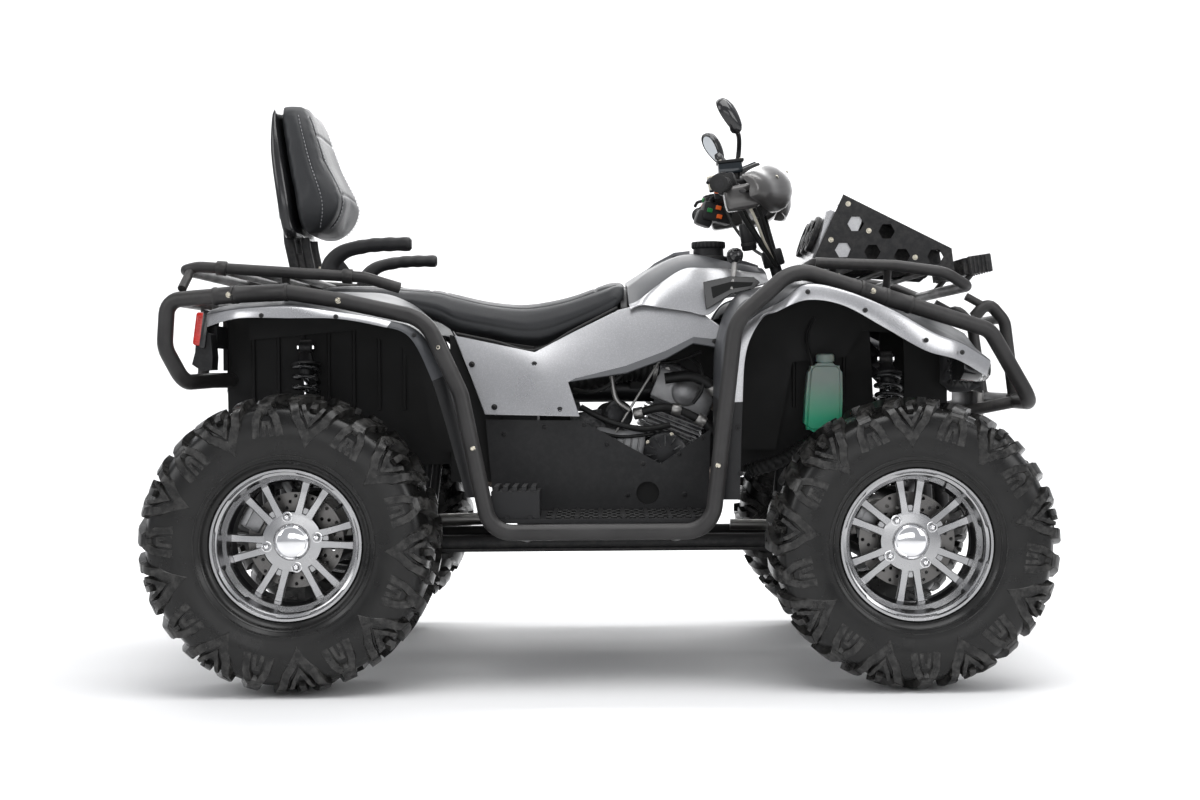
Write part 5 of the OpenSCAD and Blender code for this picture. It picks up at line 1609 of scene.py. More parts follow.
def make_racks():
    r = 12.6
    s = Shape()
    path = [(478, -346, 918), (655, -346, 911), (765, -346, 895), (822, -312, 866)]
    s.sweep(bent_line(path + [mirrored(q) for q in reversed(path)], [0, 120, 60, 34, 34, 60, 120, 0]), r, 18)
    s.sweep(bent_line([(540, -346, 915), (478, -346, 918), (478, 346, 918), (540, 346, 915)], 34), r - 0.6, 18)
    for sy in (-1, 1):
        s.sweep([Vector((640, sy * 346, 911)), Vector((640, sy * 306, 855))], 9, 12)
        s.sweep([Vector((520, sy * 346, 915)), Vector((520, sy * 308, 894))], 9, 12)
        for x, z in ((640, 850), (520, 890)):
            s.block((x, sy * 305, z), (46, 30, 6), (0, 8, 0), 1.5)
            bolt("chassis", (x + 14, sy * 305, z + 3), (0, 0, 1), 0.8)
            bolt("chassis", (x - 14, sy * 305, z + 3), (0, 0, 1), 0.8)
    for x in (560, 640, 720):
        z = 909 - (x - 560) * 0.08
        s.sweep([Vector((x, -344, z)), Vector((x, 344, z))], 8, 14)
    s.made("front_rack_tube", "chassis", ["tube coat"], "black_tube", ["front_rack"], angle=40)
    b = Shape()
    path = [(-448, -304, 872), (-524, -330, 895), (-892, -330, 921), (-923, -330, 914)]
    b.sweep(bent_line(path + [mirrored(q) for q in reversed(path)], [0, 40, 60, 24, 24, 60, 40, 0]), r, 18)
    for sy in (-1, 1):
        b.sweep([Vector((-908, sy * 326, 917)), Vector((-918, sy * 378, 870))], 10, 12)
        b.sweep([Vector((-700, sy * 330, 907)), Vector((-700, sy * 296, 863))], 10, 12)
        b.block((-700, sy * 294, 860), (50, 32, 6), edge=1.5)
        bolt("chassis", (-686, sy * 294, 863), (0, 0, 1), 0.8)
        bolt("chassis", (-714, sy * 294, 863), (0, 0, 1), 0.8)
        clamp(b, (-560, sy * 330, 897.5), (1, 0, -0.07), r)
        clamp(b, (-840, sy * 330, 917.3), (1, 0, -0.07), r)
    for x in (-840, -760, -690):
        z = 917 - (x + 892) * 0.07
        b.sweep([Vector((x, -328, z)), Vector((x, 328, z))], 9, 14)
    b.made("rear_rack_tube", "chassis", ["tube coat"], "black_tube", ["rear_rack"], angle=40)
    # moulded grab handles beside the passenger's seat
    h = Shape()
    line = smooth_line(
        [
            (-606, -288, 901), (-600, -290, 930), (-572, -294, 955), (-520, -298, 967), (-470, -300, 970),
            (-420, -302, 970)
        ],
        7
    )
    n = len(line) - 1
    h.sweep(
        line,
        [25 - 8 * min(1, k / 16) + 0.8 * math.sin(k * 1.4) * (k > 18) - (5 if k == n else 0) for k in range(n + 1)],
        18, 0, 0.86
    )
    h.plate(
        [(-640, 894), (-548, 894), (-566, 922), (-590, 952), (-612, 940), (-626, 912)],
        lambda u, v, d: (u, -284 - d, v), 12, 3, 0, steps=2
    )
    h.both()
    h.made("grab_handles", "chassis", ["black plastic"], "black_plastic", ["passenger_handles"], angle=40)
    for x in (-622, -570):
        bolt_both("chassis", (x, -296.5, 906), (0, -1, 0), 0.75)


# ---------- seat and backrest ----------


CLOTH_FRAMES = 20


def soft(name, rings, limit):
    """A foam-filled cover through rings of points: remeshed, swelled as cloth, capped and smoothed."""
    q = bpy.context.scene.quad_seat
    s = Shape()
    s.skin(rings)
    bm = bmesh.new()
    v = [bm.verts.new(metres(p)) for p in s.points]
    for f in s.faces:
        bm.faces.new([v[i] for i in f])
    bmesh.ops.recalc_face_normals(bm, faces=bm.faces[:])
    mesh = bpy.data.meshes.new(name)
    bm.to_mesh(mesh)
    bm.free()
    o = bpy.data.objects.new(name, mesh)
    bpy.context.scene.collection.objects.link(o)
    m = o.modifiers.new("Even", "REMESH")
    m.mode, m.voxel_size = "VOXEL", q.voxel
    bake(o)
    rest = [p.co.copy() for p in o.data.vertices]
    cloth = o.modifiers.new("Cover", "CLOTH")
    c = cloth.settings
    c.quality, c.mass = 4, 0.3
    c.tension_stiffness = c.compression_stiffness = 22
    c.bending_stiffness = 3.0
    c.use_pressure, c.uniform_pressure_force = True, q.pressure
    c.effector_weights.gravity = 0
    cloth.collision_settings.use_collision = False
    cloth.point_cache.frame_start, cloth.point_cache.frame_end = 1, CLOTH_FRAMES
    for f in range(1, CLOTH_FRAMES + 1):
        bpy.context.scene.frame_set(f)
    bake(o)
    bpy.context.scene.frame_set(1)
    for p, a in zip(o.data.vertices, rest):
        d = p.co - a
        most = q.swell * limit
        if d.length > most:
            p.co = a + d.normalized() * most
    m = o.modifiers.new("Smooth", "SMOOTH")
    m.iterations, m.factor = 4, 0.5
    m = o.modifiers.new("Fine", "SUBSURF")
    m.levels = m.render_levels = 1
    bake(o)
    return o


def groove(o, line, width, depth):
    """Presses a sewn channel into a soft piece along a line on its surface."""
    tree_points = [metres(p) for p in line]
    from_line = BVHTree.FromPolygons(
        [p for a in tree_points for p in (a, a + Vector((0, 0, 1e-5)))],
        [(2 * k, 2 * k + 1, 2 * k + 3, 2 * k + 2) for k in range(len(tree_points) - 1)],
    )
    w, d = width / 1000, depth / 1000
    normals = [v.normal.copy() for v in o.data.vertices]
    for v, n in zip(o.data.vertices, normals):
        hit = from_line.find_nearest(v.co, w * 2)
        if hit[0] is not None and hit[3] is not None:
            x = hit[3] / w
            v.co -= n * d * math.exp(-2.2 * x * x)


def on_surface(o, line, toward):
    """The line moved along a direction until it lies on a piece's surface."""
    tree = BVHTree.FromPolygons([v.co.copy() for v in o.data.vertices], [list(f.vertices) for f in o.data.polygons])
    out = []
    t = Vector(toward).normalized()
    for p in line:
        hit = tree.ray_cast(metres(p) - t * 0.25, t, 0.6)
        if hit[0] is not None:
            q = hit[0] + hit[1] * 0.0006
            out.append(Vector(((q.x - MID_X) * 1000, q.y * 1000, q.z * 1000)))
    return out


def seam(name, lines):
    """Stitches along lines on a soft piece."""
    q = bpy.context.scene.quad_seat
    thread = Shape()
    thread.turn([(0, -2.6), (0.7, -2.4), (0.95, 0), (0.7, 2.4), (0, 2.6)], (0, 0, 0), (0, 0, 1), 6)
    s = Shape()
    for line in lines:
        line = along_line(line, 4)
        spots = grown(
            "stitches", thread, points=line, edges=[(k, k + 1) for k in range(len(line) - 1)], Spacing=q.stitch * 1000, Material=finish("thread")
        )
        s.add_mesh(spots)
    if s.points:
        s.made(name, "chassis", ["thread"], angle=60)


def seat_ring(x, w, b, t):
    return [
        (x, 0, b - 2), (x, -w * 0.88, b), (x, -w, b + (t - b) * 0.12), (x, -w * 1.01, (b + t) / 2), (
            x, -w * 0.94, t - (t - b) * 0.2
        ),
        (
            x, -w * 0.62, t - (t - b) * 0.03
        ), (x, 0, t), (x, w * 0.62, t - (t - b) * 0.03), (x, w * 0.94, t - (t - b) * 0.2),
        (x, w * 1.01, (b + t) / 2), (x, w, b + (t - b) * 0.12), (x, w * 0.88, b),
    ]


SEAT = [
    (-660, 146, 846, 880), (-600, 176, 840, 884), (-509, 184, 832, 883), (-440, 186, 824, 877), (-376, 186, 804, 872), (-330, 184, 776, 862),
    (-260, 180, 762, 846), (-188, 174, 746, 839), (-130, 170, 746, 844), (-65, 168, 772, 858), (-3, 168, 802, 880), (36, 168, 824, 896), (56, 156, 850, 892),
]


def make_seat():
    rings = [seat_ring(*r) for r in SEAT]
    columns = [smooth_line([r[j] for r in rings], 4) for j in range(12)]
    rings = [[c[i] for c in columns] for i in range(len(columns[0]))]
    o = soft("seat_cover", rings, 0.5)
    top = smooth_line([(x, -w * 0.80, t + 30) for x, w, b, t in SEAT[:-1]], 6)
    lines = []
    for sy in (1, -1):
        side = on_surface(o, [Vector((p.x, p.y * sy, p.z)) for p in top], (0, 0, -1))
        groove(o, side, 4.5, 2.2)
        low = on_surface(
            o, smooth_line([(x, sy * -260, b + (t - b) * 0.34) for x, w, b, t in SEAT[1:-1]], 6), (0, sy, 0)
        )
        groove(o, low, 4.0, 1.6)
        lines += [side, low]
    across = []
    for x, z in ((-408, 874), (-372, 872), (-24, 874)):
        c = on_surface(
            o, [Vector((x + 14 * math.cos(k / 20 * math.pi), -128 + 256 * k / 20, z + 40)) for k in range(21)],
            (0, 0, -1)
        )
        groove(o, c, 6, 2.8)
        across.append(c)
    for f in o.data.polygons:
        f.use_smooth = True
    o.data.materials.append(finish("vinyl"))
    settled(o, "chassis", ["seat"])
    seam(
        "seat_stitches",
        [[p + Vector((0, (7 if p.y < 0 else -7), 0.4)) for p in line] for line in (lines[0], lines[2])]
    )


def back_ring(z, x0, x1, w):
    return [
        (x0 - 2, 0, z), (x0, -w * 0.7, z), (x0 + 6, -w, z), ((x0 + x1) / 2, -w * 1.02, z), (x1 - 8, -w * 0.96, z), (x1, -w * 0.6, z), (x1 - 2, 0, z),
        (x1, w * 0.6, z), (x1 - 8, w * 0.96, z), ((x0 + x1) / 2, w * 1.02, z), (x0 + 6, w, z), (x0, w * 0.7, z),
    ]


PAD = [
    (1006, -688, -646, 136), (1024, -694, -620, 160), (1060, -700, -598, 176), (1100, -706, -602, 177), (1180, -722, -640, 171), (1280, -738, -674, 157),
    (1310, -742, -686, 130),
]
SHELL = [
    (1000, -738, -702, 128), (1012, -742, -700, 142), (1040, -748, -706, 148), (1100, -756, -712, 156), (1200, -768, -728, 152), (1280, -768, -742, 134), (1302, -764, -748, 118),
]


def make_backrest():
    rings = [back_ring(*r) for r in PAD]
    columns = [smooth_line([r[j] for r in rings], 4) for j in range(12)]
    rings = [[c[i] for c in columns] for i in range(len(columns[0]))]
    o = soft("backrest_cover", rings, 0.55)
    lines = []
    for sy in (1, -1):
        edge = on_surface(o, smooth_line([(-560, sy * -(w * 0.78), z) for z, x0, x1, w in PAD[1:-1]], 8), (-1, 0, 0))
        groove(o, edge, 5, 2.4)
        lines.append(edge)
        side = on_surface(
            o, smooth_line([((x0 + x1) / 2 + 8, sy * -260, z) for z, x0, x1, w in PAD[1:-1]], 8), (0, sy, 0)
        )
        groove(o, side, 4, 1.6)
        lines.append(side)
    for z in (1098, 1236):
        c = on_surface(
            o, [Vector((-560, -128 + 256 * k / 20, z + 8 * math.cos((k / 10 - 1) * 1.4))) for k in range(21)],
            (-1, 0, 0)
        )
        groove(o, c, 6, 2.8)
    for f in o.data.polygons:
        f.use_smooth = True
    o.data.materials.append(finish("vinyl"))
    settled(o, "chassis", ["backrest_pad"])
    seam("backrest_stitches", [[p + Vector((1.5, 0, 0)) for p in line] for line in lines])
    # moulded shell behind the pad
    rings = [back_ring(*r) for r in SHELL]
    columns = [smooth_line([r[j] for r in rings], 4) for j in range(12)]
    rings = [rounded([c[i] for c in columns] + [columns[0][i]], 6)[:-1] for i in range(len(columns[0]))]
    s = Shape()
    s.skin(rings)
    # raised ribs on the shell's back
    for y in (-60, 0, 60):
        s.skin(
            [
                [
                    (x0 - 6, y - 8, z), (x0 - 9, y - 5, z), (x0 - 9, y + 5, z), (x0 - 6, y + 8, z),
                    (x0 + 6, y + 8, z), (x0 + 6, y - 8, z)
                ] for z,
                x0 in ((1050, -750), (1100, -756), (1200, -768), (1262, -767))
            ]
        )
    s.made("backrest_shell_moulded", "chassis", ["gloss plastic"], "black_plastic", ["backrest_shell"], angle=40)
    # posts, gussets and the clamp plates on the rack
    b = Shape()
    for sy in (-1, 1):
        b.sweep(bent_line([(-742, sy * 60, 1080), (-737, sy * 60, 995), (-722, sy * 60, 925)], 60), 13, 18)
        b.sweep(bent_line([(-700, sy * 60, 1004), (-698, sy * 60, 985), (-686, sy * 60, 925)], 60), 11, 18)
        b.plate(
            [(-729, 930), (-682, 930), (-693, 968), (-722, 968)], lambda u, v, d, k=sy: (u, k * 60 + d - 2, v), 4, 0.8
        )
        b.block((-705, sy * 60, 927), (110, 34, 8), edge=2)
        for x in (-748, -662):
            bolt("chassis", (x, sy * 60, 931), (0, 0, 1), 1.0, "hex")
    b.made("backrest_posts", "chassis", ["frame coat"], "black_tube", ["backrest_frame"], angle=40)


# ---------- springs and running gear ----------


def make_shocks():
    for name, low, high in (
        ("front_shocks", (665, -292, 437), (653, -216, 706)), ("rear_shocks", (-661, -292, 442), (-673, -222, 742))
    ):
        a, b = Vector(low), Vector(high)
        l = (b - a).length
        m = turned_to(b - a)
        s = Shape()
        s.turn(
            [
                (10, 8), (20, 14), (21, l * 0.16), (34, l * 0.165), (34, l * 0.185), (24, l * 0.19), (23, l * 0.5),
                (19, l * 0.505)
            ],
            a, b - a, 32, 1
        )
        s.turn([(7, l * 0.45), (7, l * 0.86), (6, l * 0.86)], a, b - a, 20, 2)
        s.turn(
            [
                (12, l * 0.76), (16, l * 0.78), (16, l * 0.85), (33, l * 0.855), (34, l * 0.87), (20, l * 0.885),
                (13, l - 10)
            ],
            a, b - a, 32, 1
        )
        # adjusting collars
        s.turn([(24, l * 0.19), (29, l * 0.195), (29, l * 0.215), (24, l * 0.22)], a, b - a, 12, 1)
        wire = grown("coil", Turns=8.5, Radius=28.0, Height=l * 0.665, Wire=5.2, Material=finish("spring coat"))
        s.add_mesh(wire, 0, lambda p: a + m @ (p + Vector((0, 0, l * 0.19))))
        for p in (a, b):
            s.turn([(0, -15), (12, -15), (17, -13), (17, 13), (12, 15), (0, 15)], p, (1, 0, 0), 24, 1)
            s.turn([(0, -19), (7, -19), (7, 19), (0, 19)], p, (1, 0, 0), 6, 2)
        s.both()
        s.made(f"{name}_coils", "chassis", ["spring coat", "frame coat", "chrome"], "black_metal", [name], angle=40)


def make_running_gear():
    # rubber boots on the half shafts, bands at their ends
    for x, z, end in ((665, 311, 344), (-665, 320, 360)):
        s = Shape()
        for start, far, r0, r1 in ((-136, -186, 35, 19), (-end + 74, -end + 22, 20, 38)):
            prof = []
            for k in range(17):
                t = k / 16
                r = r0 + (r1 - r0) * t + (3.6 if k % 2 and 1 < k < 15 else 0)
                prof.append((r, t * abs(far - start)))
            s.turn([(10, 0)] + prof + [(10, abs(far - start))], (x, start, z), (0, -1, 0), 28, 0)
            for t, r in ((0.03, r0), (0.97, r1)):
                h = t * abs(far - start)
                s.turn(
                    [(r - 1, h - 3), (r + 2, h - 3), (r + 2, h + 3), (r - 1, h + 3)], (x, start, z), (0, -1, 0), 28, 1
                )
        s.both()
        s.made("boots_front" if x > 0 else "boots_rear", "chassis", ["hose rubber", "steel"])
    # calipers over the drilled discs
    for name, x, z, face, body in (
        ("front_right", 665, 311, -460, "knuckle_right"), ("front_left", 665, 311, 460, "knuckle_left"),
        ("rear_right", -665, 320, -463, "chassis"), ("rear_left", -665, 320, 463, "chassis"),
    ):
        side = 1 if face > 0 else -1
        c = Shape()
        turn = math.radians(152)
        u = Vector((math.cos(turn), 0, math.sin(turn)))
        at = Vector((x, 0, z))
        for b, thick, r, wide in ((-62, 20, 96, 54), (-34, 8, 98, 50)):
            p = at + u * r + Vector((0, face + side * b, 0))
            c.block(p, (40, thick, wide), (0, -math.degrees(turn), 0), 4, 0)
        p = at + u * 116 + Vector((0, face - side * 48, 0))
        c.block(p, (14, 46, 46), (0, -math.degrees(turn), 0), 3, 0)
        for k in (-13, 13):
            q = at + u * 96 + Vector((-u.z, 0, u.x)) * k + Vector((0, face - side * 72, 0))
            c.turn([(0, -2), (11, -2), (11, 6), (9, 8), (0, 8)], q, (0, -side, 0), 20, 1)
        hose = smooth_line(
            [
                at + u * 108 + Vector((0, face - side * 70, 0)), at + u * 120 + Vector((0, face - side * 100, 26)),
                at + Vector((-60, face - side * 150, 150)), at + Vector((-40, face - side * 190, 190))
            ],
            8
        )
        if body == "chassis":
            c.sweep(hose, 4.2, 10, 2)
        c.made(f"caliper_{name}", body, ["cast aluminium", "steel", "hose rubber"])


# ---------- engine ----------


def make_engine():
    s = Shape()
    lean = Vector((math.sin(math.radians(22)), 0, math.cos(math.radians(22))))
    across = Vector((lean.z, 0, -lean.x))
    base = Vector((120, 0, 440))

    def on_cylinder(h, out=0.0, y=0.0):
        return base + lean * h + across * out + Vector((0, y, 0))

    fin = Shape()
    fin.block((0, 0, 0), (150, 160, 3.0), (0, 22, 0), 1.0, steps=1)
    fins = grown("row", fin, Count=9, First=on_cylinder(78), Step=lean * 9.2, Material=finish("cast aluminium"))
    s.add_mesh(fins, 0)
    # head, cam cover, plug cap
    s.block(on_cylinder(206), (146, 156, 74), (0, 22, 0), 7, 0)
    s.block(on_cylinder(246), (128, 138, 26), (0, 22, 0), 9, 2)
    for k in (-52, -18, 18, 52):
        s.block(on_cylinder(262, k), (6, 120, 8), (0, 22, 0), 2, 2)
    for k in (-56, 56):
        s.turn([(0, -4), (8, -4), (8, 6), (6, 9), (0, 9)], on_cylinder(242, k, -66), (0, -1, 0), 6, 3)
    s.turn(
        [(0, 0), (32, 0), (34, 3), (34, 10), (28, 14), (12, 15), (0, 18)], on_cylinder(208, 4, -76), (0, -1, 0), 36, 0
    )
    # crankcase covers
    s.turn(
        [(0, 20), (14, 20), (18, 17), (40, 17), (46, 13), (78, 12), (86, 6), (88, -20), (0, -20)], (150, -112, 444),
        (0, -1, 0), 60, 2
    )
    s.turn([(0, 18), (16, 18), (44, 15), (52, 10), (55, -4), (0, -4)], (150, -122, 486), (0, -1, 0), 48, 2)
    for k in range(12):
        a = 2 * math.pi * k / 12
        s.block(
            (150 + 33 * math.cos(a), -139, 486 + 33 * math.sin(a)), (26, 6, 3.4), (0, -math.degrees(a), 0), 1, 2, 1
        )
    for k in range(7):
        a = 2 * math.pi * k / 7 + 0.3
        bolt("chassis", (150 + 76 * math.cos(a), -127, 444 + 76 * math.sin(a)), (0, -1, 0), 0.85, "hex", "zinc")
    for k in range(5):
        a = 2 * math.pi * k / 5
        bolt("chassis", (150 + 49 * math.cos(a), -133, 486 + 49 * math.sin(a)), (0, -1, 0), 0.6, "bolt", "zinc")
    s.turn([(0, 14), (40, 14), (60, 8), (66, -8), (0, -8)], (-90, -112, 424), (0, -1, 0), 44, 0)
    s.block((42, -104, 500), (120, 56, 96), (0, 8, 0), 12, 0)
    s.block((-22, -96, 560), (96, 60, 60), (0, -10, 0), 12, 2)
    # starter, ribs on the case
    s.turn(
        [(0, 0), (30, 0), (34, 4), (34, 92), (28, 98), (10, 100), (0, 100)], (18, -60, 574), (0.25, -0.9, 0.06), 32, 2
    )
    rib = Shape()
    rib.block((0, 0, 0), (4, 10, 74), (0, 8, 0), 1.2, steps=1)
    s.add_mesh(
        grown("row", rib, Count=6, First=(0, -133, 500), Step=(17, 0, -2.2), Material=finish("cast aluminium")), 0
    )
    # throttle body, intake bellows and air box side
    s.turn([(0, 0), (30, 0), (30, 52), (34, 54), (34, 64), (0, 64)], (186, -40, 676), (-0.95, -0.1, 0.2), 32, 0)
    bell = smooth_line([(128, -46, 688), (80, -66, 692), (20, -70, 684), (-60, -60, 664), (-150, -50, 640)], 14)
    s.sweep(bell, [33 + (3.5 if k % 3 == 1 else 0) for k in range(len(bell))], 24, 1)
    for p in ((126, -46, 688), (-140, -51, 642)):
        s.turn([(30, -5), (38, -5), (38, 5), (30, 5)], p, (1, 0.1, 0), 32, 3)
    # hoses, tubes and rods seen through the window
    hoses = [
        ([(150, -150, 664), (214, -154, 668), (262, -150, 640), (282, -130, 590)], 13, 1),
        ([(88, -160, 584), (130, -168, 596), (176, -160, 592), (232, -158, 566), (262, -150, 540)], 10, 1),
        ([(26, -178, 672), (36, -182, 618), (66, -176, 592)], 6, 3),
        ([(137, -170, 705), (96, -174, 640), (34, -168, 540)], 3.2, 3),
        ([(-46, -176, 600), (20, -184, 566), (96, -176, 548), (160, -160, 556)], 7, 1),
        ([(-62, -150, 640), (-20, -176, 634), (26, -180, 654), (74, -170, 700)], 5, 1),
        ([(206, -120, 716), (232, -150, 690), (236, -160, 640), (214, -158, 606)], 4.5, 1),
        ([(60, -150, 724), (112, -166, 700), (180, -150, 706), (236, -140, 726)], 3.6, 1),
        ([(-20, -160, 545), (44, -172, 530), (120, -168, 536)], 4.2, 1),
    ]
    for pts, r, kind in hoses:
        s.sweep(along_line(smooth_line(pts, 10), 8), r, 14, kind)
    for p, d, r in (
        ((262, -150, 640), (0.5, 0.4, -0.9), 15), ((232, -158, 566), (0.8, 0.1, -0.5), 12),
        ((88, -160, 584), (1, -0.2, 0.2), 12), ((176, -160, 592), (1, 0, -0.2), 12)
    ):
        clamp(s, p, d, r - 2, 3)
    s.made(
        "engine_detail", "chassis", ["cast aluminium", "hose rubber", "engine black", "steel"], "engine_metal",
        angle=35
    )
    # corrugated hose ahead of the footwell, silencer bands and tailpipe tip
    h = Shape()
    line = along_line(
        smooth_line([(330, -248, 450), (351, -250, 458), (408, -250, 476), (487, -246, 526), (512, -240, 560)], 12),
        3.5
    )
    h.sweep(line, [15 + (2.8 if k % 3 == 0 else 0) for k in range(len(line))], 18, 0)
    for x in (-572, -640, -720, -780):
        h.turn([(60, -6), (64.5, -6), (65.5, -3), (65.5, 3), (64.5, 6), (60, 6)], (x, -30, 640), (1, 0, 0), 48, 1)
    h.turn(
        [(16, -6), (21, -4), (21, 26), (18, 30), (15, 30), (15, -6)], (-858, -54, 649.5), (-0.96, -0.26, 0.1), 28, 2,
        closed=True
    )
    h.made("hose_and_silencer_bands", "chassis", ["hose rubber", "steel", "chrome"], angle=40)


# ---------- controls ----------

BAR_IN, BAR_OUT = Vector((292, -230, 1104)), Vector((262, -396, 1090))


def make_controls():
    d = (BAR_OUT - BAR_IN).normalized()
    s = Shape()
    a = BAR_IN + d * 36
    l = (BAR_OUT - a).length
    prof = [(12, -3), (23, -3), (24, -1), (24, 2), (17, 5)]
    n = 34
    for k in range(n):
        h = 7 + (l - 15) * k / n
        prof += [(16.2, h), (17.6, h + 0.8), (17.6, h + 2.1), (16.2, h + 2.9)]
    prof += [(17.0, l - 7), (20.5, l - 6), (20.5, l - 2), (16, l), (0, l)]
    s.turn(prof, a, d, 30, 0)
    # switch box and throttle box with buttons
    s.block(BAR_IN + d * 14 + Vector((0, 0, 2)), (46, 46, 44), (0, -14, -10), 8, 1)
    s.block(BAR_IN + d * 14 + Vector((-10, 0, 14)), (26, 34, 26), (0, -14, -10), 5, 1)
    for k, (dx, dz, kind) in enumerate(((-25, 12, 2), (-25, -2, 3), (-23, -14, 3))):
        s.turn(
            [(0, -4), (5.6, -4), (5.6, 3.5), (4.4, 5), (0, 5)], BAR_IN + d * (8 + 7 * (k % 2)) + Vector((dx, 0, dz)),
            (-1, -0.1, 0.1), 14, kind
        )
    s.sweep(
        smooth_line(
            [
                BAR_IN + d * 24 + Vector((-16, -4, 14)), BAR_IN + d * 34 + Vector((-34, -4, 12)),
                BAR_IN + d * 50 + Vector((-38, 0, 4))
            ],
            6
        ),
        4.2, 10, 1
    )
    # clamp, perch and lever
    s.turn([(11.5, -9), (18, -9), (20, -7), (20, 7), (18, 9), (11.5, 9)], BAR_IN - d * 16, d, 26, 1, closed=True)
    s.block(BAR_IN - d * 12 + Vector((22, 0, -8)), (40, 24, 22), (0, 24, -10), 5, 1)
    lever = smooth_line(
        [
            BAR_IN + Vector((40, 8, -14)), BAR_IN + Vector((46, -20, -17)), BAR_IN + Vector((38, -70, -22)),
            BAR_IN + Vector((26, -116, -26)), BAR_IN + Vector((24, -140, -28))
        ],
        8
    )
    s.sweep(lever, [5.4] * (len(lever) - 3) + [6.2, 8.0, 6.5], 14, 5, 0.62)
    s.turn([(0, -10), (5, -10), (5, 10), (0, 10)], BAR_IN + Vector((40, 6, -14)), (0, 0, 1), 6, 5)
    # brake reservoir: smoky box with a flat cap
    s.block((302, -184, 1146), (56, 44, 26), (0, -6, 0), 5, 6)
    s.block((302, -184, 1162), (62, 50, 7), (0, -6, 0), 2.5, 1)
    for x in (-23, 23):
        for y in (-17, 17):
            bolt("steering", (302 + x, -184 + y, 1165.5 + x * 0.105), (0.1, 0, 1), 0.42, "bolt", "zinc")
            bolt("steering", (302 + x, 184 + y, 1165.5 + x * 0.105), (0.1, 0, 1), 0.42, "bolt", "zinc")
    s.block((300, -190, 1126), (22, 20, 28), (0, -6, 0), 3, 1)
    # the mirror's foot
    s.turn([(0, -8), (10, -8), (11, 0), (11, 12), (7, 16), (0, 16)], (314, -190, 1128), (0, 0, 1), 6, 5)
    s.both()
    s.made(
        "grips_and_switches", "steering",
        [
            "grip rubber", "black plastic", "button green", "button orange", "cream plastic", "frame coat", "screen",
            "cream plastic"
        ], "black_plastic", ["hand_controls"], angle=38,
    )
    for y in (-210,):
        for z in (1132, 1150):
            bolt("steering", (258, y * 1.023, z - 27), (0, y, 0), 0.55, "bolt", "zinc")
    # column clamp, instrument box, ignition knob and cables
    c = Shape()
    c.block((379, 0, 1090), (62, 110, 34), (0, -15.5, 0), 6, 0)
    for y in (-34, 34):
        c.block((376, y, 1112), (50, 26, 20), (0, -15.5, 0), 4, 0)
    c.block((344, 0, 1142), (96, 150, 40), (0, -22, 0), 14, 1)
    c.plate(
        [(-36, -58), (36, -58), (40, 0), (36, 58), (-36, 58), (-40, 0)],
        lambda u, v, w: (340 + 0.927 * u - 0.375 * w, v, 1162 + 0.375 * u + 0.927 * w), 3, 1.5, 2
    )
    c.turn([(0, -14), (15, -14), (16, 4), (13, 9), (11, 20), (0, 22)], (352, -96, 1116), (-0.5, -0.3, 0.8), 20, 1)
    cables = (
        [(302, -206, 1092), (328, -190, 1040), (368, -134, 988), (398, -62, 960), (421, -24, 932)],
        [(314, -200, 1096), (342, -176, 1036), (378, -118, 984), (404, -52, 957), (423, -20, 930)],
        [(330, -190, 1090), (360, -170, 1034), (386, -112, 984), (408, -48, 958), (424, -18, 934)],
        [(346, -170, 1098), (378, -146, 1040), (398, -96, 986), (416, -42, 956), (425, -22, 938)],
    )
    for k, pts in enumerate(cables):
        c.sweep(smooth_line(pts, 12), (5.2, 4.2, 3.6, 4.6)[k], 12, 3 if k != 2 else 4)
        if k % 2:
            c.sweep(smooth_line([mirrored(p) for p in pts], 12), (5.2, 4.2, 3.6, 4.6)[k], 12, 3)
    c.turn([(0, -34), (15, -34), (18, -30), (18, 26), (15, 31), (0, 33)], (352, -60, 1000), (-0.15, -0.1, 1), 26, 1)
    c.turn([(14, -22), (19.4, -21), (19.4, -15), (14, -14)], (352, -60, 1000), (-0.15, -0.1, 1), 26, 0)
    c.block((266, -206, 1114), (34, 12, 32), (0, -14, 6), 4, 4)
    # switch cluster on the left grip, its buttons toward the rider's thumb
    c.block((296, 222, 1080), (78, 46, 50), (0, 12, 8), 11, 1)
    c.block((264, 218, 1066), (44, 36, 40), (0, 20, 8), 10, 1)
    for x, z, kind in ((300, 1092, 5), (302, 1070, 5), (278, 1086, 6)):
        c.block((x, 198, z), (14, 9, 11), (0, 12, 8), 2.5, kind)
    for t, r in ((250, 26), (330, 24)):
        p = Vector((572, 0, 392)) + Vector((-0.2672, 0, 0.9636)) * (t + 250)
        c.turn([(12, -20), (r, -20), (r + 2, -16), (r + 2, 16), (r, 20), (12, 20)], p, (-0.2672, 0, 0.9636), 28, 1)
    c.made(
        "column_clamp_and_cables", "steering",
        ["frame coat", "black plastic", "screen", "hose rubber", "cream plastic", "button orange", "button green"],
        angle=38
    )
    coat_node("handlebar", "frame coat")
    make_hand_guards()
    make_mirrors()


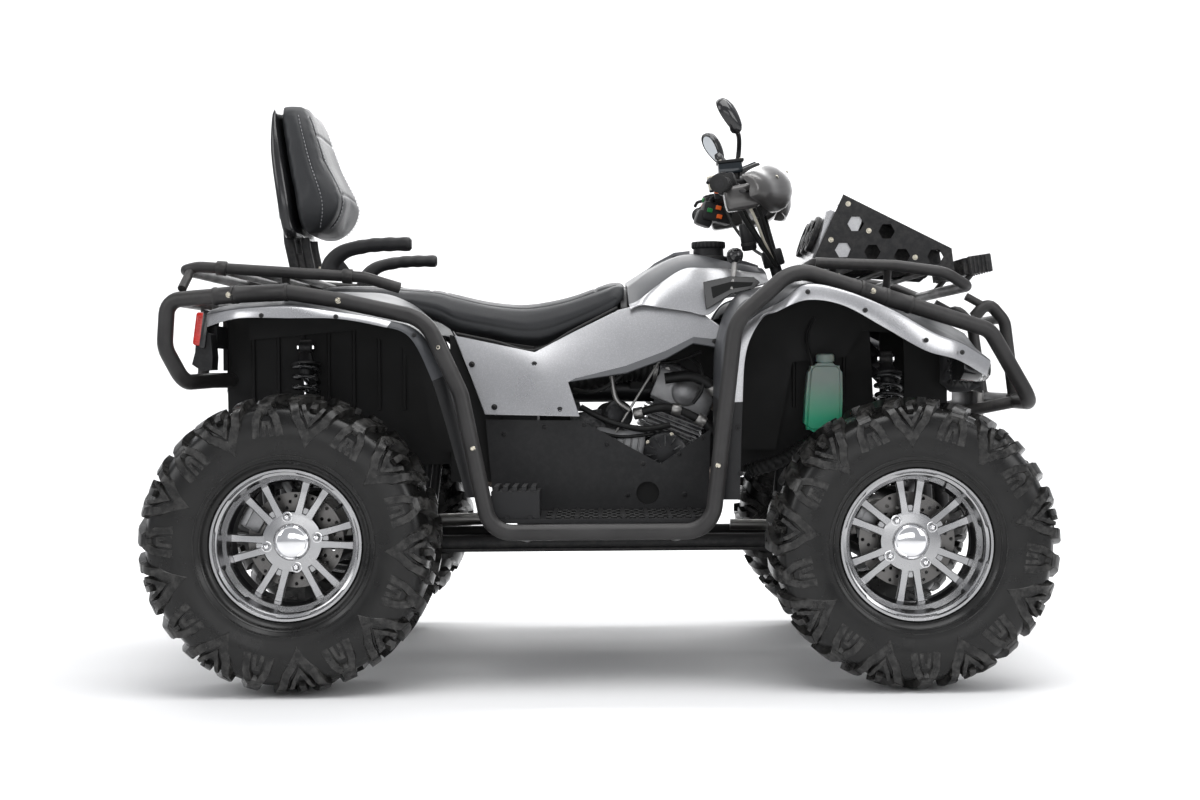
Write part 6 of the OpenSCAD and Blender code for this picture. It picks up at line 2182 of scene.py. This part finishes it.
def make_hand_guards():
    sections = [
        (
            -112,
            [
                (384, 1150), (404, 1174), (432, 1140), (450, 1100), (436, 1060), (400, 1048), (410, 1070),
                (428, 1098), (414, 1130), (396, 1148)
            ]
        ),
        (
            -150,
            [
                (378, 1152), (402, 1176), (436, 1140), (456, 1098), (438, 1054), (396, 1042), (406, 1062),
                (434, 1096), (418, 1132), (392, 1150)
            ]
        ),
        (
            -210,
            [
                (362, 1146), (388, 1162), (428, 1130), (444, 1092), (428, 1048), (382, 1038), (392, 1058),
                (424, 1090), (408, 1124), (378, 1142)
            ]
        ),
        (
            -270,
            [
                (336, 1134), (362, 1144), (398, 1116), (410, 1088), (400, 1052), (364, 1044), (374, 1062),
                (388, 1088), (376, 1110), (352, 1128)
            ]
        ),
        (
            -320,
            [
                (322, 1122), (344, 1130), (372, 1108), (384, 1086), (376, 1060), (346, 1054), (354, 1068),
                (364, 1086), (354, 1100), (336, 1116)
            ]
        ),
        (
            -348,
            [
                (310, 1112), (326, 1118), (346, 1102), (354, 1086), (348, 1068), (328, 1064), (334, 1074),
                (340, 1086), (332, 1096), (320, 1108)
            ]
        ),
    ]
    rings = [[Vector((x, y, z)) for x, z in ring] for y, ring in sections]
    columns = [smooth_line([r[j] for r in rings], 5) for j in range(10)]
    rings = [[c[i] for c in columns] for i in range(len(columns[0]))]
    s = Shape()
    s.skin(rings)
    s.block((322, -262, 1072), (80, 56, 58), (0, -10, 0), 12, 0)
    s.both()
    # bosses and the pointed visor over the lamp pod
    s.made("hand_guard_shells", "steering", ["guard grey"], "grey_satin", ["hand_guards"], angle=50, levels=1)
    v = Shape()
    tip = [(388, -66, 1158), (372, -40, 1172), (364, 0, 1178)]
    low = [(414, -104, 1112), (418, -60, 1120), (420, 0, 1124)]
    down = [(420, -108, 1080), (432, -60, 1078), (436, 0, 1078)]
    foot = [(408, -98, 1050), (420, -56, 1044), (424, 0, 1042)]
    rows = []
    for r in [[(x + 24, y, z) for x, y, z in q] for q in (tip, low, down, foot)]:
        line = smooth_line(r, 5)
        rows.append(line + [Vector(mirrored(p)) for p in reversed(line[:-1])])
    columns = [smooth_line([r[j] for r in rows], 5) for j in range(len(rows[0]))]
    v.grid([[c[i] for c in columns] for i in range(len(columns[0]))])
    v.made("bar_visor", "steering", ["guard grey"], "grey_satin", angle=50, wall=4, away_from=(360, 0, 1090))
    for y in (-150, -250):
        for sy in (1, -1):
            bolt("steering", (436 if y == -150 else 404, y * sy, 1142 if y == -150 else 1120), (0.7, 0, 0.7), 0.6)


def make_mirrors():
    s = Shape()
    n = Vector((-0.76, 0.50, -0.42)).normalized()
    up = Vector((-0.5, 0.0, 0.86))
    up = (up - n * up.dot(n)).normalized()
    side = n.cross(up)
    c = Vector((296, -290, 1254))
    rings = []
    for depth, scale in (
        (8.0, 0.93), (9.0, 0.985), (7.0, 1.0), (2.0, 1.0), (-6.0, 0.93), (-12, 0.74), (-16, 0.42), (-17, 0.1)
    ):
        ring = []
        for k in range(40):
            a = 2 * math.pi * k / 40
            # teardrop: narrower toward the stalk
            u, w = math.sin(a), math.cos(a)
            wide = 25 * (1.0 + 0.34 * u)
            ring.append(c + up * (45 * u * scale) + side * (wide * w * scale) + n * depth)
        rings.append(ring)
    s.skin(rings[::-1], 0)
    # recess and glass
    g = [c + (p - c - n * 8.0) * 0.87 + n * 8.0 for p in rings[0]]
    s.skin([[p + n * 0.2 for p in g], [p + n * 1.4 for p in g]], 1)
    stalk = smooth_line(
        [(314, -190, 1134), (319, -193, 1160), (322, -202, 1192), (318, -240, 1216), (306, -268, 1226)], 7
    )
    s.sweep(stalk, 5.6, 14, 2)
    s.turn([(5, -14), (10.5, -12), (11.5, 0), (9, 14), (5, 17)], (314, -190, 1142), (0, 0, 1), 16, 2)
    s.turn([(0, -10), (8, -10), (11, -2), (9, 8), (0, 11)], (306, -270, 1228), (-0.3, -0.5, 0.8), 16, 0)
    s.both()
    s.made(
        "mirror_heads", "steering", ["gloss plastic", "mirror glass", "frame coat"], "black_plastic", ["mirrors"],
        angle=42
    )


# ---------- lamps, nose, radiator ----------


def make_lamps():
    h = Shape()
    back = [(-246, 728), (-386, 708), (-389, 674), (-342, 656), (-246, 656)]
    front = [(-246, 718), (-380, 698), (-384, 668), (-340, 652), (-246, 652)]

    def ring(pts, x, grow=0.0):
        cy = sum(p[0] for p in pts) / len(pts)
        cz = sum(p[1] for p in pts) / len(pts)
        base = [Vector((x, cy + (y - cy) * (1 + grow), cz + (z - cz) * (1 + grow))) for y, z in pts]
        return rounded(base + [base[0]], 9)[:-1]

    h.skin(
        [
            ring(back, 798), ring(back, 802, 0.02), ring(front, 834, 0.02), ring(front, 838, 0.0),
            ring(front, 838, -0.10), ring(front, 826, -0.14)
        ],
        0
    )
    for y, r in ((-292, 27), (-346, 22)):
        bowl = [(r, 0), (r - 2, -6), (r * 0.7, -14), (r * 0.4, -18), (4, -19), (4, -2), (2.4, 1), (0, 2)]
        h.turn(bowl, (842, y, 686 if y == -292 else 680), (1, 0, 0.02), 36, 1)
        h.turn(
            [(r, -3), (r + 2.2, -2), (r + 2.2, 2), (r, 2.6)], (842, y, 686 if y == -292 else 680), (1, 0, 0.02), 36, 1
        )
    h.both()
    h.made("headlight_housings", "chassis", ["gloss plastic", "reflector"], "lamp_body", angle=40)
    g = Shape()
    g.skin(
        [
            ring(front, 838.5, 0.0), ring(front, 848, -0.03), ring(front, 857, -0.12), ring(front, 862, -0.26),
            ring(front, 864, -0.5)
        ],
        0
    )
    g.both()
    g.made("headlight_lenses", "chassis", ["clear lens"], "clear_lens", ["headlights"], angle=50)
    t = Shape()
    t.block((-884, -314, 782), (22, 106, 74), (0, 8, 0), 7, 0, 3)
    t.block((-884, -250, 790), (20, 22, 50), (0, 8, 0), 5, 1, 3)
    t.block((-872, -312, 782), (14, 118, 86), (0, 8, 0), 5, 2)
    t.both()
    t.made(
        "tail_lamps", "chassis", ["red lens", "amber lens", "gloss plastic"], "red_lens", ["tail_lights"], angle=40
    )
    # light bar: housing, cooling fins, lamps and lens
    b = Shape()
    u, w = Vector((0.98, 0, 0.14)).normalized(), Vector((-0.14, 0, 0.98)).normalized()
    c = Vector((876, 0, 922))

    def at(p):
        return c + u * p[0] + Vector((0, p[1] * 0.8, 0)) + w * p[2]

    tilt = (0, -8.1, 0)
    b.block(at((-2, 0, 0)), (46, 408, 36), tilt, 3, 0)
    fin = Shape()
    fin.block((0, 0, 0), (20, 2.6, 38), tilt, 0.8, steps=1)
    b.add_mesh(
        grown("row", fin, Count=40, First=at((-30, -245, 0)), Step=(0, 10, 0), Material=finish("frame coat")), 0
    )
    for y in (-258, 258):
        b.block(at((-4, y, 0)), (54, 8, 42), tilt, 3, 0)
        for k in range(5):
            b.block(at((-26 + k * 9, y, 0)) + Vector((0, y / 60, 0)), (4, 5, 40), tilt, 0.8, 0, 1)
    for y in (-170, 170):
        b.sweep([Vector((866, y, 908)), Vector((836, y, 872))], 7, 12, 0)
    cell = Shape()
    cell.turn([(13.5, 0), (12, -3), (7, -7), (3, -8), (3, -5), (0, -4)], (0, 0, 0), (0.98, 0, 0.14), 14, 2)
    for z in (-9.5, 9.5):
        b.add_mesh(
            grown(
                "row", cell, Count=14, First=at((21.6, -228, z * 0.9)), Step=(0, 28, 0), Material=finish("reflector")
            ),
            2
        )
    b.made(
        "light_bar_housing", "chassis", ["frame coat", "steel", "reflector"], "black_metal", ["light_bar"], angle=35
    )
    g = Shape()
    g.block(at((23.5, 0, 0)), (3.4, 400, 34), tilt, 1.2)
    g.made("light_bar_lens", "chassis", ["clear lens"], "clear_lens")


def make_nose():
    for side in (-1, 1):
        name = "right" if side < 0 else "left"
        s = Shape()
        s.plate(
            [(776, 650), (776, 758), (828, 751), (867, 688), (872, 641), (840, 628), (800, 628)],
            lambda u, v, d, k=side: (u, k * (214 + d), v), 4, 0.8
        )
        holes = Shape()
        holes.turn([(0, -9), (4.4, -9), (4.4, 9), (0, 9)], (0, 0, 0), (0, 1, 0), 6)
        spots = []
        for i in range(5):
            for j in range(5):
                x, z = 797 + i * 13 + (6.5 if j % 2 else 0), 652 + j * 12
                if x < 866 - max(0, z - 690) * 0.6:
                    spots.append((x, side * 216, z))
        cut = Shape()
        cut.add_mesh(grown(
            "spots", holes, points=spots, turns=[(0, 0, 0)] * len(spots), sizes=[1.0] * len(spots), Size=1.0,
            Material=finish("black plastic")
        ))
        tool = cut.made(f"punch_{name}", "chassis", ["black plastic"])
        o = s.made(f"nose_side_{name}", "chassis", ["black plastic"], "black_plastic")
        m = o.modifiers.new("Holes", "BOOLEAN")
        m.object, m.operation, m.solver = tool, "DIFFERENCE", "EXACT"
        bake(o)
        bpy.data.objects.remove(tool)
    s = Shape()
    outer = smooth_line(
        [(520, 868), (610, 855), (700, 836), (780, 794), (832, 756), (862, 712), (874, 668), (876, 632)], 5
    )
    rows = []
    for p in outer:
        w = 210
        rows.append([Vector((p[0], y, p[1] - 6 * (abs(y) / w) ** 4)) for y in (
            -w, -w * 0.8, -w * 0.4, 0, w * 0.4, w * 0.8, w
        )])
    s.grid(rows)
    s.made(
        "nose_cover", "chassis", ["black plastic"], "black_plastic", ["nose"], angle=30, wall=4,
        away_from=(600, 0, 500)
    )
    # grille slats and the winch roller guide under the nose
    g = Shape()
    slat = Shape()
    slat.block((0, 0, 0), (7, 300, 5), (0, 20, 0), 1.2, steps=1)
    g.add_mesh(
        grown("row", slat, Count=6, First=(872, 0, 655), Step=(-1.5, 0, 12), Material=finish("gloss plastic")), 0
    )
    g.block((876, 0, 600), (12, 250, 58), (0, 0, 0), 3, 1)
    for y in (-84, 84):
        g.turn([(0, -30), (11, -30), (12, -26), (12, 26), (11, 30), (0, 30)], (893, y, 600), (0, 0, 1), 20, 2)
    for z in (578, 622):
        g.turn([(0, -76), (9, -76), (10, -72), (10, 72), (9, 76), (0, 76)], (893, 0, z), (0, 1, 0), 20, 2)
    g.made("grille_and_fairlead", "chassis", ["gloss plastic", "frame coat", "steel"], angle=35)


def make_radiator():
    u, w = Vector((0.377, 0, 0.926)).normalized(), Vector((0.926, 0, -0.377)).normalized()
    c = Vector((510, 0, 925))

    def at(p):
        return c + u * p[0] + Vector((0, p[1], 0)) + w * p[2]

    s = Shape()
    for y in (-112, 0, 112):
        mid = at((78, y, 34))
        s.turn([(46, -14), (52, -14), (53, 4), (50, 6), (46, 4)], mid, -w, 44, 0, closed=True)
        s.turn([(0, -4), (15, -4), (17, 2), (14, 6), (0, 7)], mid, -w, 24, 0)
        for k in range(7):
            a = 2 * math.pi * k / 7
            r1, r2 = 15, 44
            e = Vector((0, 1, 0)) * math.cos(a) + u * math.sin(a)
            f = Vector((0, 1, 0)) * -math.sin(a) + u * math.cos(a)
            s.skin(
                [[mid + e * r + f * q[0] * (1 + (r - 15) / 40) - w * q[1] for q in (
                    (-5, 2), (5, -3), (5.4, -1.6), (-4.6, 3.4)
                )] for r in (r1, (r1 + r2) / 2, r2)],
                0
            )
    # core fins and tanks on the cool side
    fin = Shape()
    fin.block((0, 0, 0), (1.4, 4.0, 112), (0, 22.2, 0), 0, steps=1)
    s.add_mesh(grown("row", fin, Count=88, First=at((78, -183, 52)), Step=(0, 4.2, 0), Material=finish("fins")), 1)
    for h in (20, 78, 136):
        s.block(at((h, 0, 53)), (7, 382, 5), (0, 22.2 - 90 + 90, 0), 1.2, 2)
    s.made("fans_and_core", "chassis", ["black plastic", "fins", "radiator metal"], angle=35)
    coat_node("radiator", "radiator metal")
    coat_node("radiator_guard", "frame coat")
    for x, z in ((572, 1062), (619, 1000), (532, 980), (725, 938)):
        bolt_both("chassis", (x, -199.2, z), (0, -1, 0), 0.72, "bolt", "zinc")
    k = Shape()
    k.plate([(566, 1074), (800, 956), (808, 910), (800, 904), (500, 928)], lambda p, q, d: (p, -96 - d, q), 3, 0.6)
    k.plate(
        [(-186, 0), (186, 0), (186, 262), (-186, 262)],
        lambda p, q, d: (570 + q * 0.893 - d * 0.45, p, 1076 - q * 0.45 - d * 0.893), 3, 0.6
    )
    k.both()
    # silver shroud round the fans, behind the guard
    k.skin(
        [[
            (x - 16, y, 930 + dz), (x - 20, y, 940 + dz), (x + 30 - rise, y, 1072 - rise),
            (x + 40 - rise, y, 1076 - rise), (x + 48, y, 1060 - rise), (x + 2, y, 930 + dz)
        ]
         for y, x, dz, rise in (
             (-182, 520, 6, 26), (-170, 512, 0, 8), (-60, 508, 0, 0), (60, 508, 0, 0), (170, 512, 0, 8),
             (182, 520, 6, 26)
         )], 1)
    for y in (-96, 0, 96):
        k.turn([(34, -6), (42, -6), (44, 2), (42, 7), (34, 7)], (504, y, 1000), (-0.94, 0, 0.34), 40, 0, closed=True)
        k.turn([(0, -2), (40, -2), (40, 1), (0, 1)], (507, y, 999), (-0.94, 0, 0.34), 40, 0)
        k.turn([(0, -2), (12, -2), (13, 6), (0, 8)], (504, y, 1000), (-0.94, 0, 0.34), 24, 0)
    k.made("guard_inner_walls", "chassis", ["frame coat", "silver paint"], angle=35)
    # coolant bottle with its cap and overflow hose
    b = Shape()
    b.plate(
        [
            (460, 552), (472, 541), (524, 541), (544, 560), (547, 620), (546, 684), (534, 696), (482, 696),
            (470, 684), (464, 620)
        ],
        lambda u2, v, d: (u2, -226 - d, v), 54, 9, 0, steps=3,
    )
    b.turn([(0, -4), (19, -4), (19, 6), (17, 8), (17, 12)], (510, -252, 690), (0, 0, 1), 28, 0)
    b.turn([(17, 0), (21, 0), (21, 14), (18, 17), (0, 17)], (510, -252, 700), (0, 0, 1), 18, 1)
    b.sweep(smooth_line([(484, -252, 686), (476, -250, 716), (470, -236, 760), (490, -218, 800)], 8), 4, 10, 2)
    b.made(
        "coolant_bottle_moulded", "chassis", ["milky bottle", "milky bottle", "hose rubber"], "bottle",
        ["coolant_bottle"], angle=40
    )


# ---------- finishes of the CAD nodes ----------


def coat_nodes():
    for name, look in (
        ("frame", "frame coat"), ("outriggers", "frame coat"), ("engine", "engine black"), ("exhaust", "exhaust steel"), ("footwells", "black plastic"),
        (
            "wheel_arch_liners", "liner plastic"
        ), ("tail_panel", "black plastic"), ("front_arms", "frame coat"), ("rear_arms", "frame coat"),
        ("front_axle", "steel"), ("rear_axle", "steel"), (
            "knuckle_right", "cast aluminium"
        ), ("knuckle_left", "cast aluminium"),
        ("tie_rod_right", "steel"), ("tie_rod_left", "steel"),
    ):
        coat_node(name, look)
    for x, z in (
        (-220, 540), (-128, 556), (-38, 560), (14, 516), (96, 470), (178, 492), (232, 530), (-222, 420), (60, 400),
        (190, 400)
    ):
        bolt_both("chassis", (x, -240.2, z), (0, -1, 0), 0.75, "bolt", "frame coat")
    w = Shape()
    w.plate([
        (-862, 700), (-862, 822), (-790, 838), (-600, 836), (-470, 822), (-392, 772), (-352, 676), (-318, 560),
        (-300, 470), (-420, 470), (-560, 500), (-860, 560)
    ],
            lambda u, v, d: (u, -184 + d, v), 3, 0.8)
    w.plate(
        [(262, 440), (268, 720), (300, 820), (384, 856), (520, 856), (620, 822), (632, 560), (560, 500), (420, 455)],
        lambda u, v, d: (u, -182 + d, v), 3, 0.8
    )
    w.plate([(700, 580), (700, 796), (760, 758), (800, 700), (800, 580)], lambda u, v, d: (u, -182 + d, v), 3, 0.8)
    ridge = Shape()
    ridge.block((0, 0, 0), (9, 5, 190), edge=2, steps=1)
    w.add_mesh(grown(
        "row", ridge, Count=7, First=(-800, -187, 690), Step=(58, 0, 0), Material=finish("liner plastic")
    ))
    w.add_mesh(grown(
        "row", ridge, Count=5, First=(330, -185, 690), Step=(58, 0, 0), Material=finish("liner plastic")
    ))
    w.plate(
        [(-345, 430), (-345, 768), (-150, 740), (-150, 600), (-232, 590), (-232, 430)],
        lambda u, v, d: (u, -205 + d, v), 3, 0.8
    )
    w.plate([(70, 640), (70, 704), (150, 716), (300, 776), (300, 640)], lambda u, v, d: (u, -60 + d, v), 3, 0.8)
    w.turn([(0, 0), (34, 0), (34, 2), (0, 2)], (106, -230, 404), (0, -1, 0), 30)
    w.both()
    w.made("arch_walls", "chassis", ["liner plastic"], angle=30)
    # rubber lugs on the footboards
    s = Shape()
    lug = Shape()
    lug.block((0, 0, 0), (14, 7, 5), (0, 0, 0), 1.4, steps=1)
    for j in range(6):
        s.add_mesh(
            grown(
                "row", lug, Count=17, First=(-112 + (j % 2) * 10, -470 + j * 38, 368), Step=(20, 0, 0),
                Material=finish("grip rubber")
            ),
            0
        )
    s.both()
    s.made("footboard_treads", "chassis", ["grip rubber", "frame coat"], angle=35)


# ---------- stage ----------


def floor_material(s):
    m = bpy.data.materials.new("floor")
    m.use_nodes = True
    t = m.node_tree
    shader = t.nodes["Principled BSDF"]
    place = node(t, "ShaderNodeTexCoord")
    n = node(t, "ShaderNodeTexNoise", {"Vector": place.outputs["Object"], "Scale": 1.4, "Detail": 3.0})
    base = list(s.floor)
    t.links.new(mixed(t, n.outputs["Fac"], [c * 0.99 for c in base], base), shader.inputs["Base Color"])
    shader.inputs["Roughness"].default_value = 0.75
    # seen from behind, the backdrop is clear, so a camera beyond it still sees the quad
    away, clear, mix = (t.nodes.new(k) for k in (
        "ShaderNodeNewGeometry", "ShaderNodeBsdfTransparent", "ShaderNodeMixShader"
    ))
    t.links.new(away.outputs["Backfacing"], mix.inputs[0])
    t.links.new(shader.outputs[0], mix.inputs[1])
    t.links.new(clear.outputs[0], mix.inputs[2])
    t.links.new(mix.outputs[0], t.nodes["Material Output"].inputs["Surface"])
    return m


# camera beside the quad, in metres, and its pitch, yaw and roll in degrees
CAMERA_PLACE = (MID_X + 0.010, -4.255, 0.678)
CAMERA_TURN = (-0.877, 0.16, -0.45)


def make_stage():
    s = bpy.context.scene.quad_stage
    scene = bpy.context.scene
    # floor that sweeps up into a backdrop
    r, back = 1.6, 5.0
    line = [(y, 0.0) for y in (-14.0, -6.0, -2.0, 0.0, back - r)]
    line += [(back - r + r * math.sin(a), r - r * math.cos(a)) for a in (k * math.pi / 24 for k in range(1, 13))]
    line += [(back, 9.0)]
    mesh = bpy.data.meshes.new("floor")
    verts = [(x, y, z - 0.0005) for x in (-12.0, 12.0) for y, z in line]
    n = len(line)
    mesh.from_pydata(verts, [], [(i, n + i, n + i + 1, i + 1) for i in range(n - 1)])
    mesh.materials.append(floor_material(s))
    for f in mesh.polygons:
        f.use_smooth = True
    o = bpy.data.objects.new("floor", mesh)
    scene.collection.objects.link(o)
    for name, place, aim, size, power in (
        ("key", (0.6, -1.2, 3.6), (0, 0, 0.4), (3.6, 2.6), s.key),
        ("front side", (3.4, -3.0, 2.0), (0.3, 0, 0.5), (2.0, 2.0), s.fill),
        ("rear side", (-3.6, -2.6, 2.2), (-0.3, 0, 0.5), (2.2, 2.0), s.fill),
        ("low near", (0.0, -4.6, 0.9), (0, 0, 0.5), (3.4, 0.9), s.fill * 0.45),
        ("behind", (0.4, 3.2, 2.6), (0, 0, 0.7), (3.0, 1.2), s.fill * 0.8),
        ("backdrop", (0.0, 1.4, 4.2), (0, 4.6, 0.6), (7.0, 1.4), s.key * 2.2),
    ):
        light = bpy.data.lights.new(name, "AREA")
        light.shape, light.size, light.size_y, light.energy = "RECTANGLE", size[0], size[1], power
        lamp = bpy.data.objects.new(name, light)
        lamp.location = place
        lamp.rotation_euler = (Vector(aim) - Vector(place)).to_track_quat("-Z", "Y").to_euler()
        scene.collection.objects.link(lamp)
    world = bpy.data.worlds.new("studio")
    world.use_nodes = True
    bg = world.node_tree.nodes["Background"]
    bg.inputs["Color"].default_value = (0.93, 0.95, 1.0, 1)
    bg.inputs["Strength"].default_value = 0.5
    scene.world = world
    scene.view_settings.view_transform = "Standard"
    cam = bpy.data.cameras.new("camera")
    cam.lens, cam.sensor_width = s.lens, 36.0
    camera = bpy.data.objects.new("camera", cam)
    camera.location = CAMERA_PLACE
    pitch, yaw, roll = (math.radians(a) for a in CAMERA_TURN)
    look = Matrix.Rotation(yaw, 3, "Z") @ Matrix.Rotation(math.pi / 2 + pitch, 3, "X") @ Matrix.Rotation(roll, 3, "Z")
    camera.rotation_euler = look.to_euler()
    scene.collection.objects.link(camera)
    scene.camera = camera


# ---------- operators and panel ----------


class QUAD_OT_wheels(bpy.types.Operator):
    """Moulds the tyres with their tread lugs, and the split-spoke rims with drilled discs"""

    bl_idname = "quad.wheels"
    bl_label = "Wheels"

    def execute(self, context):
        for name in WHEELS:
            w = Wheel(name)
            make_tyre(w)
            make_rim(w)
        return {"FINISHED"}


class QUAD_OT_fenders(bpy.types.Operator):
    """Makes the four fenders with their silver lip bands"""

    bl_idname = "quad.fenders"
    bl_label = "Fenders"

    def execute(self, context):
        make_fenders()
        return {"FINISHED"}


class QUAD_OT_side_panels(bpy.types.Operator):
    """Makes the faceted side panels and the seal along the seat"""

    bl_idname = "quad.side_panels"
    bl_label = "Side panels"

    def execute(self, context):
        make_side_panels()
        return {"FINISHED"}


class QUAD_OT_tank(bpy.types.Operator):
    """Makes the tank cover, its cap and the gear lever"""

    bl_idname = "quad.tank"
    bl_label = "Tank cover"

    def execute(self, context):
        make_tank()
        return {"FINISHED"}


class QUAD_OT_guards(bpy.types.Operator):
    """Makes the side guards, both bumpers and the tow hooks"""

    bl_idname = "quad.guards"
    bl_label = "Guards and bumpers"

    def execute(self, context):
        make_guards()
        return {"FINISHED"}


class QUAD_OT_racks(bpy.types.Operator):
    """Makes the racks and the passenger's handles"""

    bl_idname = "quad.racks"
    bl_label = "Racks"

    def execute(self, context):
        make_racks()
        return {"FINISHED"}


class QUAD_OT_seat(bpy.types.Operator):
    """Makes the long seat with its sewn channels"""

    bl_idname = "quad.seat"
    bl_label = "Seat"

    def execute(self, context):
        make_seat()
        return {"FINISHED"}


class QUAD_OT_backrest(bpy.types.Operator):
    """Makes the backrest's cover, shell and posts"""

    bl_idname = "quad.backrest"
    bl_label = "Backrest"

    def execute(self, context):
        make_backrest()
        return {"FINISHED"}


class QUAD_OT_shocks(bpy.types.Operator):
    """Makes the shock absorbers with real coils"""

    bl_idname = "quad.shocks"
    bl_label = "Shock absorbers"

    def execute(self, context):
        make_shocks()
        return {"FINISHED"}


class QUAD_OT_running_gear(bpy.types.Operator):
    """Makes the shaft boots and brake calipers"""

    bl_idname = "quad.running_gear"
    bl_label = "Running gear"

    def execute(self, context):
        make_running_gear()
        return {"FINISHED"}


class QUAD_OT_engine(bpy.types.Operator):
    """Makes the engine's covers, fins, hoses and rods"""

    bl_idname = "quad.engine"
    bl_label = "Engine detail"

    def execute(self, context):
        make_engine()
        return {"FINISHED"}


class QUAD_OT_controls(bpy.types.Operator):
    """Makes the grips, switches, levers, hand guards, cables and mirrors"""

    bl_idname = "quad.controls"
    bl_label = "Controls"

    def execute(self, context):
        make_controls()
        return {"FINISHED"}


class QUAD_OT_lamps(bpy.types.Operator):
    """Makes the headlights, tail lamps and light bar"""

    bl_idname = "quad.lamps"
    bl_label = "Lamps"

    def execute(self, context):
        make_lamps()
        return {"FINISHED"}


class QUAD_OT_nose(bpy.types.Operator):
    """Makes the nose cover with its drilled sides and grille"""

    bl_idname = "quad.nose"
    bl_label = "Nose"

    def execute(self, context):
        make_nose()
        return {"FINISHED"}


class QUAD_OT_radiator(bpy.types.Operator):
    """Makes the fans, core, guard bolts and coolant bottle"""

    bl_idname = "quad.radiator"
    bl_label = "Radiator"

    def execute(self, context):
        make_radiator()
        return {"FINISHED"}


class QUAD_OT_cad_finishes(bpy.types.Operator):
    """Gives the frame, axles and footwells their finishes and footboard treads"""

    bl_idname = "quad.cad_finishes"
    bl_label = "Frame finishes"

    def execute(self, context):
        coat_nodes()
        return {"FINISHED"}


class QUAD_OT_fasteners(bpy.types.Operator):
    """Sets every screw head noted by the other pieces"""

    bl_idname = "quad.fasteners"
    bl_label = "Fasteners"

    def execute(self, context):
        make_fasteners()
        return {"FINISHED"}


class QUAD_OT_stage(bpy.types.Operator):
    """Makes the floor, lights and camera"""

    bl_idname = "quad.stage"
    bl_label = "Stage"

    def execute(self, context):
        make_stage()
        return {"FINISHED"}


OPERATORS = (
    QUAD_OT_wheels,
    QUAD_OT_fenders,
    QUAD_OT_side_panels,
    QUAD_OT_tank,
    QUAD_OT_guards,
    QUAD_OT_racks,
    QUAD_OT_seat,
    QUAD_OT_backrest,
    QUAD_OT_shocks,
    QUAD_OT_running_gear,
    QUAD_OT_engine,
    QUAD_OT_controls,
    QUAD_OT_lamps,
    QUAD_OT_nose,
    QUAD_OT_radiator,
    QUAD_OT_cad_finishes,
    QUAD_OT_fasteners,
    QUAD_OT_stage,
)


class QUAD_PT_panel(bpy.types.Panel):
    bl_idname = "QUAD_PT_panel"
    bl_label = "Quad bike"
    bl_space_type = "VIEW_3D"
    bl_region_type = "UI"
    bl_category = "Quad bike"

    def draw(self, context):
        for name in GROUPS_OF_SETTINGS:
            box = self.layout.box()
            settings = getattr(context.scene, name)
            for key in settings.__annotations__:
                box.prop(settings, key)
        for op in OPERATORS:
            self.layout.operator(op.bl_idname)


GROUPS_OF_SETTINGS = {
    "quad_wheels": QuadWheels, "quad_paint": QuadPaint, "quad_seat": QuadSeat, "quad_stage": QuadStage
}
CLASSES = (*GROUPS_OF_SETTINGS.values(), *OPERATORS, QUAD_PT_panel)


def register():
    for c in CLASSES:
        bpy.utils.register_class(c)
    for name, c in GROUPS_OF_SETTINGS.items():
        setattr(bpy.types.Scene, name, bpy.props.PointerProperty(type=c))


def unregister():
    for name in GROUPS_OF_SETTINGS:
        delattr(bpy.types.Scene, name)
    for c in reversed(CLASSES):
        bpy.utils.unregister_class(c)


def main():
    register()
    for op in OPERATORS:
        group, name = op.bl_idname.split(".")
        getattr(getattr(bpy.ops, group), name)()


if __name__ == "__main__":
    main()
